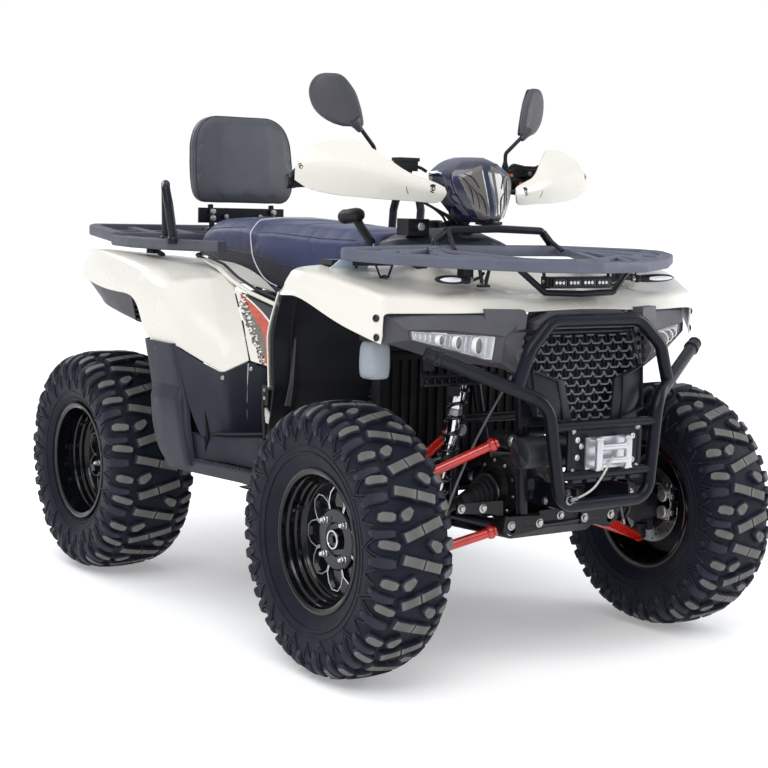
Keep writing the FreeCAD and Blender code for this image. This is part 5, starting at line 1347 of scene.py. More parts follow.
from mathutils.bvhtree import BVHTree


def snap_line(o, pts, lift=0.0, ray=None, n=10):
    """Points of a smooth line through pts (mm), each laid on the surface of o."""
    dg = bpy.context.evaluated_depsgraph_get()
    bvh = BVHTree.FromObject(o, dg)
    P = [Vector(p) for p in pts]
    line = []
    for i in range(len(P) - 1):
        a, b, c, d = P[max(i - 1, 0)], P[i], P[i + 1], P[min(i + 2, len(P) - 1)]
        for s in range(n):
            t = s / n
            line.append(0.5 * ((2 * b) + (c - a) * t + (2 * a - 5 * b + 4 * c - d) * t * t + (3 * b - a - 3 * c + d) * t ** 3))
    line.append(P[-1])
    out = []
    for q in line:
        loc, nor, _, _ = bvh.find_nearest(q * 0.001)
        out.append(loc * 1000.0 + nor * lift)
    return out


# ---------------------------------------------------------------- front rack
g = Geo()
ring = [(0, -913), (155, -889), (300, -806), (426, -692), (480, -603), (445, -552), (200, -537)]
outline = [(x, y, 948) for x, y in ring] + [(-x, y, 948) for x, y in ring[:0:-1]]
band(g, outline, rail_prof(34, 26, 5, 3.0), 0, True, rad=26, n=4)
# second, inner ring that widens the plate at the two sides
for s in (1, -1):
    P = lambda x, y, z=950: (x * s, y, z)
    bars = [((452, -628), (232, -548), 26), ((470, -585), (262, -735), 22), ((318, -790), (205, -545), 24), ((392, -716), (300, -556), 22),
            ((232, -838), (270, -640), 20), ((150, -884), (236, -700), 22), ((60, -904), (196, -600), 22), ((262, -735), (330, -780), 22),
            ((345, -560), (436, -672), 20), ((0, -908), (150, -770), 20)]
    for (x0, y0), (x1, y1), w in bars:
        band(g, [P(x0, y0), P(x1, y1)], rail_prof(w, 19, 4, 2.0), 0)
    band(g, [P(188, -545, 951), P(214, -650, 951), P(196, -742, 951), P(90, -806, 951), P(0, -822, 951)], rail_prof(24, 20, 4, 2.0), 0, rad=18)
    # plate corner pieces
    for x, y in ((446, -600), (300, -792), (206, -552)):
        disc(g, 17, 0, 21.5, 20, 0, frame_at(P(x, y, 950), (0, 0, 1)), 2.0)
    # carrying handle
tube(g, [(-182, -532, 966), (-180, -524, 980), (-141, -536, 1009), (0, -540, 1010), (141, -536, 1009), (180, -524, 980), (182, -532, 966)], 9.5, 14, 1, rad=16)
for s in (1, -1):
    lathe(g, [(15, 0), (15, 6), (12, 9), (9.6, 10)], 18, 1, frame_at((182 * s, -532, 966), (0, -0.05, 1)))
    tube(g, [(150 * s, -538, 1007), (158 * s, -560, 984), (168 * s, -590, 966)], 6.0, 10, 1, rad=12)
g.v = [(x, y, z + 0.05 * (y + 600) + 10.0 * max(0.0, 1 - abs(x) / 430.0) * max(0.0, min(1.0, (y + 790) / 240.0))) for x, y, z in g.v]
o = g.obj("front_rack_detail", [M["rack"], M["frame"]], "root", "rack_dark", sharp=38)
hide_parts(*[n for n in ("front_rack", "rack_slats") if n in NODES])

# ---------------------------------------------------------------- rear rack and grab hoops
g = Geo()
z_at = lambda y: 935 + 0.073 * (y - 600)
loop = [(0, 967), (370, 967), (397, 935), (421, 712), (300, 702)]
outline = [(x, y, z_at(y)) for x, y in loop] + [(-x, y, z_at(y)) for x, y in loop[:0:-1]]
band(g, outline, rail_prof(36, 33, 6, 2.0), 0, True, rad=24, n=4)
for x in (0, 150, 268):
    for s in ((1, -1) if x else (1,)):
        band(g, [(x * s, 716, z_at(716) + 7), (x * s, 956, z_at(956) + 7)], rail_prof(27, 20, 4, 2.0), 0)
for y in (800, 884):
    band(g, [(-402, y, z_at(y) + 5), (402, y, z_at(y) + 5)], rail_prof(20, 17, 4, 0), 0)
for s in (1, -1):
    side = [(424, 712), (424, 600), (419, 470), (410, 398), (366, 300), (335, 246)]
    band(g, [(x * s, y, 934 + 0.02 * max(0, y - 600)) for x, y in side], rail_prof(46, 31, 7, 2.5), 0, rad=34)
    band(g, [(335 * s, 250, 938), (352 * s, 330, 938), (384 * s, 420, 938)], rail_prof(24, 22, 5, 0), 0, rad=20)
    prism(g, [(408 * s, 640, 940), (376 * s, 640, 940), (376 * s, 470, 940), (400 * s, 470, 940)], (0, 0, 14))
    # grab hoop with its collars
    hoop = [(418 * s, 372, 958), (430 * s, 380, 1060), (432 * s, 396, 1104), (415 * s, 430, 1117), (398 * s, 462, 1104), (392 * s, 472, 1060), (388 * s, 475, 958)]
    tube(g, hoop, 12.5, 18, 1, rad=18, n=5)
    for p in (hoop[0], hoop[-1]):
        lathe(g, [(18.5, -4), (18.5, 8), (15, 14), (12.6, 15)], 20, 1, frame_at(p, (0.1 * s, 0, 1)))
    # bracket under the rack
    block(g, (min(388 * s, 362 * s), 560, 918), (max(388 * s, 362 * s), 600, 937), 1)
    tube(g, [(375 * s, 560, 926), (375 * s, 520, 916)], 7.5, 12, 1)
    for y in (572, 588):
        bolt(g, (388 * s if s > 0 else -388, y, 927), (s, 0, 0), 4.5, 3.0, 2)
o = g.obj("rear_rack_detail", [M["rack_rear"], M["frame"], M["boltd"]], "root", "rack_dark", sharp=38)
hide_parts("rear_rack", "grab_handles")

# ---------------------------------------------------------------- seat
def seat_ring(y, wb, we, zb, ze, zt, crown=0.5):
    pts = [(-wb + 14, y, zb), (wb - 14, y, zb), (wb, y, zb + 16), (we + 2, y, ze - 8), (we * 0.80, y, zt - 5), (we * 0.34, y, zt + crown), (-we * 0.34, y, zt + crown),
           (-we * 0.80, y, zt - 5), (-we - 2, y, ze - 8), (-wb, y, zb + 16)]
    return [tuple(p) for p in rounded(pts, 16, 3, True)]


seat_sections = [(-186, 104, 104, 930, 974, 996), (-178, 116, 117, 922, 980, 1004), (-120, 138, 138, 888, 980, 1006), (-50, 155, 150, 860, 978, 1008), (40, 172, 160, 838, 978, 1010),
                 (130, 186, 168, 826, 984, 1014), (240, 199, 178, 836, 990, 1016), (322, 203, 182, 852, 992, 1015), (352, 204, 184, 858, 994, 1020), (420, 204, 186, 872, 996, 1026),
                 (520, 203, 188, 892, 992, 1024), (600, 199, 182, 906, 988, 1018), (662, 190, 166, 912, 980, 1008), (684, 176, 148, 918, 972, 996)]
g = Geo()
loft(g, [seat_ring(*s) for s in seat_sections], 0, sub=3)
seat = g.obj("seat_pad", [M["seat"], M["seat_side"]], "root", "seat_vinyl", sharp=180)
fix_normals(seat)


def seat_mask(p):
    return max(0.0, min(1.0, (p[2] - 905) / 50.0)) * max(0.0, min(1.0, (p[1] + 176) / 60.0))


inflate(seat, 7.2, 4.5, seat_mask)
for p in seat.data.polygons:
    p.material_index = 1 if p.normal.z < -0.5 else 0
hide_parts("seat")
g = Geo()
for s in (1, -1):
    route = [(0, 384, 1032), (70 * s, 381, 1030), (128 * s, 374, 1022), (170 * s, 362, 1000), (195 * s, 342, 958), (204 * s, 310, 912), (204 * s, 252, 866), (198 * s, 190, 838)]
    tube(g, snap_line(seat, route, 0.6), 2.0, 8, 0)
    # seam low on the side and round the tail
    route = [(150 * s, -60, 905), (176 * s, 60, 900), (196 * s, 180, 905), (205 * s, 300, 925), (206 * s, 420, 934), (204 * s, 540, 938), (192 * s, 650, 936)]
    tube(g, snap_line(seat, route, 0.1), 1.5, 6, 1)
    route = [(140 * s, -110, 990), (158 * s, 0, 992), (172 * s, 130, 998), (182 * s, 250, 1000), (188 * s, 330, 1000)]
    tube(g, snap_line(seat, route, 0.1), 1.3, 6, 1)
    route = [(178 * s, 400, 1006), (184 * s, 500, 1004), (178 * s, 600, 996), (150 * s, 668, 990), (90 * s, 690, 992), (0, 694, 992)]
    tube(g, snap_line(seat, route, 0.1), 1.3, 6, 1)
for y in (150, 420):
    route = [(-120, y + 10, 1040), (-60, y, 1040), (0, y - 3, 1040), (60, y, 1040), (120, y + 10, 1040)]
    tube(g, snap_line(seat, route, -0.4), 1.4, 6, 1)
pip = g.obj("seat_piping", [M["piping"], M["seat_side"]], "root", "seat_vinyl", sharp=180)
# plastic pan under the seat, with its lip
g = Geo()
for s in (1, -1):
    route = [(0, -188, 930), (104 * s, -184, 926), (152 * s, -60, 862), (186 * s, 130, 826), (203 * s, 330, 854), (205 * s, 520, 890), (190 * s, 676, 912), (120 * s, 694, 914), (0, 694, 914)]
    tube(g, route, 5.5, 10, 0, rad=40)
    for y in (120, 420, 600):
        disc(g, 17, -14, 2, 18, 0, frame_at((140 * s, y, 842 if y < 200 else 888), (0, 0, 1)), 2)
g.obj("seat_pan", [M["rubber_plain"]], "root", "seat_vinyl", sharp=50)

# ---------------------------------------------------------------- backrest
def back_ring(z, w, y0, y1):
    pts = [(-w + 10, y0 + 5, z), (-w * 0.45, y0, z), (w * 0.45, y0, z), (w - 10, y0 + 5, z), (w, y0 + 16, z), (w - 3, y1 - 8, z), (w * 0.7, y1, z), (-w * 0.7, y1, z),
           (-w + 3, y1 - 8, z), (-w, y0 + 16, z)]
    return [tuple(p) for p in rounded(pts, 9, 3, True)]


g = Geo()
back_sections = [(1066, 140, 712, 740), (1072, 156, 708, 745), (1090, 172, 705, 749), (1120, 180, 704, 753), (1160, 182, 706, 758), (1210, 180, 711, 763), (1250, 177, 716, 766), (1285, 166, 721, 768),
                 (1310, 148, 725, 767), (1326, 124, 729, 765), (1334, 96, 734, 760)]
loft(g, [back_ring(*s) for s in back_sections], 0, sub=2)
back_o = g.obj("backrest_pad", [M["back"]], "root", "backrest_vinyl", sharp=180)
fix_normals(back_o)
inflate(back_o, 5.0, 4.0, lambda p: 1.0)
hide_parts("backrest")
g = Geo()
edge = []
for z, w, y0, y1 in back_sections[1:]:
    edge.append((w * 0.94, y0 + 4, z))
right_line = [(x, y, z) for x, y, z in edge]
loop = right_line + [(0, 728, 1344)] + [(-x, y, z) for x, y, z in right_line[::-1]] + [(0, 706, 1060)]
tube(g, snap_line(back_o, loop + [loop[0]], 0.2, n=4), 1.7, 6, 0)
edge2 = [(x * 1.02, y + 26, z) for x, y, z in edge]
loop2 = edge2 + [(0, 752, 1344)] + [(-x, y, z) for x, y, z in edge2[::-1]] + [(0, 734, 1060)]
tube(g, snap_line(back_o, loop2 + [loop2[0]], 0.2, n=4), 1.4, 6, 0)
g.obj("backrest_seams", [M["seat_side"]], "root", "backrest_vinyl", sharp=180)
# back plate, brackets and bolts behind the pad
g = Geo()
for s in (1, -1):
    for z in (1020, 1040):
        bolt(g, (107 * s, 716, z), (0, -1, 0), 7.0, 5.0, 1, washer=9.5)
    bolt(g, (60 * s, 716, 1026), (0, -1, 0), 5.5, 4.0, 1, washer=7.5)
    lathe(g, [(15.5, -3), (15.5, 5), (12.6, 8)], 18, 0, frame_at((107 * s, 722, 985), (0, 0.15, 1)))
    block(g, (min(92 * s, 122 * s), 757, 1090), (max(92 * s, 122 * s), 770, 1220), 0)
    for z in (1110, 1200):
        bolt(g, (107 * s, 770, z), (0, 1, 0), 5.5, 3.0, 1)
g.obj("backrest_fittings", [M["frame"], M["boltm"]], "root", "frame_paint", sharp=40)

# ---------------------------------------------------------------- headlight bezels and lamps
def ring_faces(g, loops, m=0, ms=None, smooth=False, cap=None):
    """Joins closed loops of equal count one to the next; ms gives each strip its own material."""
    n = len(loops[0])
    for i in range(len(loops) - 1):
        g.add([tuple(p) for p in loops[i]] + [tuple(p) for p in loops[i + 1]],
              [(j, (j + 1) % n, n + (j + 1) % n, n + j) for j in range(n)], ms[i] if ms else m, smooth)
    if cap is not None:
        g.add([tuple(p) for p in loops[-1]], [tuple(range(n))], cap, False)


def toward(loop, c, mm, shift=(0, 0, 0)):
    c = Vector(c)
    return [Vector(p) + (c - Vector(p)).normalized() * mm + Vector(shift) for p in loop]


gb, gl, gg = Geo(), Geo(), Geo()
for s in (1, -1):
    m = lambda x, y, z: Vector((x * s, y, z))
    back_v = Vector((-20 * s, 45, 0))
    # outline corners and the matching corners of the lamp opening, going round
    O = [m(458, -722, 833), m(352, -777, 835), m(245, -833, 836), m(171, -871, 836), m(184, -865, 700), m(223, -845, 717), m(371, -768, 740), m(456, -724, 770)]
    Q = [m(414, -766, 798), m(340, -804, 794), m(262, -843, 790), m(241, -854, 788), m(247, -851, 736), m(262, -844, 737), m(371, -788, 768), m(411, -768, 779)]
    cen = sum(Q, Vector()) / 8
    out_v = Vector((-0.41 * s, -0.91, 0))
    O0 = [p + back_v for p in O]
    O1 = [p + Vector((0, 0, 0)) for p in O]
    O2 = [p + (cen - p).normalized() * 5 + out_v * 4 for p in O]
    Q0 = [p + (p - cen).normalized() * 13 + out_v * 4 for p in Q]
    Q1 = [p + (p - cen).normalized() * 9 - out_v * 3 for p in Q]
    Q2 = [p + (p - cen).normalized() * 1 - out_v * 4 for p in Q]
    Q3 = [p + Vector((-10 * s, 30, 0)) for p in Q]
    loops = [O0, O1, O2, Q0, Q1, Q2, Q3]
    if s < 0:
        loops = [l[::-1] for l in loops]
    ring_faces(gb, loops, 0, ms=[0, 0, 0, 0, 0, 1])
    # raised block at the inner end and the wedge facet below it
    blk = [m(262, -832, 849), m(182, -873, 849), m(176, -878, 838), m(180, -878, 806), m(238, -848, 797), m(262, -836, 808)]
    prism(gb, blk, tuple(back_v * 0.8), 0)
    wedge = [(m(232, -858, 792), m(188, -881, 800)), (m(222, -862, 744), m(196, -877, 712))]
    gb.add([tuple(m(238, -853, 796)), tuple(m(180, -879, 800)), tuple(m(190, -872, 708)), tuple(m(226, -850, 722)), tuple(m(208, -880, 752))],
           [(0, 1, 4), (1, 2, 4), (2, 3, 4), (3, 0, 4)] if s < 0 else [(4, 1, 0), (4, 2, 1), (4, 3, 2), (4, 0, 3)], 0, False)
    # brow line pressed into the upper bar
    tube(gb, [m(446, -729, 819), m(352, -779, 821), m(268, -822, 822)], 1.6, 6, 1)
    # lamp: bright inner frame, fluted bowl, three projector lenses, cover glass
    inn = [p + Vector((-3 * s, 8, 0)) + (cen - p).normalized() * 2.0 for p in Q]
    inn2 = [p + Vector((-4 * s, 10, 0)) + (cen - p).normalized() * 6.5 for p in Q]
    bowl = [p + Vector((-11 * s, 30, 0)) + (cen - p).normalized() * 9 for p in Q]
    L = [inn, inn2, bowl]
    if s < 0:
        L = [l[::-1] for l in L]
    ring_faces(gl, L, 1, ms=[1, 0], cap=0)
    for k in range(15):
        t = k / 14.0
        a = m(258, -838, 785).lerp(m(402, -765, 792), t)
        b = m(262, -836, 743).lerp(m(402, -765, 783), t)
        tube(gl, [a + Vector((0, 2, 0)), b + Vector((0, 2, 0))], 2.2, 6, 0)
    for t, r in ((0.16, 17.5), (0.42, 13.5), (0.64, 9.5)):
        c = m(253, -848, 763).lerp(m(412, -766, 788), t)
        M0 = frame_at(c, out_v)
        lathe(gl, [(r + 3, -8), (r + 3, 1.5), (r + 1, 2.5), (r, 1.0)], 28, 1, M0)
        lathe(gl, [(r, 0.5), (r * 0.8, 3.5), (r * 0.45, 5.5), (0.01, 6.2)], 28, 2, M0)
    C0 = [p - out_v * 5 for p in Q]
    Cm = [p + (cen - p) * 0.35 - out_v * 2.0 for p in Q]
    gg.add([tuple(p) for p in (C0 if s > 0 else C0[::-1])] + [tuple(p) for p in (Cm if s > 0 else Cm[::-1])] + [tuple(cen - out_v * 1.2)],
           [(j, (j + 1) % 8, 8 + (j + 1) % 8, 8 + j) for j in range(8)] + [(8 + j, 8 + (j + 1) % 8, 16) for j in range(8)], 0, True)
o = gb.obj("lamp_bezels", [M["bezel"], M["black"]], "root", "shell_dark", sharp=30, bevel=2.4, seg=2, angle=28)
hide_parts("headlight_bezels")

# light bar over the nose
block(gl, (-92, -853, 895), (92, -826, 921), 3)
for k in range(4):
    x0 = -86 + k * 43.5
    block(gl, (x0, -857, 899), (x0 + 41, -849, 917), 3)
    ring = [Vector((x0 + 2, -857.2, 901)), Vector((x0 + 39, -857.2, 901)), Vector((x0 + 39, -857.2, 915)), Vector((x0 + 2, -857.2, 915))]
    ring_faces(gl, [ring, toward(ring, (x0 + 20.5, -857.2, 908), 5.0, (0, 4.5, 0))], 0, cap=0)
    for dx in (10, 20.5, 31):
        lathe(gl, [(5.2, -1), (4.6, 2.0), (2.4, 3.6), (0.01, 4.2)], 16, 4, frame_at((x0 + dx, -854.6, 908), (0, -1, 0)))
for k in range(7):
    block(gl, (-90, -828 + k * 1.9, 893.0), (90, -827 + k * 1.9, 895.2), 3)
for s in (1, -1):
    block(gl, (min(92 * s, 99 * s), -850, 898), (max(92 * s, 99 * s), -828, 922), 3)
    bolt(gl, (99 * s, -838, 910), (s, 0, 0), 4.5, 3.0, 5)
    tube(gl, [(97 * s, -838, 918), (100 * s, -836, 936)], 4.0, 10, 3)
o = gl.obj("lamp_insides", [M["reflector"], M["reflector"], M["glass_dark"], M["black"], M["led"], M["boltm"]], "root", "lamp_clear", sharp=35)
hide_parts("front_lamps")
gg.obj("lamp_covers", [M["lens"]], "root", "lamp_clear", sharp=60)
g = Geo()
tube(g, [(-176, -833, 943), (-157, -835, 929), (-104, -850, 885), (0, -856, 882), (104, -850, 885), (157, -835, 929), (176, -833, 943)], 7.5, 14, 0, rad=16)
for s in (1, -1):
    tube(g, [(118 * s, -846, 897), (112 * s, -838, 892)], 3.5, 8, 0)
g.obj("light_bar_guard", [M["frame"]], "root", "frame_paint", sharp=50)

# ---------------------------------------------------------------- nose: grille, wings, ducts, cap
gy = lambda z: -871 - (793 - z) * 0.1436
G3 = lambda x, z, dy=0.0: (x, gy(z) + dy, z)
g = Geo()
outline = [(-146, 793), (146, 793), (166, 702), (82, 690), (63, 590), (-63, 590), (-82, 690), (-166, 702)]


def in_poly(x, z, poly, pad=0.0):
    c = False
    n = len(poly)
    for i in range(n):
        (x1, z1), (x2, z2) = poly[i], poly[(i + 1) % n]
        if (z1 > z) != (z2 > z) and x < (x2 - x1) * (z - z1) / (z2 - z1) + x1:
            c = not c
    return c


mesh_area = [(-150, 796), (150, 796), (172, 700), (92, 640), (74, 584), (-74, 584), (-92, 640), (-172, 700)]
cw, ch = 34.0, 19.0
for r in range(-1, 13):
    for c in range(-6, 7):
        x = c * cw + (cw / 2 if r % 2 else 0)
        z = 588 + r * ch
        hexa = [(x - cw * 0.30, z - ch * 0.5), (x + cw * 0.30, z - ch * 0.5), (x + cw * 0.5, z), (x + cw * 0.30, z + ch * 0.5), (x - cw * 0.30, z + ch * 0.5), (x - cw * 0.5, z)]
        for i in (0, 1, 5):
            a, b = hexa[i], hexa[(i + 1) % 6]
            if in_poly(*a, mesh_area) and in_poly(*b, mesh_area):
                wob = 1.2 * math.sin(c * 2.1 + r * 1.3)
                tube(g, [G3(a[0], a[1] + (wob if i == 0 else 0), -1.0), G3((a[0] + b[0]) / 2, (a[1] + b[1]) / 2 + wob, -3.4), G3(b[0], b[1] + (wob if i == 0 else 0), -1.0)], 2.3, 6, 0, caps=False)
# stamped net keeps its rows tied by short posts
for r in range(0, 11):
    for c in range(-6, 7):
        x = c * cw + (cw / 2 if r % 2 else 0) + cw / 2
        z = 588 + r * ch
        if in_poly(x, z, mesh_area) and in_poly(x, z + ch, mesh_area):
            lathe(g, [(3.1, -1.5), (2.2, 1.4), (0.01, 1.9)], 8, 0, frame_at(G3(x, z, -2.2), (0, -1, 0.14)))
fr_out = [G3(x, z, 0) for x, z in [(-152, 800), (152, 800), (176, 702), (176, 700), (70, 582), (-70, 582), (-176, 700), (-176, 702)]]
loop = [G3(x, z, 2) for x, z in [(-150, 797), (150, 797), (173, 704), (92, 668), (72, 586), (-72, 586), (-92, 668), (-173, 704)]]
tube(g, [tuple(p) for p in loop], 6.0, 10, 1, closed=True, rad=10, n=3, flat=1.0)
for s in (1, -1):
    # wing blade with a folded ridge
    m = lambda x, z, dy=0.0: (x * s, gy(z) + dy, z)
    w = [m(176, 716, -2), m(100, 694, -12), (78 * s, gy(688) - 10, 688), m(58, 584, -8), m(108, 584, -4), m(176, 640, 2), m(128, 640, -16), m(84, 636, -14)]
    ff = [(0, 1, 6), (1, 2, 7), (1, 7, 6), (2, 3, 7), (3, 4, 7), (4, 6, 7), (4, 5, 6), (5, 0, 6)]
    wb = [(p[0], p[1] + 9, p[2]) for p in w]
    rim8 = [0, 1, 2, 3, 4, 5]
    faces = ff + [tuple(8 + i for i in f[::-1]) for f in ff] + [(rim8[(i + 1) % 6], rim8[i], 8 + rim8[i], 8 + rim8[(i + 1) % 6]) for i in range(6)]
    g.add(w + wb, faces if s < 0 else [f[::-1] for f in faces], 1, False)
    # duct: frame with a sunken throat
    d0 = [Vector(m(98, 692, -18)), Vector(m(168, 716, -12)), Vector(m(162, 612, -10)), Vector(m(86, 594, -16))]
    if s > 0:
        d0 = d0[::-1]
    c0 = sum(d0, Vector()) / 4
    ring_faces(g, [toward(d0, c0, -3, (0, 16, 0)), d0, toward(d0, c0, 5.5, (0, 1, 0)), toward(d0, c0, 9, (0, 26, 0)), toward(d0, c0, 16, (0, 44, 0))], 1, cap=2)
    # side cheek between grille and lamp, with slots
    cheek = [(178 * s, -872, 806), (150 * s, -876, 802), (176 * s, gy(700) + 2, 702), (196 * s, -866, 700)]
    prism(g, cheek, (0, 16, 0), 1)
    for k in range(4):
        z = 722 + k * 20
        block(g, (min(164 * s, 184 * s), -884, z), (max(164 * s, 184 * s), -872, z + 9), 2)
# cap over the grille
capp = [(-156, 804), (-154, 821), (-100, 846), (100, 846), (154, 821), (156, 804)]
base = [Vector((x, -876, z)) for x, z in capp]
mid = [Vector((x * 0.985, -884, z - 5 if z > 810 else z + 1)) for x, z in capp]
back_l = [Vector((x, -836, z)) for x, z in capp]
ring_faces(g, [back_l, base, mid], 3, cap=3)
for x in (-118, 0, 118):
    bolt(g, (x, -885, 812), (0, -1, 0), 4.0, 2.0, 4, kind="button")
o = g.obj("nose_detail", [M["mesh"], M["dark_smooth"], M["black"], M["bezel"], M["boltd"]], "root", "shell_dark", sharp=32, bevel=0)
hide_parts("grille")
# dark screen behind the mesh, so that it isn't see-through
g = Geo()
scr = [(-152, 799), (152, 799), (176, 700), (176, 584), (-176, 584), (-176, 700)]
prism(g, [G3(x, z, 30) for x, z in scr], (0, 5, 0), 0)
for k in range(24):
    x = -138 + k * 12
    z0 = 596 if abs(x) < 66 else (672 if abs(x) < 88 else 706)
    tube(g, [G3(x, z0, 27), G3(x, 788, 27)], 2.0, 6, 0)
g.obj("radiator_core", [M["dark_smooth"]], "root", "shell_dark", sharp=40)

# ---------------------------------------------------------------- tank cover
def tank_ring(y, w, zb, zs, zt, f=0.62):
    pts = [(-w, y, zb), (w, y, zb), (w * 0.97, y, (zb + zs) / 2), (w * 0.86, y, zs), (w * 0.34, y, zt), (-w * 0.34, y, zt), (-w * 0.86, y, zs), (-w * 0.97, y, (zb + zs) / 2)]
    return [tuple(p) for p in rounded(pts, 15, 3, True)]


g = Geo()
loft(g, [tank_ring(-474, 96, 884, 962, 978), tank_ring(-466, 118, 878, 974, 994), tank_ring(-420, 133, 872, 986, 1008), tank_ring(-345, 149, 868, 996, 1019), tank_ring(-270, 151, 868, 990, 1016),
         tank_ring(-205, 144, 870, 978, 1008), tank_ring(-190, 122, 880, 966, 996)], 0, sub=3)
# ring round the column, filler cap, key switch and round knob
col_at = lambda z: -530 + (z - 430) * (185.0 / 670.0)
lathe(g, [(46, -6), (46, 3), (42, 8), (33, 9), (31, 2)], 32, 1, frame_at((0, col_at(1016), 1012), (0, 0.266, 0.964)))
for k in range(3):
    lathe(g, [(31, 4 + k * 7), (27, 7.5 + k * 7), (31, 11 + k * 7)], 28, 2, frame_at((0, col_at(1016), 1012), (0, 0.266, 0.964)))
lathe(g, [(36, -4), (36, 6), (33, 12), (33, 20), (29, 24), (8, 25), (0.01, 25)], 36, 1, frame_at((0, -262, 1012), (0, 0.1, 1)))
for k in range(12):
    a = k * math.pi / 6
    block(g, (-2.4 + 33 * math.cos(a), -262 - 2.4 + 33 * math.sin(a), 1018), (2.4 + 33 * math.cos(a), -262 + 2.4 + 33 * math.sin(a), 1031), 1)
for s in (1, -1):
    # cream shoulder plates either side of the tank cover
    plate = [[(150 * s, -470, 905), (156 * s, -380, 925), (158 * s, -290, 930), (152 * s, -205, 922)],
             [(196 * s, -480, 911), (206 * s, -390, 917), (206 * s, -300, 915), (190 * s, -215, 906)],
             [(262 * s, -478, 913), (268 * s, -400, 905), (262 * s, -320, 895), (236 * s, -240, 884)]]
    S, U, Vv = patch(plate, [0.4], [0.4, 0.4], 3, 3, 4)
    closed_patch(g, S, 3, flip=(s < 0), s=1, thick=4.0)
lathe(g, [(17, 0), (17, 14), (15, 18), (9, 19), (0.01, 19)], 24, 1, frame_at((-172, -400, 930), (-0.2, -0.25, 0.95)))
block(g, (-150, -372, 1000), (-86, -322, 1042), 1)
lathe(g, [(11, 0), (11, 12), (9, 14), (0.01, 14)], 20, 4, frame_at((-118, -372, 1021), (0, -1, 0.1)))
o = g.obj("tank_cover_detail", [M["dark_smooth"], M["black"], M["rubber_plain"], M["cream"], M["machined"]], "root", "shell_dark", sharp=40)
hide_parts("body_trim")

# ---------------------------------------------------------------- turn signals on their stalks
g = Geo()
for s in (1, -1):
    m = lambda x, y, z: (x * s, y, z)
    a, b = Vector(m(366, -782, 914)), Vector(m(268, -763, 911))
    ax = (a - b).normalized()
    side = ax.cross(Vector((0, 0, 1))).normalized()
    upv = side.cross(ax)
    rings = []
    L = (a - b).length
    for t, w, h in ((0.0, 7, 7), (0.06, 9, 8.5), (0.2, 10.5, 9.5), (0.5, 12, 10), (0.78, 10, 8.5), (0.93, 6, 5.5), (1.0, 1.5, 1.5)):
        c = b + ax * (L * t)
        rings.append([tuple(c + side * (w * 0.8 * math.cos(q)) + upv * (h * math.sin(q))) for q in [k * math.pi / 8 for k in range(16)]])
    loft(g, rings, 0, sub=3)
    lens = []
    fr_side = side if side.y < 0 else -side
    for t, h in ((0.24, 3.4), (0.4, 5.4), (0.62, 5.6), (0.8, 4.0), (0.9, 1.4)):
        c = b + ax * (L * t) + fr_side * 8.6
        lens.append([tuple(c + upv * (h * math.sin(q)) + fr_side * (2.2 * math.cos(q))) for q in [k * math.pi / 5 for k in range(10)]])
    loft(g, lens, 1, sub=2)
    lathe(g, [(8.5, -12), (9.5, -10), (9.5, -2), (8, 0)], 18, 0, frame_at(b, ax))
    lathe(g, [(6.5, -22), (7.2, -20), (7.2, -14), (6, -12)], 16, 2, frame_at(b, ax))
    tube(g, [b - ax * 20, m(236, -757, 911), m(216, -752, 916), m(204, -750, 926)], 3.6, 10, 3, rad=10)
    # V-shaped bracket legs with bolts
    for dx in (-9, 9):
        band(g, [m(204 + dx * 1.5, -752, 936), m(204 + dx * 0.4, -750, 904)], rail_prof(8, 5, 1.5, 0), 3)
        tube(g, [m(204 + dx * 1.7, -752, 938), m(203 + dx * 0.6, -750, 898)], 4.0, 10, 3)
    block(g, (min(192 * s, 216 * s), -760, 893), (max(192 * s, 216 * s), -740, 899), 3)
    for dx in (-9, 9):
        bolt(g, m(204 + dx, -750, 899), (0, 0, 1), 4.2, 3.4, 2)
o = g.obj("signal_lamps", [M["black"], M["led"], M["boltm"], M["frame"]], "root", "lamp_amber", sharp=40)
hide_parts("turn_signals")

# wire stays, relay and small parts on the front deck
g = Geo()
for s in (1, -1):
    m = lambda x, y, z: (x * s, y, z)
    c = m(385, -600, 0)
    for dx in (-26, 26):
        tube(g, [m(385 + dx, -610, 944), m(385 + dx * 0.45, -612, 912), m(385 + dx * 0.3, -612, 905)], 2.6, 8, 0, rad=5)
    lathe(g, [(13, 0), (13, 2.5), (7, 3), (7, 10), (5, 12), (0.01, 12.5)], 16, 1, frame_at(m(385, -612, 903), (0, 0, 1)))
    block(g, (min(330 * s, 440 * s), -566, 934), (max(330 * s, 440 * s), -562, 950), 0)
# control unit and its plugs between rack and deck on the right
block(g, (-470, -520, 934), (-408, -470, 946), 0)
for x, y, h, mm in ((-420, -498, 20, 1), (-440, -488, 14, 2), (-402, -512, 26, 0)):
    lathe(g, [(6, 0), (6, h * 0.7), (4, h), (0.01, h)], 12, mm, frame_at((x, y, 918), (0.1, -0.2, 1)))
g.obj("deck_fittings", [M["frame"], M["boltd"], M["orange"]], "root", "frame_paint", sharp=40)
g = Geo()
pp = [(-478, -516, 922), (-452, -528, 946), (-360, -532, 946), (-372, -512, 920)]
prism(g, pp, (0, 5, 0), 0)
g.obj("pale_panel", [M["sky"]], "root", "shell_dark", sharp=40, bevel=1.0)

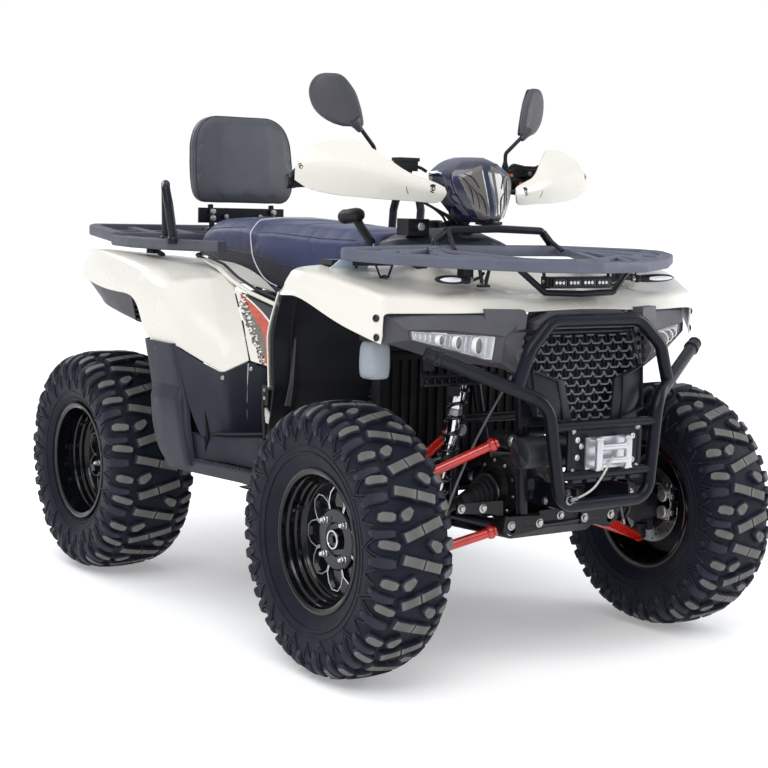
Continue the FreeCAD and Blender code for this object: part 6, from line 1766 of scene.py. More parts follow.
# ---------------------------------------------------------------- bumper fittings, winch plate, fairlead, rope
g = Geo()
for s in (1, -1):
    for z in (591, 480):
        lathe(g, [(15, -3), (13.5, 2), (10.4, 4)], 18, 0, frame_at(((156 if z > 500 else 142) * s, -953 - (5 if z < 500 else 0), z), (-s, 0, 0)))
    # cap and collar at each diagonal end
    e0, e1 = Vector((410 * s, -820, 753)), Vector((384 * s, -833.8, 741.6))
    ax = (e0 - e1).normalized()
    lathe(g, [(15.6, -34), (18.5, -32), (18.5, -22), (15.6, -20)], 22, 0, frame_at(e0, ax))
    lathe(g, [(15.2, -3), (16.6, -2), (16.6, 2), (13, 5), (0.01, 5.5)], 22, 1, frame_at(e0, ax))
    for z in (404, 436):
        bolt(g, (82 * s, -930 if z > 420 else -850, z), (s, 0, 0), 7.0, 5.0, 2, washer=9.5)
    for x, y, z in ((98, -957, 582), (98, -957, 488)):
        bolt(g, (x * s, y, z), (0, -1, 0), 6.0, 4.0, 2, washer=8.0)
    # gusset between hoop and diagonal
    prism(g, [(226 * s, -914, 690), (236 * s, -910, 664), (206 * s, -928, 668)], (0, 5, 0), 0)
for x, z in ((-84, 560), (-84, 520), (-72, 545), (84, 560), (84, 505)):
    bolt(g, (x, -957, z), (0, -1, 0), 5.0, 3.5, 3, kind="button", washer=7.0)
ring = [Vector((-112, -957, 478)), Vector((112, -957, 478)), Vector((112, -957, 592)), Vector((-112, -957, 592))]
ring_faces(g, [ring, toward(ring, (0, -957, 535), 10, (0, -2.5, 0)), toward(ring, (0, -957, 535), 14, (0, 0, 0))], 0)
for k in range(5):
    block(g, (-98 + k * 44, -960, 462), (-70 + k * 44, -954, 472), 0)
g.obj("bumper_fittings", [M["frame"], M["black"], M["boltm"], M["machined"]], "root", "frame_paint", sharp=35, bevel=0)

g = Geo()
block(g, (-62, -962, 492), (62, -957, 564), 0)
for x in (-44, 44):
    lathe(g, [(0.01, -3), (5, -2.5), (5, 0), (8.5, 1), (9.3, 6), (9.3, 60), (8.5, 66), (5, 67), (5, 70), (0.01, 70.5)], 22, 0, frame_at((x, -986, 495), (0, 0, 1)))
    for z in (493, 561):
        block(g, (x - 11, -990, z), (x + 11, -958, z + 4.5), 0)
        lathe(g, [(6.2, 0), (6.2, 2), (4, 3.2), (0.01, 3.6)], 14, 1, frame_at((x, -982, z + (4.5 if z > 520 else 0)), (0, 0, 1 if z > 520 else -1)))
for z in (512, 544):
    lathe(g, [(0.01, -1), (5, 0), (7.4, 2), (7.8, 10), (7.8, 78), (7.4, 86), (5, 88), (0.01, 89)], 22, 0, frame_at((-44, -986, z), (1, 0, 0)))
o = g.obj("fairlead_detail", [M["silver"], M["boltm"]], "root", "machined_metal", sharp=40, bevel=0)
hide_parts("fairlead")
# winch drum, ribs, motor end with its copper ring, gear housing
g = Geo()
lathe(g, [(0.01, 0), (30, 0), (35, 3), (36, 8), (36, 60), (34, 62), (36, 64), (36, 118), (33, 128), (30, 138)], 40, 0, frame_at((-200, -892, 528), (1, 0, 0)))
lathe(g, [(36.6, 68), (37.2, 69), (37.2, 74), (36.6, 75)], 40, 1, frame_at((-200, -892, 528), (1, 0, 0)))
lathe(g, [(40, 62), (41, 64), (41, 128), (38, 134), (0.01, 134)], 40, 0, frame_at((0, -892, 528), (1, 0, 0)))
for k in range(10):
    a = k * math.pi / 5
    M0 = frame_at((132, -892 + 31 * math.cos(a), 528 + 31 * math.sin(a)), (1, 0, 0))
    lathe(g, [(3.2, 0), (3.2, 3), (2, 4), (0.01, 4)], 10, 2, M0)
for k in range(13):
    lathe(g, [(24.5, k * 9 - 58), (27, k * 9 - 55.5), (24.5, k * 9 - 53)], 32, 3, frame_at((0, -892, 528), (1, 0, 0)))
for x in (-66, 66):
    lathe(g, [(24, -4), (40, -4), (41, -2), (41, 3), (40, 5), (24, 5)], 40, 0, frame_at((x, -892, 528), (1, 0, 0)))
for x in (-55, 0, 55, 110):
    block(g, (x - 6, -860, 502), (x + 6, -842, 554), 0)
block(g, (-70, -849, 505), (132, -845, 551), 0)
o = g.obj("winch_detail", [M["castblack"], M["brass"], M["boltm"], M["rope"]], "root", "frame_paint", sharp=35)
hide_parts("winch")

cu = bpy.data.curves.new("rope_line", "CURVE")
cu.dimensions = "3D"
sp = cu.splines.new("NURBS")
route = [(-12, -997, 522), (-46, -1000, 476), (-80, -996, 443), (-112, -982, 431)]
sp.points.add(len(route) - 1)
for q, p in zip(sp.points, route):
    q.co = (p[0] * 0.001, p[1] * 0.001, p[2] * 0.001, 1.0)
sp.order_u = 3
sp.use_endpoint_u = True
sp.resolution_u = 12
cu.bevel_depth = 0.0026
cu.bevel_resolution = 3
rope = bpy.data.objects.new("rope_line", cu)
COL.objects.link(rope)
cu.materials.append(M["rope"])
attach(rope, "root")
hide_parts("winch_rope")
g = Geo()
lathe(g, [(3.4, -2), (4.6, 0), (4.6, 14), (3.2, 16)], 14, 0, frame_at((-104, -986, 434), (-0.9, 0.35, -0.3)))
pts = [(-112 + 9 * math.cos(a) - 8, -982 + 3, 429 + 9 * math.sin(a)) for a in [k * math.pi / 8 for k in range(16)]]
tube(g, pts, 2.4, 8, 0, closed=True)
g.obj("rope_end", [M["steel"]], "root", "machined_metal", sharp=40)

# ---------------------------------------------------------------- coil-over shocks
def helix(a, b, r, turns, step=16, squeeze=1.4):
    a, b = Vector(a), Vector(b)
    M0 = frame_at(a, (b - a).normalized())
    L = (b - a).length
    out = []
    n = int(turns * step)
    for i in range(n + 1):
        t = i / n
        # closer turns at both ends
        z = t + 0.022 * math.sin(2 * math.pi * t) * -squeeze
        q = 2 * math.pi * turns * t
        out.append(M0 @ Vector((r * math.cos(q), r * math.sin(q), L * z)))
    return out


def shock(g, top, low, s):
    a, b = Vector(top), Vector(low)
    ax = (b - a).normalized()
    L = (b - a).length
    P = lambda t: a + ax * t
    M0 = frame_at(a, ax)
    tube(g, helix(P(46), P(L - 62), 19.2, 9.5), 4.3, 10, 0)
    lathe(g, [(0.01, 18), (8.0, 18), (13, 22), (14.5, 30), (14.5, L * 0.46), (12.5, L * 0.47), (12.5, L * 0.5), (6.4, L * 0.505), (6.4, L - 60)], 24, 1, M0)
    lathe(g, [(14.6, 34), (23.5, 36), (24, 39), (23.5, 44), (14.6, 46)], 28, 2, M0)
    lathe(g, [(14.7, L * 0.30), (16.8, L * 0.305), (16.8, L * 0.34), (14.7, L * 0.345)], 24, 3, M0)
    lathe(g, [(6.4, L - 64), (22, L - 63), (23.5, L - 60), (23.5, L - 55), (17, L - 50), (15, L - 28), (10, L - 20), (0.01, L - 20)], 28, 2, M0)
    lathe(g, [(6.6, L * 0.56), (11, L * 0.565), (12.5, L * 0.59), (11, L * 0.615), (6.6, L * 0.62)], 20, 4, M0)
    for c in (a + ax * 8, b - ax * 8):
        lathe(g, [(9, -17), (15.5, -15), (16.5, -12), (16.5, 12), (15.5, 15), (9, 17)], 22, 2, frame_at(c, (0, 1, 0)))
        bolt(g, c + Vector((0, -17, 0)), (0, -1, 0), 8.5, 6.0, 3, washer=11)
        bolt(g, c + Vector((0, 17, 0)), (0, 1, 0), 8.5, 5.0, 3, washer=11)


g = Geo()
for s in (1, -1):
    shock(g, (187 * s, -672, 726), (283 * s, -684, 318), s)
o = g.obj("front_coilovers", [M["spring"], M["chrome"], M["black"], M["boltm"], M["rubber_plain"]], "root", "frame_paint", sharp=40)
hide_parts("front_shocks")
g = Geo()
for s in (1, -1):
    shock(g, (216 * s, 684, 728), (295 * s, 692, 304), s)
o = g.obj("rear_coilovers", [M["spring"], M["chrome"], M["black"], M["boltm"], M["rubber_plain"]], "root", "frame_paint", sharp=40)
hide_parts("rear_shocks")

# ---------------------------------------------------------------- arm bushings, plates, ball joints
g = Geo()
ENDS = {
    "front": [((150, -785, 335), (412, -650, 236)), ((150, -535, 335), (412, -650, 236)), ((160, -792, 545), (405, -645, 408)), ((160, -600, 545), (405, -645, 408))],
    "rear": [((150, 530, 335), (362, 610, 240)), ((150, 770, 335), (362, 690, 240)), ((160, 520, 500), (360, 612, 400)), ((160, 790, 500), (360, 692, 400))],
}
for kind, rows in ENDS.items():
    for (x0, y0, z0), (x1, y1, z1) in rows:
        for s in (1, -1):
            a, b = Vector((x0 * s, y0, z0)), Vector((x1 * s, y1, z1))
            ax = (b - a).normalized()
            # black sleeve, steel washers and the pivot bolt
            M0 = frame_at(a, (0, 1, 0))
            lathe(g, [(8, -27), (19.5, -26), (21, -24), (21, 24), (19.5, 26), (8, 27)], 26, 0, M0)
            lathe(g, [(7, 27), (15, 27.2), (15, 30), (7, 30.2)], 22, 1, M0)
            bolt(g, (a.x, a.y - 27, a.z), (0, -1, 0), 10.0, 7.0, 1, washer=14)
            bolt(g, (a.x, a.y + 30, a.z), (0, 1, 0), 9.0, 6.0, 1)
            lathe(g, [(13.6, 24), (16.4, 27), (16.8, 34), (14.2, 40)], 22, 2, frame_at(a, ax))
    # stiffening plates between the two legs of each arm
for s in (1, -1):
    for pts, dz in (([(330, -692, 268), (330, -616, 268), (282, -594, 286), (282, -717, 286)], 4), ([(330, -690, 448), (330, -634, 448), (288, -626, 472), (288, -715, 472)], 4),
                    ([(300, 586, 268), (300, 714, 268), (262, 728, 284), (262, 572, 284)], 4), ([(300, 585, 430), (300, 720, 430), (264, 740, 448), (264, 568, 448)], 4)):
        prism(g, [(x * s, y, z) for x, y, z in pts], (0, 0, dz), 2)
    # ball joints with rubber boots at the knuckles
    for c, up in (((408, -649, 243), 1), ((402, -645, 401), -1)):
        M0 = frame_at((c[0] * s, c[1], c[2]), (0.1 * s, 0, up))
        lathe(g, [(20, -8), (22, -4), (22, 6), (19, 9), (13, 20), (9, 26)], 24, 3, M0)
    for c in ((345, 612, 240), (345, 692, 240), (343, 612, 402), (343, 692, 402)):
        lathe(g, [(12, -13), (17, -12), (17, 12), (12, 13)], 20, 0, frame_at((c[0] * s, c[1], c[2]), (0, 1, 0)))
g.obj("arm_joints", [M["black"], M["boltm"], M["red"], M["rubber_plain"]], "root", "arm_red", sharp=38)

# ---------------------------------------------------------------- half-shaft boots, drive cases, prop shafts
g = Geo()
for y, x_out in ((-642, 352), (642, 330)):
    for s in (1, -1):
        a, b = Vector((84 * s, y, 400)), Vector((x_out * s, y, 317.5))
        ax = (b - a).normalized()
        L = (b - a).length
        for at, d in ((a - ax * 6, ax), (b + ax * 2, -ax)):
            M0 = frame_at(at, d)
            prof = [(34, 0), (40, 2), (40, 12), (34, 14)]
            r = 37.0
            for k in range(5):
                z = 16 + k * 12
                prof += [(r - 7, z), (r, z + 4), (r - 1.5, z + 8), (r - 7.5, z + 11)]
                r -= 4.2
            prof += [(15.5, 78), (15.5, 86), (12, 88)]
            lathe(g, prof, 36, 0, M0)
            lathe(g, [(40.3, 5), (41, 5.6), (41, 8.6), (40.3, 9.2)], 36, 1, M0)
            lathe(g, [(15.8, 79), (16.5, 80), (16.5, 84), (15.8, 85)], 30, 1, M0)
        lathe(g, [(11.5, L * 0.35), (11.5, L * 0.65)], 20, 2, frame_at(a, ax))
    sg = 1 if y > 0 else -1
    # case: ribs, cover rim with bolts
    for s in (1, -1):
        M0 = frame_at((58 * s, y, 400), (s, 0, 0))
        lathe(g, [(46, -10), (74, -9), (75.5, -7), (75.5, 0), (72, 2), (50, 6), (44, 14), (42, 22)], 44, 3, M0)
        for k in range(10):
            q = 2 * math.pi * k / 10 + 0.2
            bolt(g, (60 * s, y + 67 * math.cos(q), 400 + 67 * math.sin(q)), (s, 0, 0), 5.0, 3.6, 1)
    for k in range(12):
        q = 2 * math.pi * k / 12
        c, sn = math.cos(q), math.sin(q)
        g.add([(-44, y + 70 * c - 2.5 * sn, 400 + 70 * sn + 2.5 * c), (-44, y + 70 * c + 2.5 * sn, 400 + 70 * sn - 2.5 * c), (44, y + 70 * c + 2.5 * sn, 400 + 70 * sn - 2.5 * c), (44, y + 70 * c - 2.5 * sn, 400 + 70 * sn + 2.5 * c),
               (-40, y + 79 * c - 2 * sn, 400 + 79 * sn + 2 * c), (-40, y + 79 * c + 2 * sn, 400 + 79 * sn - 2 * c), (40, y + 79 * c + 2 * sn, 400 + 79 * sn - 2 * c), (40, y + 79 * c - 2 * sn, 400 + 79 * sn + 2 * c)],
              [(4, 5, 6, 7), (0, 4, 7, 3), (5, 1, 2, 6), (0, 1, 5, 4), (3, 7, 6, 2)], 3, False)
    # nose of the case towards the engine and the shaft from it
    M0 = frame_at((0, y, 402), (0, -sg, 0.0))
    lathe(g, [(70, 40), (58, 74), (40, 92), (36, 112), (30, 116), (24, 118)], 36, 3, M0)
    lathe(g, [(24, 116), (29, 118), (29, 128), (20, 132), (17, 140), (17, 150)], 24, 2, M0)
    lathe(g, [(34, -76), (44, -70), (60, -50), (66, -30)], 30, 3, M0)
    end = -248 if y < 0 else 262
    tube(g, [(0, y - sg * 140, 402), (0, end, 402)], 16.5, 18, 2)
    for yy in (y - sg * 152, end - (14 if y < 0 else -14)):
        lathe(g, [(17, -13), (25, -10), (26, -3), (26, 3), (25, 10), (17, 13)], 22, 4, frame_at((0, yy, 402), (0, 1, 0)))
g.obj("drive_detail", [M["rubber_plain"], M["boltm"], M["frame"], M["castblack"], M["steel"]], "root", "frame_paint", sharp=35)

# ---------------------------------------------------------------- engine: covers, fins, pipes
g = Geo()
for s in (1, -1):
    M0 = frame_at((126 * s, -60, 430), (s, 0, 0))
    lathe(g, [(118, 0), (116, 10), (104, 20), (60, 24), (56, 20), (30, 20), (26, 24), (0.01, 25)], 48, 0, M0)
    for k in range(12):
        q = 2 * math.pi * k / 12
        bolt(g, (136 * s, -60 + 108 * math.cos(q), 430 + 108 * math.sin(q)), (s, 0, 0), 5.2, 4.0, 1)
    M0 = frame_at((126 * s, 150, 440), (s, 0, 0))
    lathe(g, [(84, 0), (82, 10), (72, 18), (20, 21), (0.01, 21)], 40, 0, M0)
    for k in range(8):
        q = 2 * math.pi * k / 8 + 0.3
        bolt(g, (135 * s, 150 + 75 * math.cos(q), 440 + 75 * math.sin(q)), (s, 0, 0), 5.0, 3.6, 1)
    for k in range(8):
        block(g, (min(126 * s, 141 * s), -190, 566 + k * 15), (max(126 * s, 141 * s), 10, 571 + k * 15), 0)
    for k in range(6):
        block(g, (min(126 * s, 137 * s), 40 + k * 30, 580), (max(126 * s, 137 * s), 48 + k * 30, 680), 0)
for k in range(8):
    block(g, (-118, -250, 566 + k * 15), (118, -234, 571 + k * 15), 0)
for k in range(7):
    block(g, (-110 + k * 36, -246, 300), (-104 + k * 36, -234, 540), 0)
    block(g, (-110 + k * 36, 254, 300), (-104 + k * 36, 265, 660), 0)
lathe(g, [(52, 0), (52, 16), (46, 22), (20, 24), (0.01, 24)], 36, 0, frame_at((0, -236, 400), (0, -1, 0)))
# exhaust from the front of the engine back to the muffler
tube(g, [(-60, -246, 560), (-60, -290, 540), (-100, -300, 500), (-152, -260, 480), (-160, -60, 500), (-158, 180, 548), (-130, 330, 570), (-60, 430, 580), (-38, 540, 590)], 17.5, 18, 2, rad=50, n=6)
for p, d in (((-160, -60, 500), (0, 1, 0.1)), ((-158, 120, 534), (0, 1, 0.2))):
    lathe(g, [(17.6, -4), (20, -3), (20, 3), (17.6, 4)], 22, 1, frame_at(p, d))
lathe(g, [(25, 0), (25, 5), (18, 7)], 22, 1, frame_at((-60, -248, 560), (0, -1, -0.2)))
# oil pan ribs under the block
for k in range(9):
    block(g, (-112, -210 + k * 54, 277), (112, -204 + k * 54, 287), 0)
g.obj("engine_detail", [M["engine"], M["boltm"], M["castblack"]], "root", "engine_metal", sharp=38)

# muffler shell, straps and tail pipe
g = Geo()
M0 = frame_at((-38, 560, 590), (0, 310, 30))
Lm = math.hypot(310, 30)
lathe(g, [(20, -4), (40, 0), (55, 10), (58, 20), (58, Lm - 22), (55, Lm - 8), (44, Lm), (24, Lm + 2)], 44, 0, M0)
for z in (60, Lm - 70):
    lathe(g, [(58.2, z - 9), (60.5, z - 8), (60.5, z + 8), (58.2, z + 9)], 44, 1, M0)
for k in range(7):
    lathe(g, [(58.2, 92 + k * 16), (59.8, 94 + k * 16), (59.8, 98 + k * 16), (58.2, 100 + k * 16)], 44, 0, M0)
lathe(g, [(24, Lm + 1), (20, Lm + 4), (18, Lm + 10), (18, Lm + 52), (19.5, Lm + 55), (16.5, Lm + 55), (15.5, Lm + 50), (15.5, Lm + 10), (0.01, Lm + 10)], 28, 2, M0)
tube(g, [(-38, 640, 660), (-38, 640, 712)], 7, 10, 1)
tube(g, [(-38, 800, 672), (-38, 800, 716)], 7, 10, 1)
o = g.obj("muffler_detail", [M["castblack"], M["frame"], M["steel"]], "root", "frame_paint", sharp=35)
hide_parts("muffler")

# ---------------------------------------------------------------- hubs, brake discs, calipers
for w, (s, cx, cy, half, dish) in WHEELS.items():
    g = Geo()
    front = "front" in w
    M0 = frame_at((s * cx, cy, 317.5), (s, 0, 0))
    x0 = -62 if front else -96
    lathe(g, [(26, x0), (36, x0 + 3), (38, x0 + 14), (30, x0 + 20), (30, dish - 22), (62, dish - 18), (66, dish - 16), (66, dish - 9.6), (30, dish - 9.4)], 40, 0, M0)
    # brake disc: carrier, swept ring, drilled holes shown as dark wells
    xd = -44 if front else -80
    lathe(g, [(36, xd - 3), (58, xd - 3), (60, xd - 2), (60, xd + 2), (58, xd + 3), (36, xd + 3)], 36, 1, M0)
    lathe(g, [(64, xd - 2), (99, xd - 2), (100, xd - 1.2), (100, xd + 1.2), (99, xd + 2), (64, xd + 2)], 60, 2, M0, closed=True)
    for k in range(9):
        q = 2 * math.pi * k / 9
        c, sn = math.cos(q), math.sin(q)
        tube(g, [M0 @ Vector((56 * c, 56 * sn, xd)), M0 @ Vector((70 * math.cos(q + 0.2), 70 * math.sin(q + 0.2), xd))], 3.4, 8, 1)
        for r, dq in ((73, 0.0), (82, 0.18), (91, 0.36)):
            for sgn in (1, -1):
                p = M0 @ Vector((r * math.cos(q + dq), r * math.sin(q + dq), xd + sgn * 2.06))
                d = M0.to_3x3() @ Vector((0, 0, sgn))
                lathe(g, [(3.3, -0.05), (0.01, 0.02)], 12, 3, frame_at(p, d))
    for k in range(4):
        q = math.pi / 4 + k * math.pi / 2 + (0.35 if front else 0.1)
        p = M0 @ Vector((55 * math.cos(q), 55 * math.sin(q), dish - 16))
        lathe(g, [(8, -8), (8, 0), (6, 1)], 14, 0, frame_at(p, M0.to_3x3() @ Vector((0, 0, -1))))
    o = g.obj("hub_detail_" + w, [M["castblack"], M["black"], M["steel"], M["black"]], "wheel_" + w, "machined_metal", sharp=35)
    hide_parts("hub_" + w)
for tag, s in (("left", 1), ("right", -1)):
    g = Geo()
    m = lambda x, y, z: (x * s, y, z)
    # front caliper: two bridged halves with bolts, bleed nipple and hose union
    for lo, hi in (((424, -744, 292), (440, -700, 374)), ((443, -742, 296), (452, -704, 370))):
        block(g, (min(lo[0] * s, hi[0] * s), lo[1], lo[2]), (max(lo[0] * s, hi[0] * s), hi[1], hi[2]), 0)
    for z in (312, 354):
        lathe(g, [(15, -4), (17, -2), (17, 6), (14, 9), (0.01, 9.5)], 24, 1, frame_at(m(424, -722, z), (-s, 0, 0)))
        bolt(g, m(430, -745, z), (0, -1, 0), 7.5, 6.0, 2, washer=9)
    block(g, (min(424 * s, 452 * s), -749, 324), (max(424 * s, 452 * s), -740, 342), 0)
    bolt(g, m(436, -722, 376), (0, 0, 1), 5.0, 8.0, 3)
    tube(g, [m(424, -722, 366), m(412, -722, 384), m(398, -716, 388)], 3.6, 8, 4, rad=8)
    bolt(g, m(437, -735, 374), (0, 0, 1), 4.0, 9.0, 2)
    # steering arm end and its ball joint
    lathe(g, [(13, -12), (15, -10), (15, 4), (11, 8), (7, 14)], 20, 4, frame_at(m(386, -538, 412), (0, 0, -1)))
    bolt(g, m(386, -538, 424), (0, 0, 1), 8.0, 7.0, 2, washer=11)
    o = g.obj("caliper_" + tag, [M["machined"], M["boltm"], M["boltm"], M["brass"], M["rubber_plain"]], "knuckle_" + tag, "machined_metal", sharp=35, bevel=1.6, angle=40)

# ---------------------------------------------------------------- cables and hoses along their routes
def cord_curve(name, routes, r, mat, body):
    cu = bpy.data.curves.new(name, "CURVE")
    cu.dimensions = "3D"
    for route in routes:
        sp = cu.splines.new("NURBS")
        sp.points.add(len(route) - 1)
        for q, p in zip(sp.points, route):
            q.co = (p[0] * 0.001, p[1] * 0.001, p[2] * 0.001, 1.0)
        sp.order_u = 3
        sp.use_endpoint_u = True
        sp.resolution_u = 10
    cu.bevel_depth = r * 0.001
    cu.bevel_resolution = 3
    cu.use_fill_caps = True
    cu.materials.append(mat)
    ob = bpy.data.objects.new(name, cu)
    COL.objects.link(ob)
    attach(ob, body)
    return ob


column = lambda z: -530 + (z - 430) * 185.0 / 670.0
routes = []
for s, ends in ((-1, ((-21, 2), (-15, -14), (-3, -21))), (1, ((21, 2), (15, -14)))):
    for k, (ox, oy) in enumerate(ends):
        routes.append([(s * 152, -346 - k * 8, 1110 - k * 2), (s * 140, -388 - k * 9, 1094 - k * 4), (s * (90 - k * 3), -402 - k * 10, 1068 - k * 4),
                       (ox, column(1038) + oy, 1038), (ox, column(988) + oy, 988)])
o = cord_curve("control_cables", routes, 3.2, M["rubber_plain"], "steering")
if "cables" in NODES:
    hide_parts("cables")
routes = [[(s * 128, -772, 690), (s * 166, -746, 606), (s * 212, -726, 505), (s * 264, -722, 392), (s * 293, -716, 300)] for s in (1, -1)]
o = cord_curve("front_brake_hoses", routes, 3.0, M["hose"], "root")
if "brake_hoses" in NODES:
    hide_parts("brake_hoses")
g = Geo()
for s in (1, -1):
    for p, d in (((128, -772, 690), (0.4, 0.25, -0.9)), ((293, -716, 300), (0.3, 0.06, -0.95))):
        lathe(g, [(4.2, -4), (5.2, -3), (5.2, 9), (3.4, 11)], 14, 0, frame_at((p[0] * s, p[1], p[2]), (d[0] * s, d[1], d[2])))
    # clip and clamp bands
    block(g, (min(118 * s, 140 * s), -782, 694), (max(118 * s, 140 * s), -764, 698), 1)
g.obj("hose_unions", [M["boltm"], M["frame"]], "root", "frame_paint", sharp=40)

# ---------------------------------------------------------------- parts seen in the front wheel arches
g = Geo()
# perforated cross member between the shock towers
for s in (1, -1):
    for z in (668, 688):
        tube(g, [(120 * s, -712, z), (330 * s, -706, z)], 4.0, 8, 0)
    for k in range(10):
        x = (134 + k * 21) * s
        lathe(g, [(4.6, -3), (7.2, -2.4), (7.2, 2.4), (4.6, 3)], 14, 0, frame_at((x, -710, 678), (0, 1, 0)))
    prism(g, [(120 * s, -705, 664), (335 * s, -699, 664), (335 * s, -699, 692), (120 * s, -705, 692)], (0, 2, 0), 0)
    # shock tower plates
    for y in (-694, -650):
        prism(g, [(150 * s, y, 770), (214 * s, y, 770), (222 * s, y, 712), (172 * s, y, 690), (142 * s, y, 720)], (0, 4, 0), 0)
    for y in (662, 706):
        prism(g, [(150 * s, y, 770), (240 * s, y, 770), (250 * s, y, 712), (200 * s, y, 690), (142 * s, y, 720)], (0, 4, 0), 0)
    # small bracket and connector blocks
    block(g, (min(236 * s, 262 * s), -716, 640), (max(236 * s, 262 * s), -704, 664), 1)
    block(g, (min(300 * s, 322 * s), -700, 700), (max(300 * s, 322 * s), -686, 724), 1)
g.obj("arch_parts", [M["frame"], M["rubber_plain"]], "root", "frame_paint", sharp=40)
g = Geo()
# overflow bottle with wedge cap, in the right front arch
rings = []
for z, a, b in ((676, 20, 20), (680, 28, 28), (700, 31, 31), (728, 31, 31), (750, 29, 30), (762, 24, 25), (768, 16, 16)):
    rings.append([(-402 + a * math.copysign(abs(math.cos(q)) ** 0.6, math.cos(q)), -606 + b * math.copysign(abs(math.sin(q)) ** 0.6, math.sin(q)), z) for q in [2 * math.pi * k / 28 for k in range(28)]])
loft(g, rings, 0, sub=2)
prism(g, [(-432, -634, 764), (-372, -634, 772), (-372, -584, 772), (-432, -584, 764)], (0, 0, 22), 1)
lathe(g, [(15, 0), (15, 8), (13, 11), (0.01, 11)], 20, 1, frame_at((-402, -606, 786), (0, 0, 1)))
g.obj("overflow_bottle", [M["bottle"], M["black"]], "root", "shell_dark", sharp=45)

# ---------------------------------------------------------------- ribbed splash panel ahead of the engine
g = Geo()
prism(g, [(x, -384, z) for x, z in ((-215, 345), (215, 345), (228, 470), (228, 700), (190, 745), (-190, 745), (-228, 700), (-228, 470))], (0, 5, 0), 0)
for k in range(15):
    x = -196 + k * 28
    prism(g, [(x - 3, -385, 362), (x + 3, -385, 362), (x + 3, -385, 690), (x - 3, -385, 690)], (0, -5, 0), 0)
for z in (352, 708):
    tube(g, [(-212, -388, z), (212, -388, z)], 5.0, 8, 0)
g.obj("splash_panel", [M["black"]], "root", "shell_dark", sharp=40)
# bracket plates and bolts at the front of the frame
g = Geo()
for s in (1, -1):
    prism(g, [(x * s, -812, z) for x, z in ((60, 362), (172, 368), (178, 334), (150, 322), (58, 330))], (0, -7, 0), 0)
    prism(g, [(x * s, -800, z) for x, z in ((170, 404), (300, 407), (304, 384), (206, 376), (168, 366))], (0, -5, 0), 0)
    for x, z in ((154, 346), (70, 345), (290, 395), (228, 391)):
        bolt(g, (x * s, -805 if x > 180 else -819, z), (0, -1, 0), 7.5, 6.0, 1, washer=11)
bolt(g, (0, -812, 356), (0, -1, 0), 7.5, 6.0, 1, washer=11)
prism(g, [(x, -806, z) for x, z in ((-64, 372), (64, 372), (64, 330), (-64, 330))], (0, -5, 0), 0)
g.obj("front_brackets", [M["black"], M["boltm"]], "root", "frame_paint", sharp=40)

# ---------------------------------------------------------------- air box and tool box under the seat
g = Geo()
for lo, hi in (((-104, -150, 712), (104, 190, 806)), ((-96, 250, 720), (96, 540, 812))):
    a, b = Vector(lo), Vector(hi)
    ring = lambda z, d: [tuple(p) for p in rounded([(a.x + d, a.y + d, z), (b.x - d, a.y + d, z), (b.x - d, b.y - d, z), (a.x + d, b.y - d, z)], 22, 4, True)]
    L = [ring(a.z, 10), ring(a.z + 6, 2), ring((a.z + b.z) / 2 - 4, 0), ring((a.z + b.z) / 2 - 3, -4), ring((a.z + b.z) / 2 + 5, -4), ring((a.z + b.z) / 2 + 6, 0), ring(b.z - 6, 3), ring(b.z, 12)]
    ring_faces(g, [[Vector(p) for p in r] for r in L], 0, cap=0)
    g.add(L[0], [tuple(range(len(L[0])))[::-1]], 0, False)
    for s in (1, -1):
        for k in range(5):
            y = a.y + 40 + k * (b.y - a.y - 80) / 4
            block(g, (min((b.x - 2) * s, (b.x + 4) * s), y - 6, a.z + 14), (max((b.x - 2) * s, (b.x + 4) * s), y + 6, a.z + 36), 0)
            bolt(g, ((b.x + 2) * s, y, (a.z + b.z) / 2 + 1), (s, 0, 0), 4.0, 3.0, 1)
g.obj("under_seat_boxes", [M["black"], M["boltd"]], "root", "shell_dark", sharp=40)

# ---------------------------------------------------------------- hand guards
g = Geo()
guard_rows = [
    [(118, -459, 1121), (134, -452, 1129), (200, -430, 1150), (262, -384, 1203), (300, -352, 1227), (368, -337, 1226), (422, -332, 1205), (448, -330, 1176)],
    [(112, -466, 1116), (130, -461, 1124), (200, -445, 1141), (262, -422, 1160), (304, -399, 1172), (374, -368, 1178), (429, -347, 1172), (458, -336, 1163)],
    [(109, -469, 1106), (127, -467, 1110), (200, -452, 1124), (262, -431, 1139), (306, -408, 1150), (378, -374, 1158), (433, -350, 1156), (460, -337, 1152)],
    [(118, -462, 1089), (133, -457, 1083), (200, -442, 1088), (262, -419, 1090), (306, -396, 1093), (380, -363, 1099), (430, -344, 1111), (459, -334, 1130)],
]
for s in (1, -1):
    S, U, Vv = patch(guard_rows, [0.22, 0.3], [0.4, 0.35, 0.35, 0.3, 0.35, 0.35], 3, 3, 4)
    closed_patch(g, S, 0, flip=True, s=s, thick=5.0)
o = g.obj("guard_shells", [M["cream"]], "steering", "shell_cream", sharp=55)
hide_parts("hand_guards")
g = Geo()
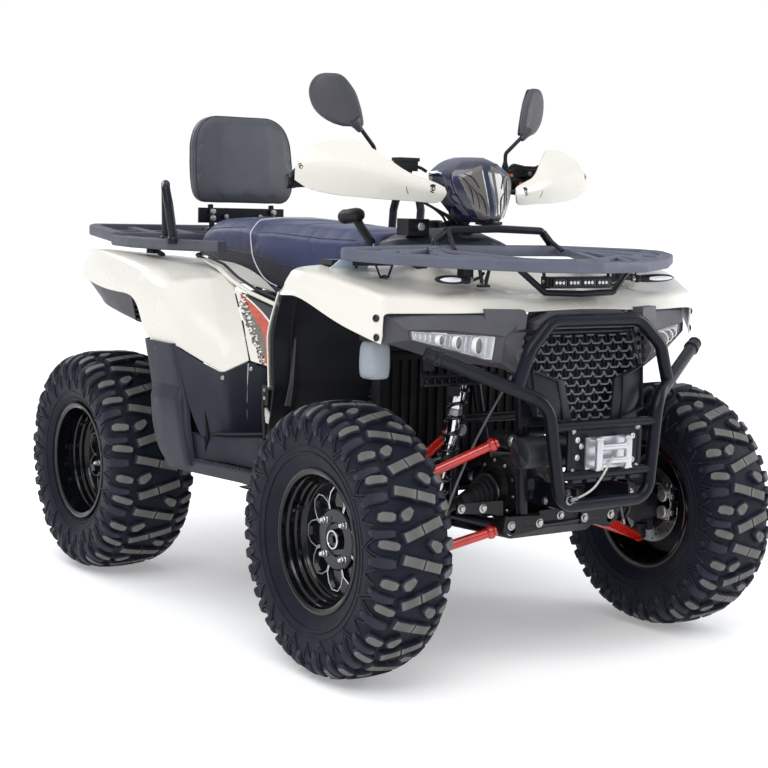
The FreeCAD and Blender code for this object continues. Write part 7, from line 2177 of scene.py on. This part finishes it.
for s in (1, -1):
    m = lambda x, y, z: (x * s, y, z)
    bolt(g, m(145, -464.5, 1117), (0.1 * s, -1, 0.12), 7.0, 3.5, 0, kind="button", washer=11.0)
    bolt(g, m(449, -343.5, 1160), (0.35 * s, -1, 0.1), 6.5, 3.5, 0, kind="button", washer=10.0)
    # seams moulded into the shell
    for a, b in (((318, -403.5, 1146), (296, -400.5, 1100)), ((214, -449.0, 1120), (196, -444.5, 1094))):
        pts = snap_line(bpy.data.objects["guard_shells"], [m(*a), m((a[0] + b[0]) / 2 + 4, (a[1] + b[1]) / 2, (a[2] + b[2]) / 2), m(*b)], 0.0, n=5)
        tube(g, pts, 0.9, 6, 1)
    # stays from guard to bar
    tube(g, [m(141, -462, 1111), m(138, -430, 1114), m(130, -352, 1120)], 6.5, 10, 2, rad=14)
    tube(g, [m(449, -340, 1160), m(456, -318, 1146), m(446, -286, 1128)], 6.5, 10, 2, rad=12)
    # throttle and switch housings, brake levers
    bar = lambda x: (x, -318 + (x - 250) * (30 / 180.0) if x > 250 else -318 - (250 - x) * (27 / 140.0), 1142 - (x - 250) * (14 / 180.0) if x > 250 else 1142 - (250 - x) * (24 / 140.0))
    ax = (0.985 * s, 0.165, -0.075)
    c = bar(272)
    lathe(g, [(12, -18), (20, -17), (22.5, -14), (22.5, 12), (20, 15), (18, 16)], 28, 3, frame_at(m(*c), ax))
    c = bar(218)
    lathe(g, [(12, -16), (19, -15), (20.5, -12), (20.5, 12), (19, 15), (12, 16)], 28, 3, frame_at(m(*c), (0.95 * s, 0.2, 0.16)))
    block(g, (min(204 * s, 236 * s), -352, 1118), (max(204 * s, 236 * s), -330, 1146), 3)
    for dz in (1126, 1138):
        lathe(g, [(4.2, 0), (4.2, 3), (3.2, 4), (0.01, 4.3)], 12, 4, frame_at(m(220, -352, dz), (0, -1, 0)))
    lever = [m(238, -352, 1146), m(262, -372, 1152), m(300, -374, 1153), m(352, -358, 1148), m(398, -338, 1143)]
    tube(g, lever, 5.2, 12, 2, rad=26, flat=0.7)
    lathe(g, [(0.01, -7.5), (4.5, -6.5), (7.2, -2.5), (7.5, 0), (7.2, 2.5), (4.5, 6.5), (0.01, 7.5)], 16, 2, frame_at(m(402, -336.5, 1142.5), (0.9 * s, 0.3, -0.1)))
    tube(g, [m(262, -300, 1128), m(282, -296, 1112), m(306, -298, 1110)], 4.2, 10, 2, rad=10)
g.obj("bar_fittings", [M["boltd"], M["seat_side"], M["frame"], M["black"], M["orange"]], "steering", "shell_dark", sharp=40)

# grips with rings, flange and end cap
g = Geo()
for s in (1, -1):
    a, b = Vector((300 * s, -309.7, 1138.1)), Vector((440 * s, -286.3, 1127.2))
    ax = (b - a).normalized()
    L = (b - a).length
    prof = [(11, 0), (21.5, 0.5), (22.0, 3), (21, 5.5), (16.5, 7)]
    k = 10.0
    while k < L - 12:
        prof += [(16.6, k), (17.0, k + 1.2), (17.0, k + 4.6), (16.4, k + 5.8)]
        k += 7.0
    prof += [(17.2, L - 8), (18.2, L - 6), (18.2, L - 1), (15, L + 1), (0.01, L + 1.5)]
    lathe(g, prof, 30, 0, frame_at(a, ax))
    lathe(g, [(11, 1), (17.5, 2), (18.5, 5), (18.5, 12), (16, 16), (6, 17), (0.01, 17)], 26, 1, frame_at(b, ax))
o = g.obj("grip_detail", [M["rubber_plain"], M["black"]], "steering", "shell_dark", sharp=40)
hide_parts("grips")

# brake fluid reservoirs
g = Geo()
for s in (1, -1):
    m = lambda x, y, z: Vector((x * s, y, z))
    lo = [m(236, -338, 1156), m(286, -336, 1156), m(286, -294, 1156), m(236, -296, 1156)]
    up1 = [m(233, -340, 1176), m(289, -338, 1176), m(289, -291, 1176), m(233, -293, 1176)]
    c = m(261, -315, 1176)
    L = [lo, up1, toward(up1, c, -1.6, (0, 0, 1)), toward(up1, c, -1.6, (0, 0, 6)), toward(up1, c, 1.5, (0, 0, 9))]
    if s < 0:
        L = [l[::-1] for l in L]
    ring_faces(g, L, 0, cap=0)
    for x, y in ((242, -331), (280, -300)):
        bolt(g, m(x, y, 1185), (0, 0, 1), 3.0, 0.2, 2, kind="button")
    lathe(g, [(6.5, -1), (6.5, 1.5), (5, 2), (0.01, 2)], 18, 1, frame_at(m(261, -339.5, 1166), (0, -1, -0.05)))
    tube(g, [m(300, -318, 1150), m(262, -322, 1148), m(228, -326, 1144)], 9.5, 14, 0)
    tube(g, [m(228, -326, 1144), m(206, -336, 1140), m(188, -352, 1118)], 3.4, 8, 0, rad=12)
o = g.obj("reservoir_detail", [M["black"], M["glass_dark"], M["boltm"]], "steering", "shell_dark", sharp=35, bevel=1.2, angle=40)
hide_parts("controls")

# ---------------------------------------------------------------- mirrors
turn = math.radians(28)
rings_m = [(1264.5, -72, -44), (1267, -76, -24), (1274, -78, 4), (1288, -76, 28), (1306, -72, 46), (1328, -65, 56), (1350, -56, 59), (1368, -43, 55), (1381, -32, 46), (1389, -21, 35), (1392.6, -9, 22)]
g = Geo()
for s in (1, -1):
    F = lambda u, t, z: ((318 + u * math.cos(turn) - t * math.sin(turn)) * s, -272 + u * math.sin(turn) + t * math.cos(turn), z)
    rings, glass = [], []
    for i, (z, u0, u1) in enumerate(rings_m):
        uc, a = (u0 + u1) / 2, (u1 - u0) / 2
        f = math.sin(math.pi * min(1, (i + 0.7) / (len(rings_m) + 0.4))) ** 0.55
        ring = []
        for k in range(28):
            q = 2 * math.pi * k / 28
            cs, sn = math.cos(q), math.sin(q)
            cu = math.copysign(abs(cs) ** 0.8, cs)
            t = -3.0 + (16.0 * f * (abs(sn) ** 0.9) * -1 if sn < 0 else min(10.5, 14 * f * sn ** 0.7))
            ring.append(F(uc + a * cu, t, z))
        rings.append(ring)
        glass.append((z, uc, a))
    loft(g, rings, 0, sub=3)
    top = [(uc + a * 0.86, z) for z, uc, a in glass[1:-1]] + [(uc - a * 0.86, z) for z, uc, a in glass[1:-1]][::-1]
    pts = rounded([(u, z, 0) for u, z in top], 14, 3, True)
    k0 = [F(p.x, 8.0, p.y) for p in pts]
    cen = F(sum(p.x for p in pts) / len(pts), 8.3, sum(p.y for p in pts) / len(pts))
    n = len(k0)
    g.add(k0 + [cen], [((j + 1) % n, j, n) if s > 0 else (j, (j + 1) % n, n) for j in range(n)], 1, False)
    tube(g, k0, 2.0, 8, 0, closed=True)
    # neck, ball joint and bent stalk with its lock nut
    lathe(g, [(6.2, -10), (8.8, -4), (11.5, 6), (16, 16), (17, 24)], 20, 0, frame_at(F(-66, -4, 1262), (0.6 * s, 0.05, 0.8)))
    tube(g, [(209 * s, -300, 1150), (209 * s, -300, 1216), F(-68, -4, 1264)], 5.2, 12, 2, rad=16, n=5)
    lathe(g, [(12, -8), (12, 4), (9, 7)], 6, 3, frame_at((209 * s, -300, 1162), (0, 0, 1)))
    lathe(g, [(8.5, 6), (9.6, 8), (9.2, 20), (6.2, 30), (5.3, 34)], 18, 2, frame_at((209 * s, -300, 1162), (0, 0, 1)))
    tube(g, [(209 * s, -300, 1152), (214 * s, -318, 1142)], 10, 14, 2)
o = g.obj("mirror_detail", [M["bezel"], M["mirror"], M["frame"], M["boltd"]], "steering", "shell_dark", sharp=40)
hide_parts("mirrors")

# ---------------------------------------------------------------- instrument pod
def pod_ring(z, w, yf, ys, yr):
    pts = [(0, yf - 5, z), (w * 0.42, yf, z), (w * 0.86, (yf + ys) / 2 + 4, z), (w, ys + 8, z), (w * 0.94, yr - 4, z), (w * 0.6, yr, z),
           (-w * 0.6, yr, z), (-w * 0.94, yr - 4, z), (-w, ys + 8, z), (-w * 0.86, (yf + ys) / 2 + 4, z), (-w * 0.42, yf, z)]
    return [tuple(p) for p in rounded(pts, 7, 3, True)]


g = Geo()
loft(g, [pod_ring(1037, 40, -512, -488, -428), pod_ring(1044, 52, -519, -486, -421), pod_ring(1070, 73, -517, -478, -408), pod_ring(1110, 98, -506, -464, -388),
         pod_ring(1150, 106, -492, -452, -374), pod_ring(1172, 84, -484, -446, -371), pod_ring(1188, 58, -474, -440, -376), pod_ring(1197, 32, -456, -434, -386)], 0, sub=3)
o = g.obj("pod_shell", [M["navy"]], "steering", "shell_dark", sharp=48)
fix_normals(o)
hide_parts("instrument_pod")


def laid_panel(g, surf, corners, m, lift, nu=10, nv=8, edge=0.0, m2=None):
    """A thin panel over four curved corner lines, laid on a surface and lifted off it."""
    dg = bpy.context.evaluated_depsgraph_get()
    bvh = BVHTree.FromObject(surf, dg)
    a, b, c, d = [Vector(p) for p in corners]
    rows = []
    for i in range(nu + 1):
        row = []
        for j in range(nv + 1):
            u, v = i / nu, j / nv
            q = (a * (1 - u) + b * u) * (1 - v) + (d * (1 - u) + c * u) * v
            loc, nor, _, _ = bvh.find_nearest(q * 0.001)
            e = min(u, 1 - u, v, 1 - v)
            row.append(loc * 1000.0 + nor * (lift if e > 1e-6 else -0.6))
        rows.append(row)
    vv = [tuple(p) for r in rows for p in r]
    k = nv + 1
    ff = [(i * k + j, (i + 1) * k + j, (i + 1) * k + j + 1, i * k + j + 1) for i in range(nu) for j in range(nv)]
    nrm = (Vector(vv[k]) - Vector(vv[0])).cross(Vector(vv[1]) - Vector(vv[0]))
    if nrm.y > 0:
        ff = [f[::-1] for f in ff]
    g.add(vv, ff, m, True)


g = Geo()
for s in (1, -1):
    m = lambda x, y, z: (x * s, y, z)
    laid_panel(g, o, [m(88, -486, 1158), m(12, -490, 1184), m(9, -518, 1040), m(42, -515, 1040)], 0, 2.2, 14, 16)
    # generic streaks inlaid in the panel, and the seam of the side cheek
    for route, r in (([(84, -487, 1152), (66, -492, 1140), (54, -500, 1112), (50, -505, 1080)], 1.5), ([(70, -490, 1160), (48, -496, 1146), (34, -503, 1120)], 1.7),
                     ([(40, -505, 1110), (26, -510, 1090), (20, -515, 1058)], 2.0), ([(56, -498, 1128), (40, -504, 1104), (34, -510, 1070)], 1.2)):
        pts = snap_line(o, [m(*p) for p in route], 2.4, n=5)
        n = len(pts)
        for i in range(n - 1):
            f0 = math.sin(math.pi * (i + 0.15) / n)
            tube(g, [pts[i], pts[i + 1]], r * (0.35 + 0.75 * f0), 6, 1, caps=True)
    tube(g, snap_line(o, [m(102, -470, 1160), m(100, -478, 1120), m(80, -488, 1080), m(56, -500, 1046)], 0.2, n=6), 1.4, 6, 1)
    laid_panel(g, o, [m(103, -455, 1150), m(104, -400, 1150), m(74, -415, 1076), m(70, -466, 1076)], 2, 1.6, 8, 8)
tube(g, [(-40, -503, 1036), (0, -510, 1033), (40, -503, 1036)], 4.0, 8, 1)
for s in (1, -1):
    tube(g, [(50 * s, -430, 1060), (36 * s, -392, 1085), (26 * s, -362, 1100)], 6.5, 10, 1, rad=10)
    bolt(g, (52 * s, -440, 1052), (s, 0, -0.4), 4.5, 3.0, 3, kind="button")
# screen on the rider's side
block(g, (-46, -372.5, 1104), (46, -368.5, 1156), 1)
g.add([(-40, -368, 1110), (40, -368, 1110), (40, -368, 1150), (-40, -368, 1150)], [(3, 2, 1, 0)], 4, False)
for s in (1, -1):
    for z in (1110, 1150):
        bolt(g, (43 * s, -368.5, z), (0, 1, 0), 2.2, 1.2, 3, kind="button")
g.obj("pod_panels", [M["pod_glass"], M["black"], M["bezel"], M["boltd"], M["glass_dark"]], "steering", "shell_dark", sharp=40)

# clamp and bolts on the column
g = Geo()
for s in (1, -1):
    for y in (-356, -334):
        bolt(g, (32 * s, y, 1138.5), (0, 0, 1), 6.0, 5.0, 0, washer=8.0)
    block(g, (min(14 * s, 45 * s), -362, 1118), (max(14 * s, 45 * s), -328, 1122), 1)
g.obj("clamp_bolts", [M["boltm"], M["black"]], "steering", "frame_paint", sharp=35)

# ---------------------------------------------------------------- gear lever and side post
g = Geo()
axis = [(-200, -230, 1049), (-200, -190, 1045), (-200, -150, 1041)]
a, b = Vector((-200, -236, 1049)), Vector((-200, -146, 1040.5))
ax = (b - a).normalized()
L = (b - a).length
lathe(g, [(0.01, 0), (9, 1), (14.5, 6), (17.5, 14), (18.2, L * 0.45), (17.2, L * 0.7), (19, L - 14), (17, L - 5), (10, L - 0.5), (0.01, L)], 26, 0, frame_at(a, ax))
for k in range(5):
    lathe(g, [(18.4, 20 + k * 9), (18.9, 22 + k * 9), (18.4, 24 + k * 9)], 26, 0, frame_at(a, ax))
tube(g, [(-199, -208, 1040), (-196, -234, 1012), (-189, -264, 982)], 11.5, 16, 0, rad=14)
lathe(g, [(12.5, 0), (13.2, 6), (11, 12), (9.5, 30), (6.5, 34)], 20, 0, frame_at((-190, -262, 985), (0.14, -0.2, -0.97)))
tube(g, [(-188, -268, 984), (-181, -279, 940), (-172, -290, 902)], 5.6, 12, 1)
for k in range(5):
    lathe(g, [(20 - k * 2.6, k * 6), (24 - k * 2.6, k * 6 + 2), (20 - k * 2.6, k * 6 + 5)], 22, 2, frame_at((-172, -290, 893), (-0.16, 0.2, 0.96)))
o = g.obj("gear_lever_detail", [M["black"], M["chrome"], M["rubber_plain"]], "root", "shell_dark", sharp=40)
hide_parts("gear_lever")

# box of the hydraulic cylinder beside the right mirror, switch box and lever on the other side
g = Geo()
block(g, (-166, -356, 1160), (-114, -322, 1186), 0)
block(g, (-169, -359, 1184), (-111, -319, 1193), 0)
block(g, (-152, -348, 1128), (-126, -332, 1161), 0)
for x, y in ((-160, -350), (-120, -328)):
    bolt(g, (x, y, 1193), (0, 0, 1), 3.2, 0.4, 1, kind="button")
lathe(g, [(13, -13), (17, -12), (17, 12), (13, 13)], 22, 0, frame_at((-139, -339.5, 1123), (0.95, -0.2, -0.15)))
tube(g, [(-112, -338, 1174), (-96, -346, 1168), (-84, -352, 1160)], 4.0, 10, 0, rad=10)
block(g, (146, -360, 1140), (190, -330, 1172), 0)
lathe(g, [(13, -16), (17.5, -15), (17.5, 15), (13, 16)], 22, 0, frame_at((168, -334, 1128), (0.95, 0.2, 0.16)))
for x in (156, 170, 182):
    lathe(g, [(4.6, 0), (4.6, 3), (3.4, 4), (0.01, 4.2)], 12, 2, frame_at((x, -360, 1158), (0, -1, 0)))
tube(g, [(176, -352, 1172), (188, -360, 1186), (224, -362, 1180), (262, -360, 1180), (278, -354, 1184)], 4.6, 10, 0, rad=12)
g.obj("master_cylinder", [M["black"], M["boltm"], M["orange"]], "steering", "shell_dark", sharp=35, bevel=1.4, angle=40)

# ---------------------------------------------------------------- tail lamps
g = Geo()
for s in (1, -1):
    m = lambda x, y, z: Vector((x * s, y, z))
    Q = [m(303, 930, 804), m(352, 932, 802), m(398, 930, 809), m(400, 929, 842), m(352, 932, 849), m(306, 930, 846)]
    cen = m(351, 931, 826)
    if s > 0:
        Q = Q[::-1]
    back_q = [p + Vector((0, -24, 0)) for p in Q]
    rim_q = toward(Q, cen, 3.5, (0, 2.5, 0))
    well = toward(Q, cen, 6.5, (0, -4, 0))
    deep = toward(Q, cen, 11.0, (0, -15, 0))
    ring_faces(g, [back_q, Q, rim_q, well], 0, cap=None)
    ring_faces(g, [well, deep], 1, cap=1)
    lens0 = toward(Q, cen, 5.0, (0, -2.0, 0))
    lens1 = toward(Q, cen, 8.0, (0, 2.4, 0))
    lens2 = toward(Q, cen, 17.0, (0, 4.4, 0))
    ring_faces(g, [lens0, lens1, lens2], 2, cap=2)
    for k in range(8):
        x = 316 + k * 10
        tube(g, [m(x, 933.2, 812), m(x, 934.2, 826), m(x, 933.2, 840)], 1.6, 6, 2)
    for z in (814, 838):
        bolt(g, m(312, 905.5, z), (0, -1, 0), 5.0, 3.0, 3)
    # bracket to the body
    prism(g, [m(318, 906, 816), m(318, 880, 818), m(318, 880, 836), m(318, 906, 838)], (5 * s, 0, 0), 0)
o = g.obj("tail_lamp_detail", [M["black"], M["reflector"], M["lens_red"], M["boltm"]], "root", "lamp_red", sharp=35)
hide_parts("tail_lights")

# ---------------------------------------------------------------- hitch plate bolts, tail crossbar, rear guard bars
g = Geo()
for x in (-48, 48):
    for z in (312, 366):
        bolt(g, (x, 818, z), (0, 1, 0), 7.0, 5.0, 0, washer=10)
lathe(g, [(9.5, -0.2), (14, 0), (14, 2.0), (9.5, 2.2)], 24, 1, frame_at((0, 880, 338), (0, 0, 1)))
for s in (1, -1):
    tube(g, [(96 * s, 798, 338), (96 * s, 806, 500), (92 * s, 812, 700), (120 * s, 830, 800)], 9.0, 12, 2, rad=40)
    bolt(g, (96 * s, 806, 345), (0, 1, 0), 6.5, 5.0, 0, washer=9)
tube(g, [(-96, 808, 520), (96, 808, 520)], 8.0, 12, 2)
g.obj("rear_fittings", [M["boltm"], M["steel"], M["frame"]], "root", "frame_paint", sharp=38)

# ---------------------------------------------------------------- skid plate bolts
g = Geo()
for y, z in ((-700, 299.5), (-480, 282), (-260, 242), (-40, 240), (180, 238.5), (400, 237)):
    for s in (1, -1):
        bolt(g, (92 * s, y, z - 1.5), (0, 0, -1), 6.0, 3.0, 0, kind="button")
g.obj("skid_bolts", [M["boltm"]], "root", "frame_paint", sharp=40)

# ---------------------------------------------------------------- screws at the front corners of the shell
g = Geo()
for s in (1, -1):
    for at in snap_line(bpy.data.objects["front_shell"], [(484 * s, -727, 826), (484 * s, -728, 783)], 0.3, n=1):
        bolt(g, tuple(at), (0.92 * s, -0.38, 0.06), 6.5, 3.5, 0, kind="button", washer=8.5)
g.obj("corner_screws", [M["boltd"]], "root", "shell_dark", sharp=40)

# ---------------------------------------------------------------- covers between front leg, tank and side panel
g = Geo()
for s in (1, -1):
    outer = [(-332, 862), (-120, 852), (-62, 806), (-62, 706), (-112, 646), (-290, 634), (-332, 664)]
    inner = [(-314, 842), (-128, 833), (-82, 796), (-82, 716), (-120, 666), (-282, 654), (-314, 676)]
    prism(g, [(213 * s, y, z) for y, z in outer], (4 * s, 0, 0), 0)
    prism(g, [(217 * s, y, z) for y, z in inner], (3 * s, 0, 0), 0)
    for k in range(6):
        y = -290 + k * 34
        prism(g, [(220 * s, y, 690), (220 * s, y + 12, 690), (220 * s, y + 26, 800), (220 * s, y + 14, 800)], (3.5 * s, 0, 0), 1)
    for y, z in ((-322, 850), (-322, 672), (-74, 798), (-74, 712), (-200, 647), (-210, 848)):
        bolt(g, (217 * s, y, z), (s, 0, 0), 5.0, 2.5, 2, kind="button")
    tube(g, [(213 * s, -318, 740), (180 * s, -318, 740), (150 * s, -300, 742)], 6.0, 10, 1, rad=14)
    tube(g, [(213 * s, -100, 700), (180 * s, -100, 700), (150 * s, -110, 700)], 6.0, 10, 1, rad=14)
g.obj("inner_side_covers", [M["black"], M["frame"], M["boltd"]], "root", "shell_dark", sharp=40, bevel=1.2, angle=50)

# ---------------------------------------------------------------- the end
bpy.context.view_layer.update()
lo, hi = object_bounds()
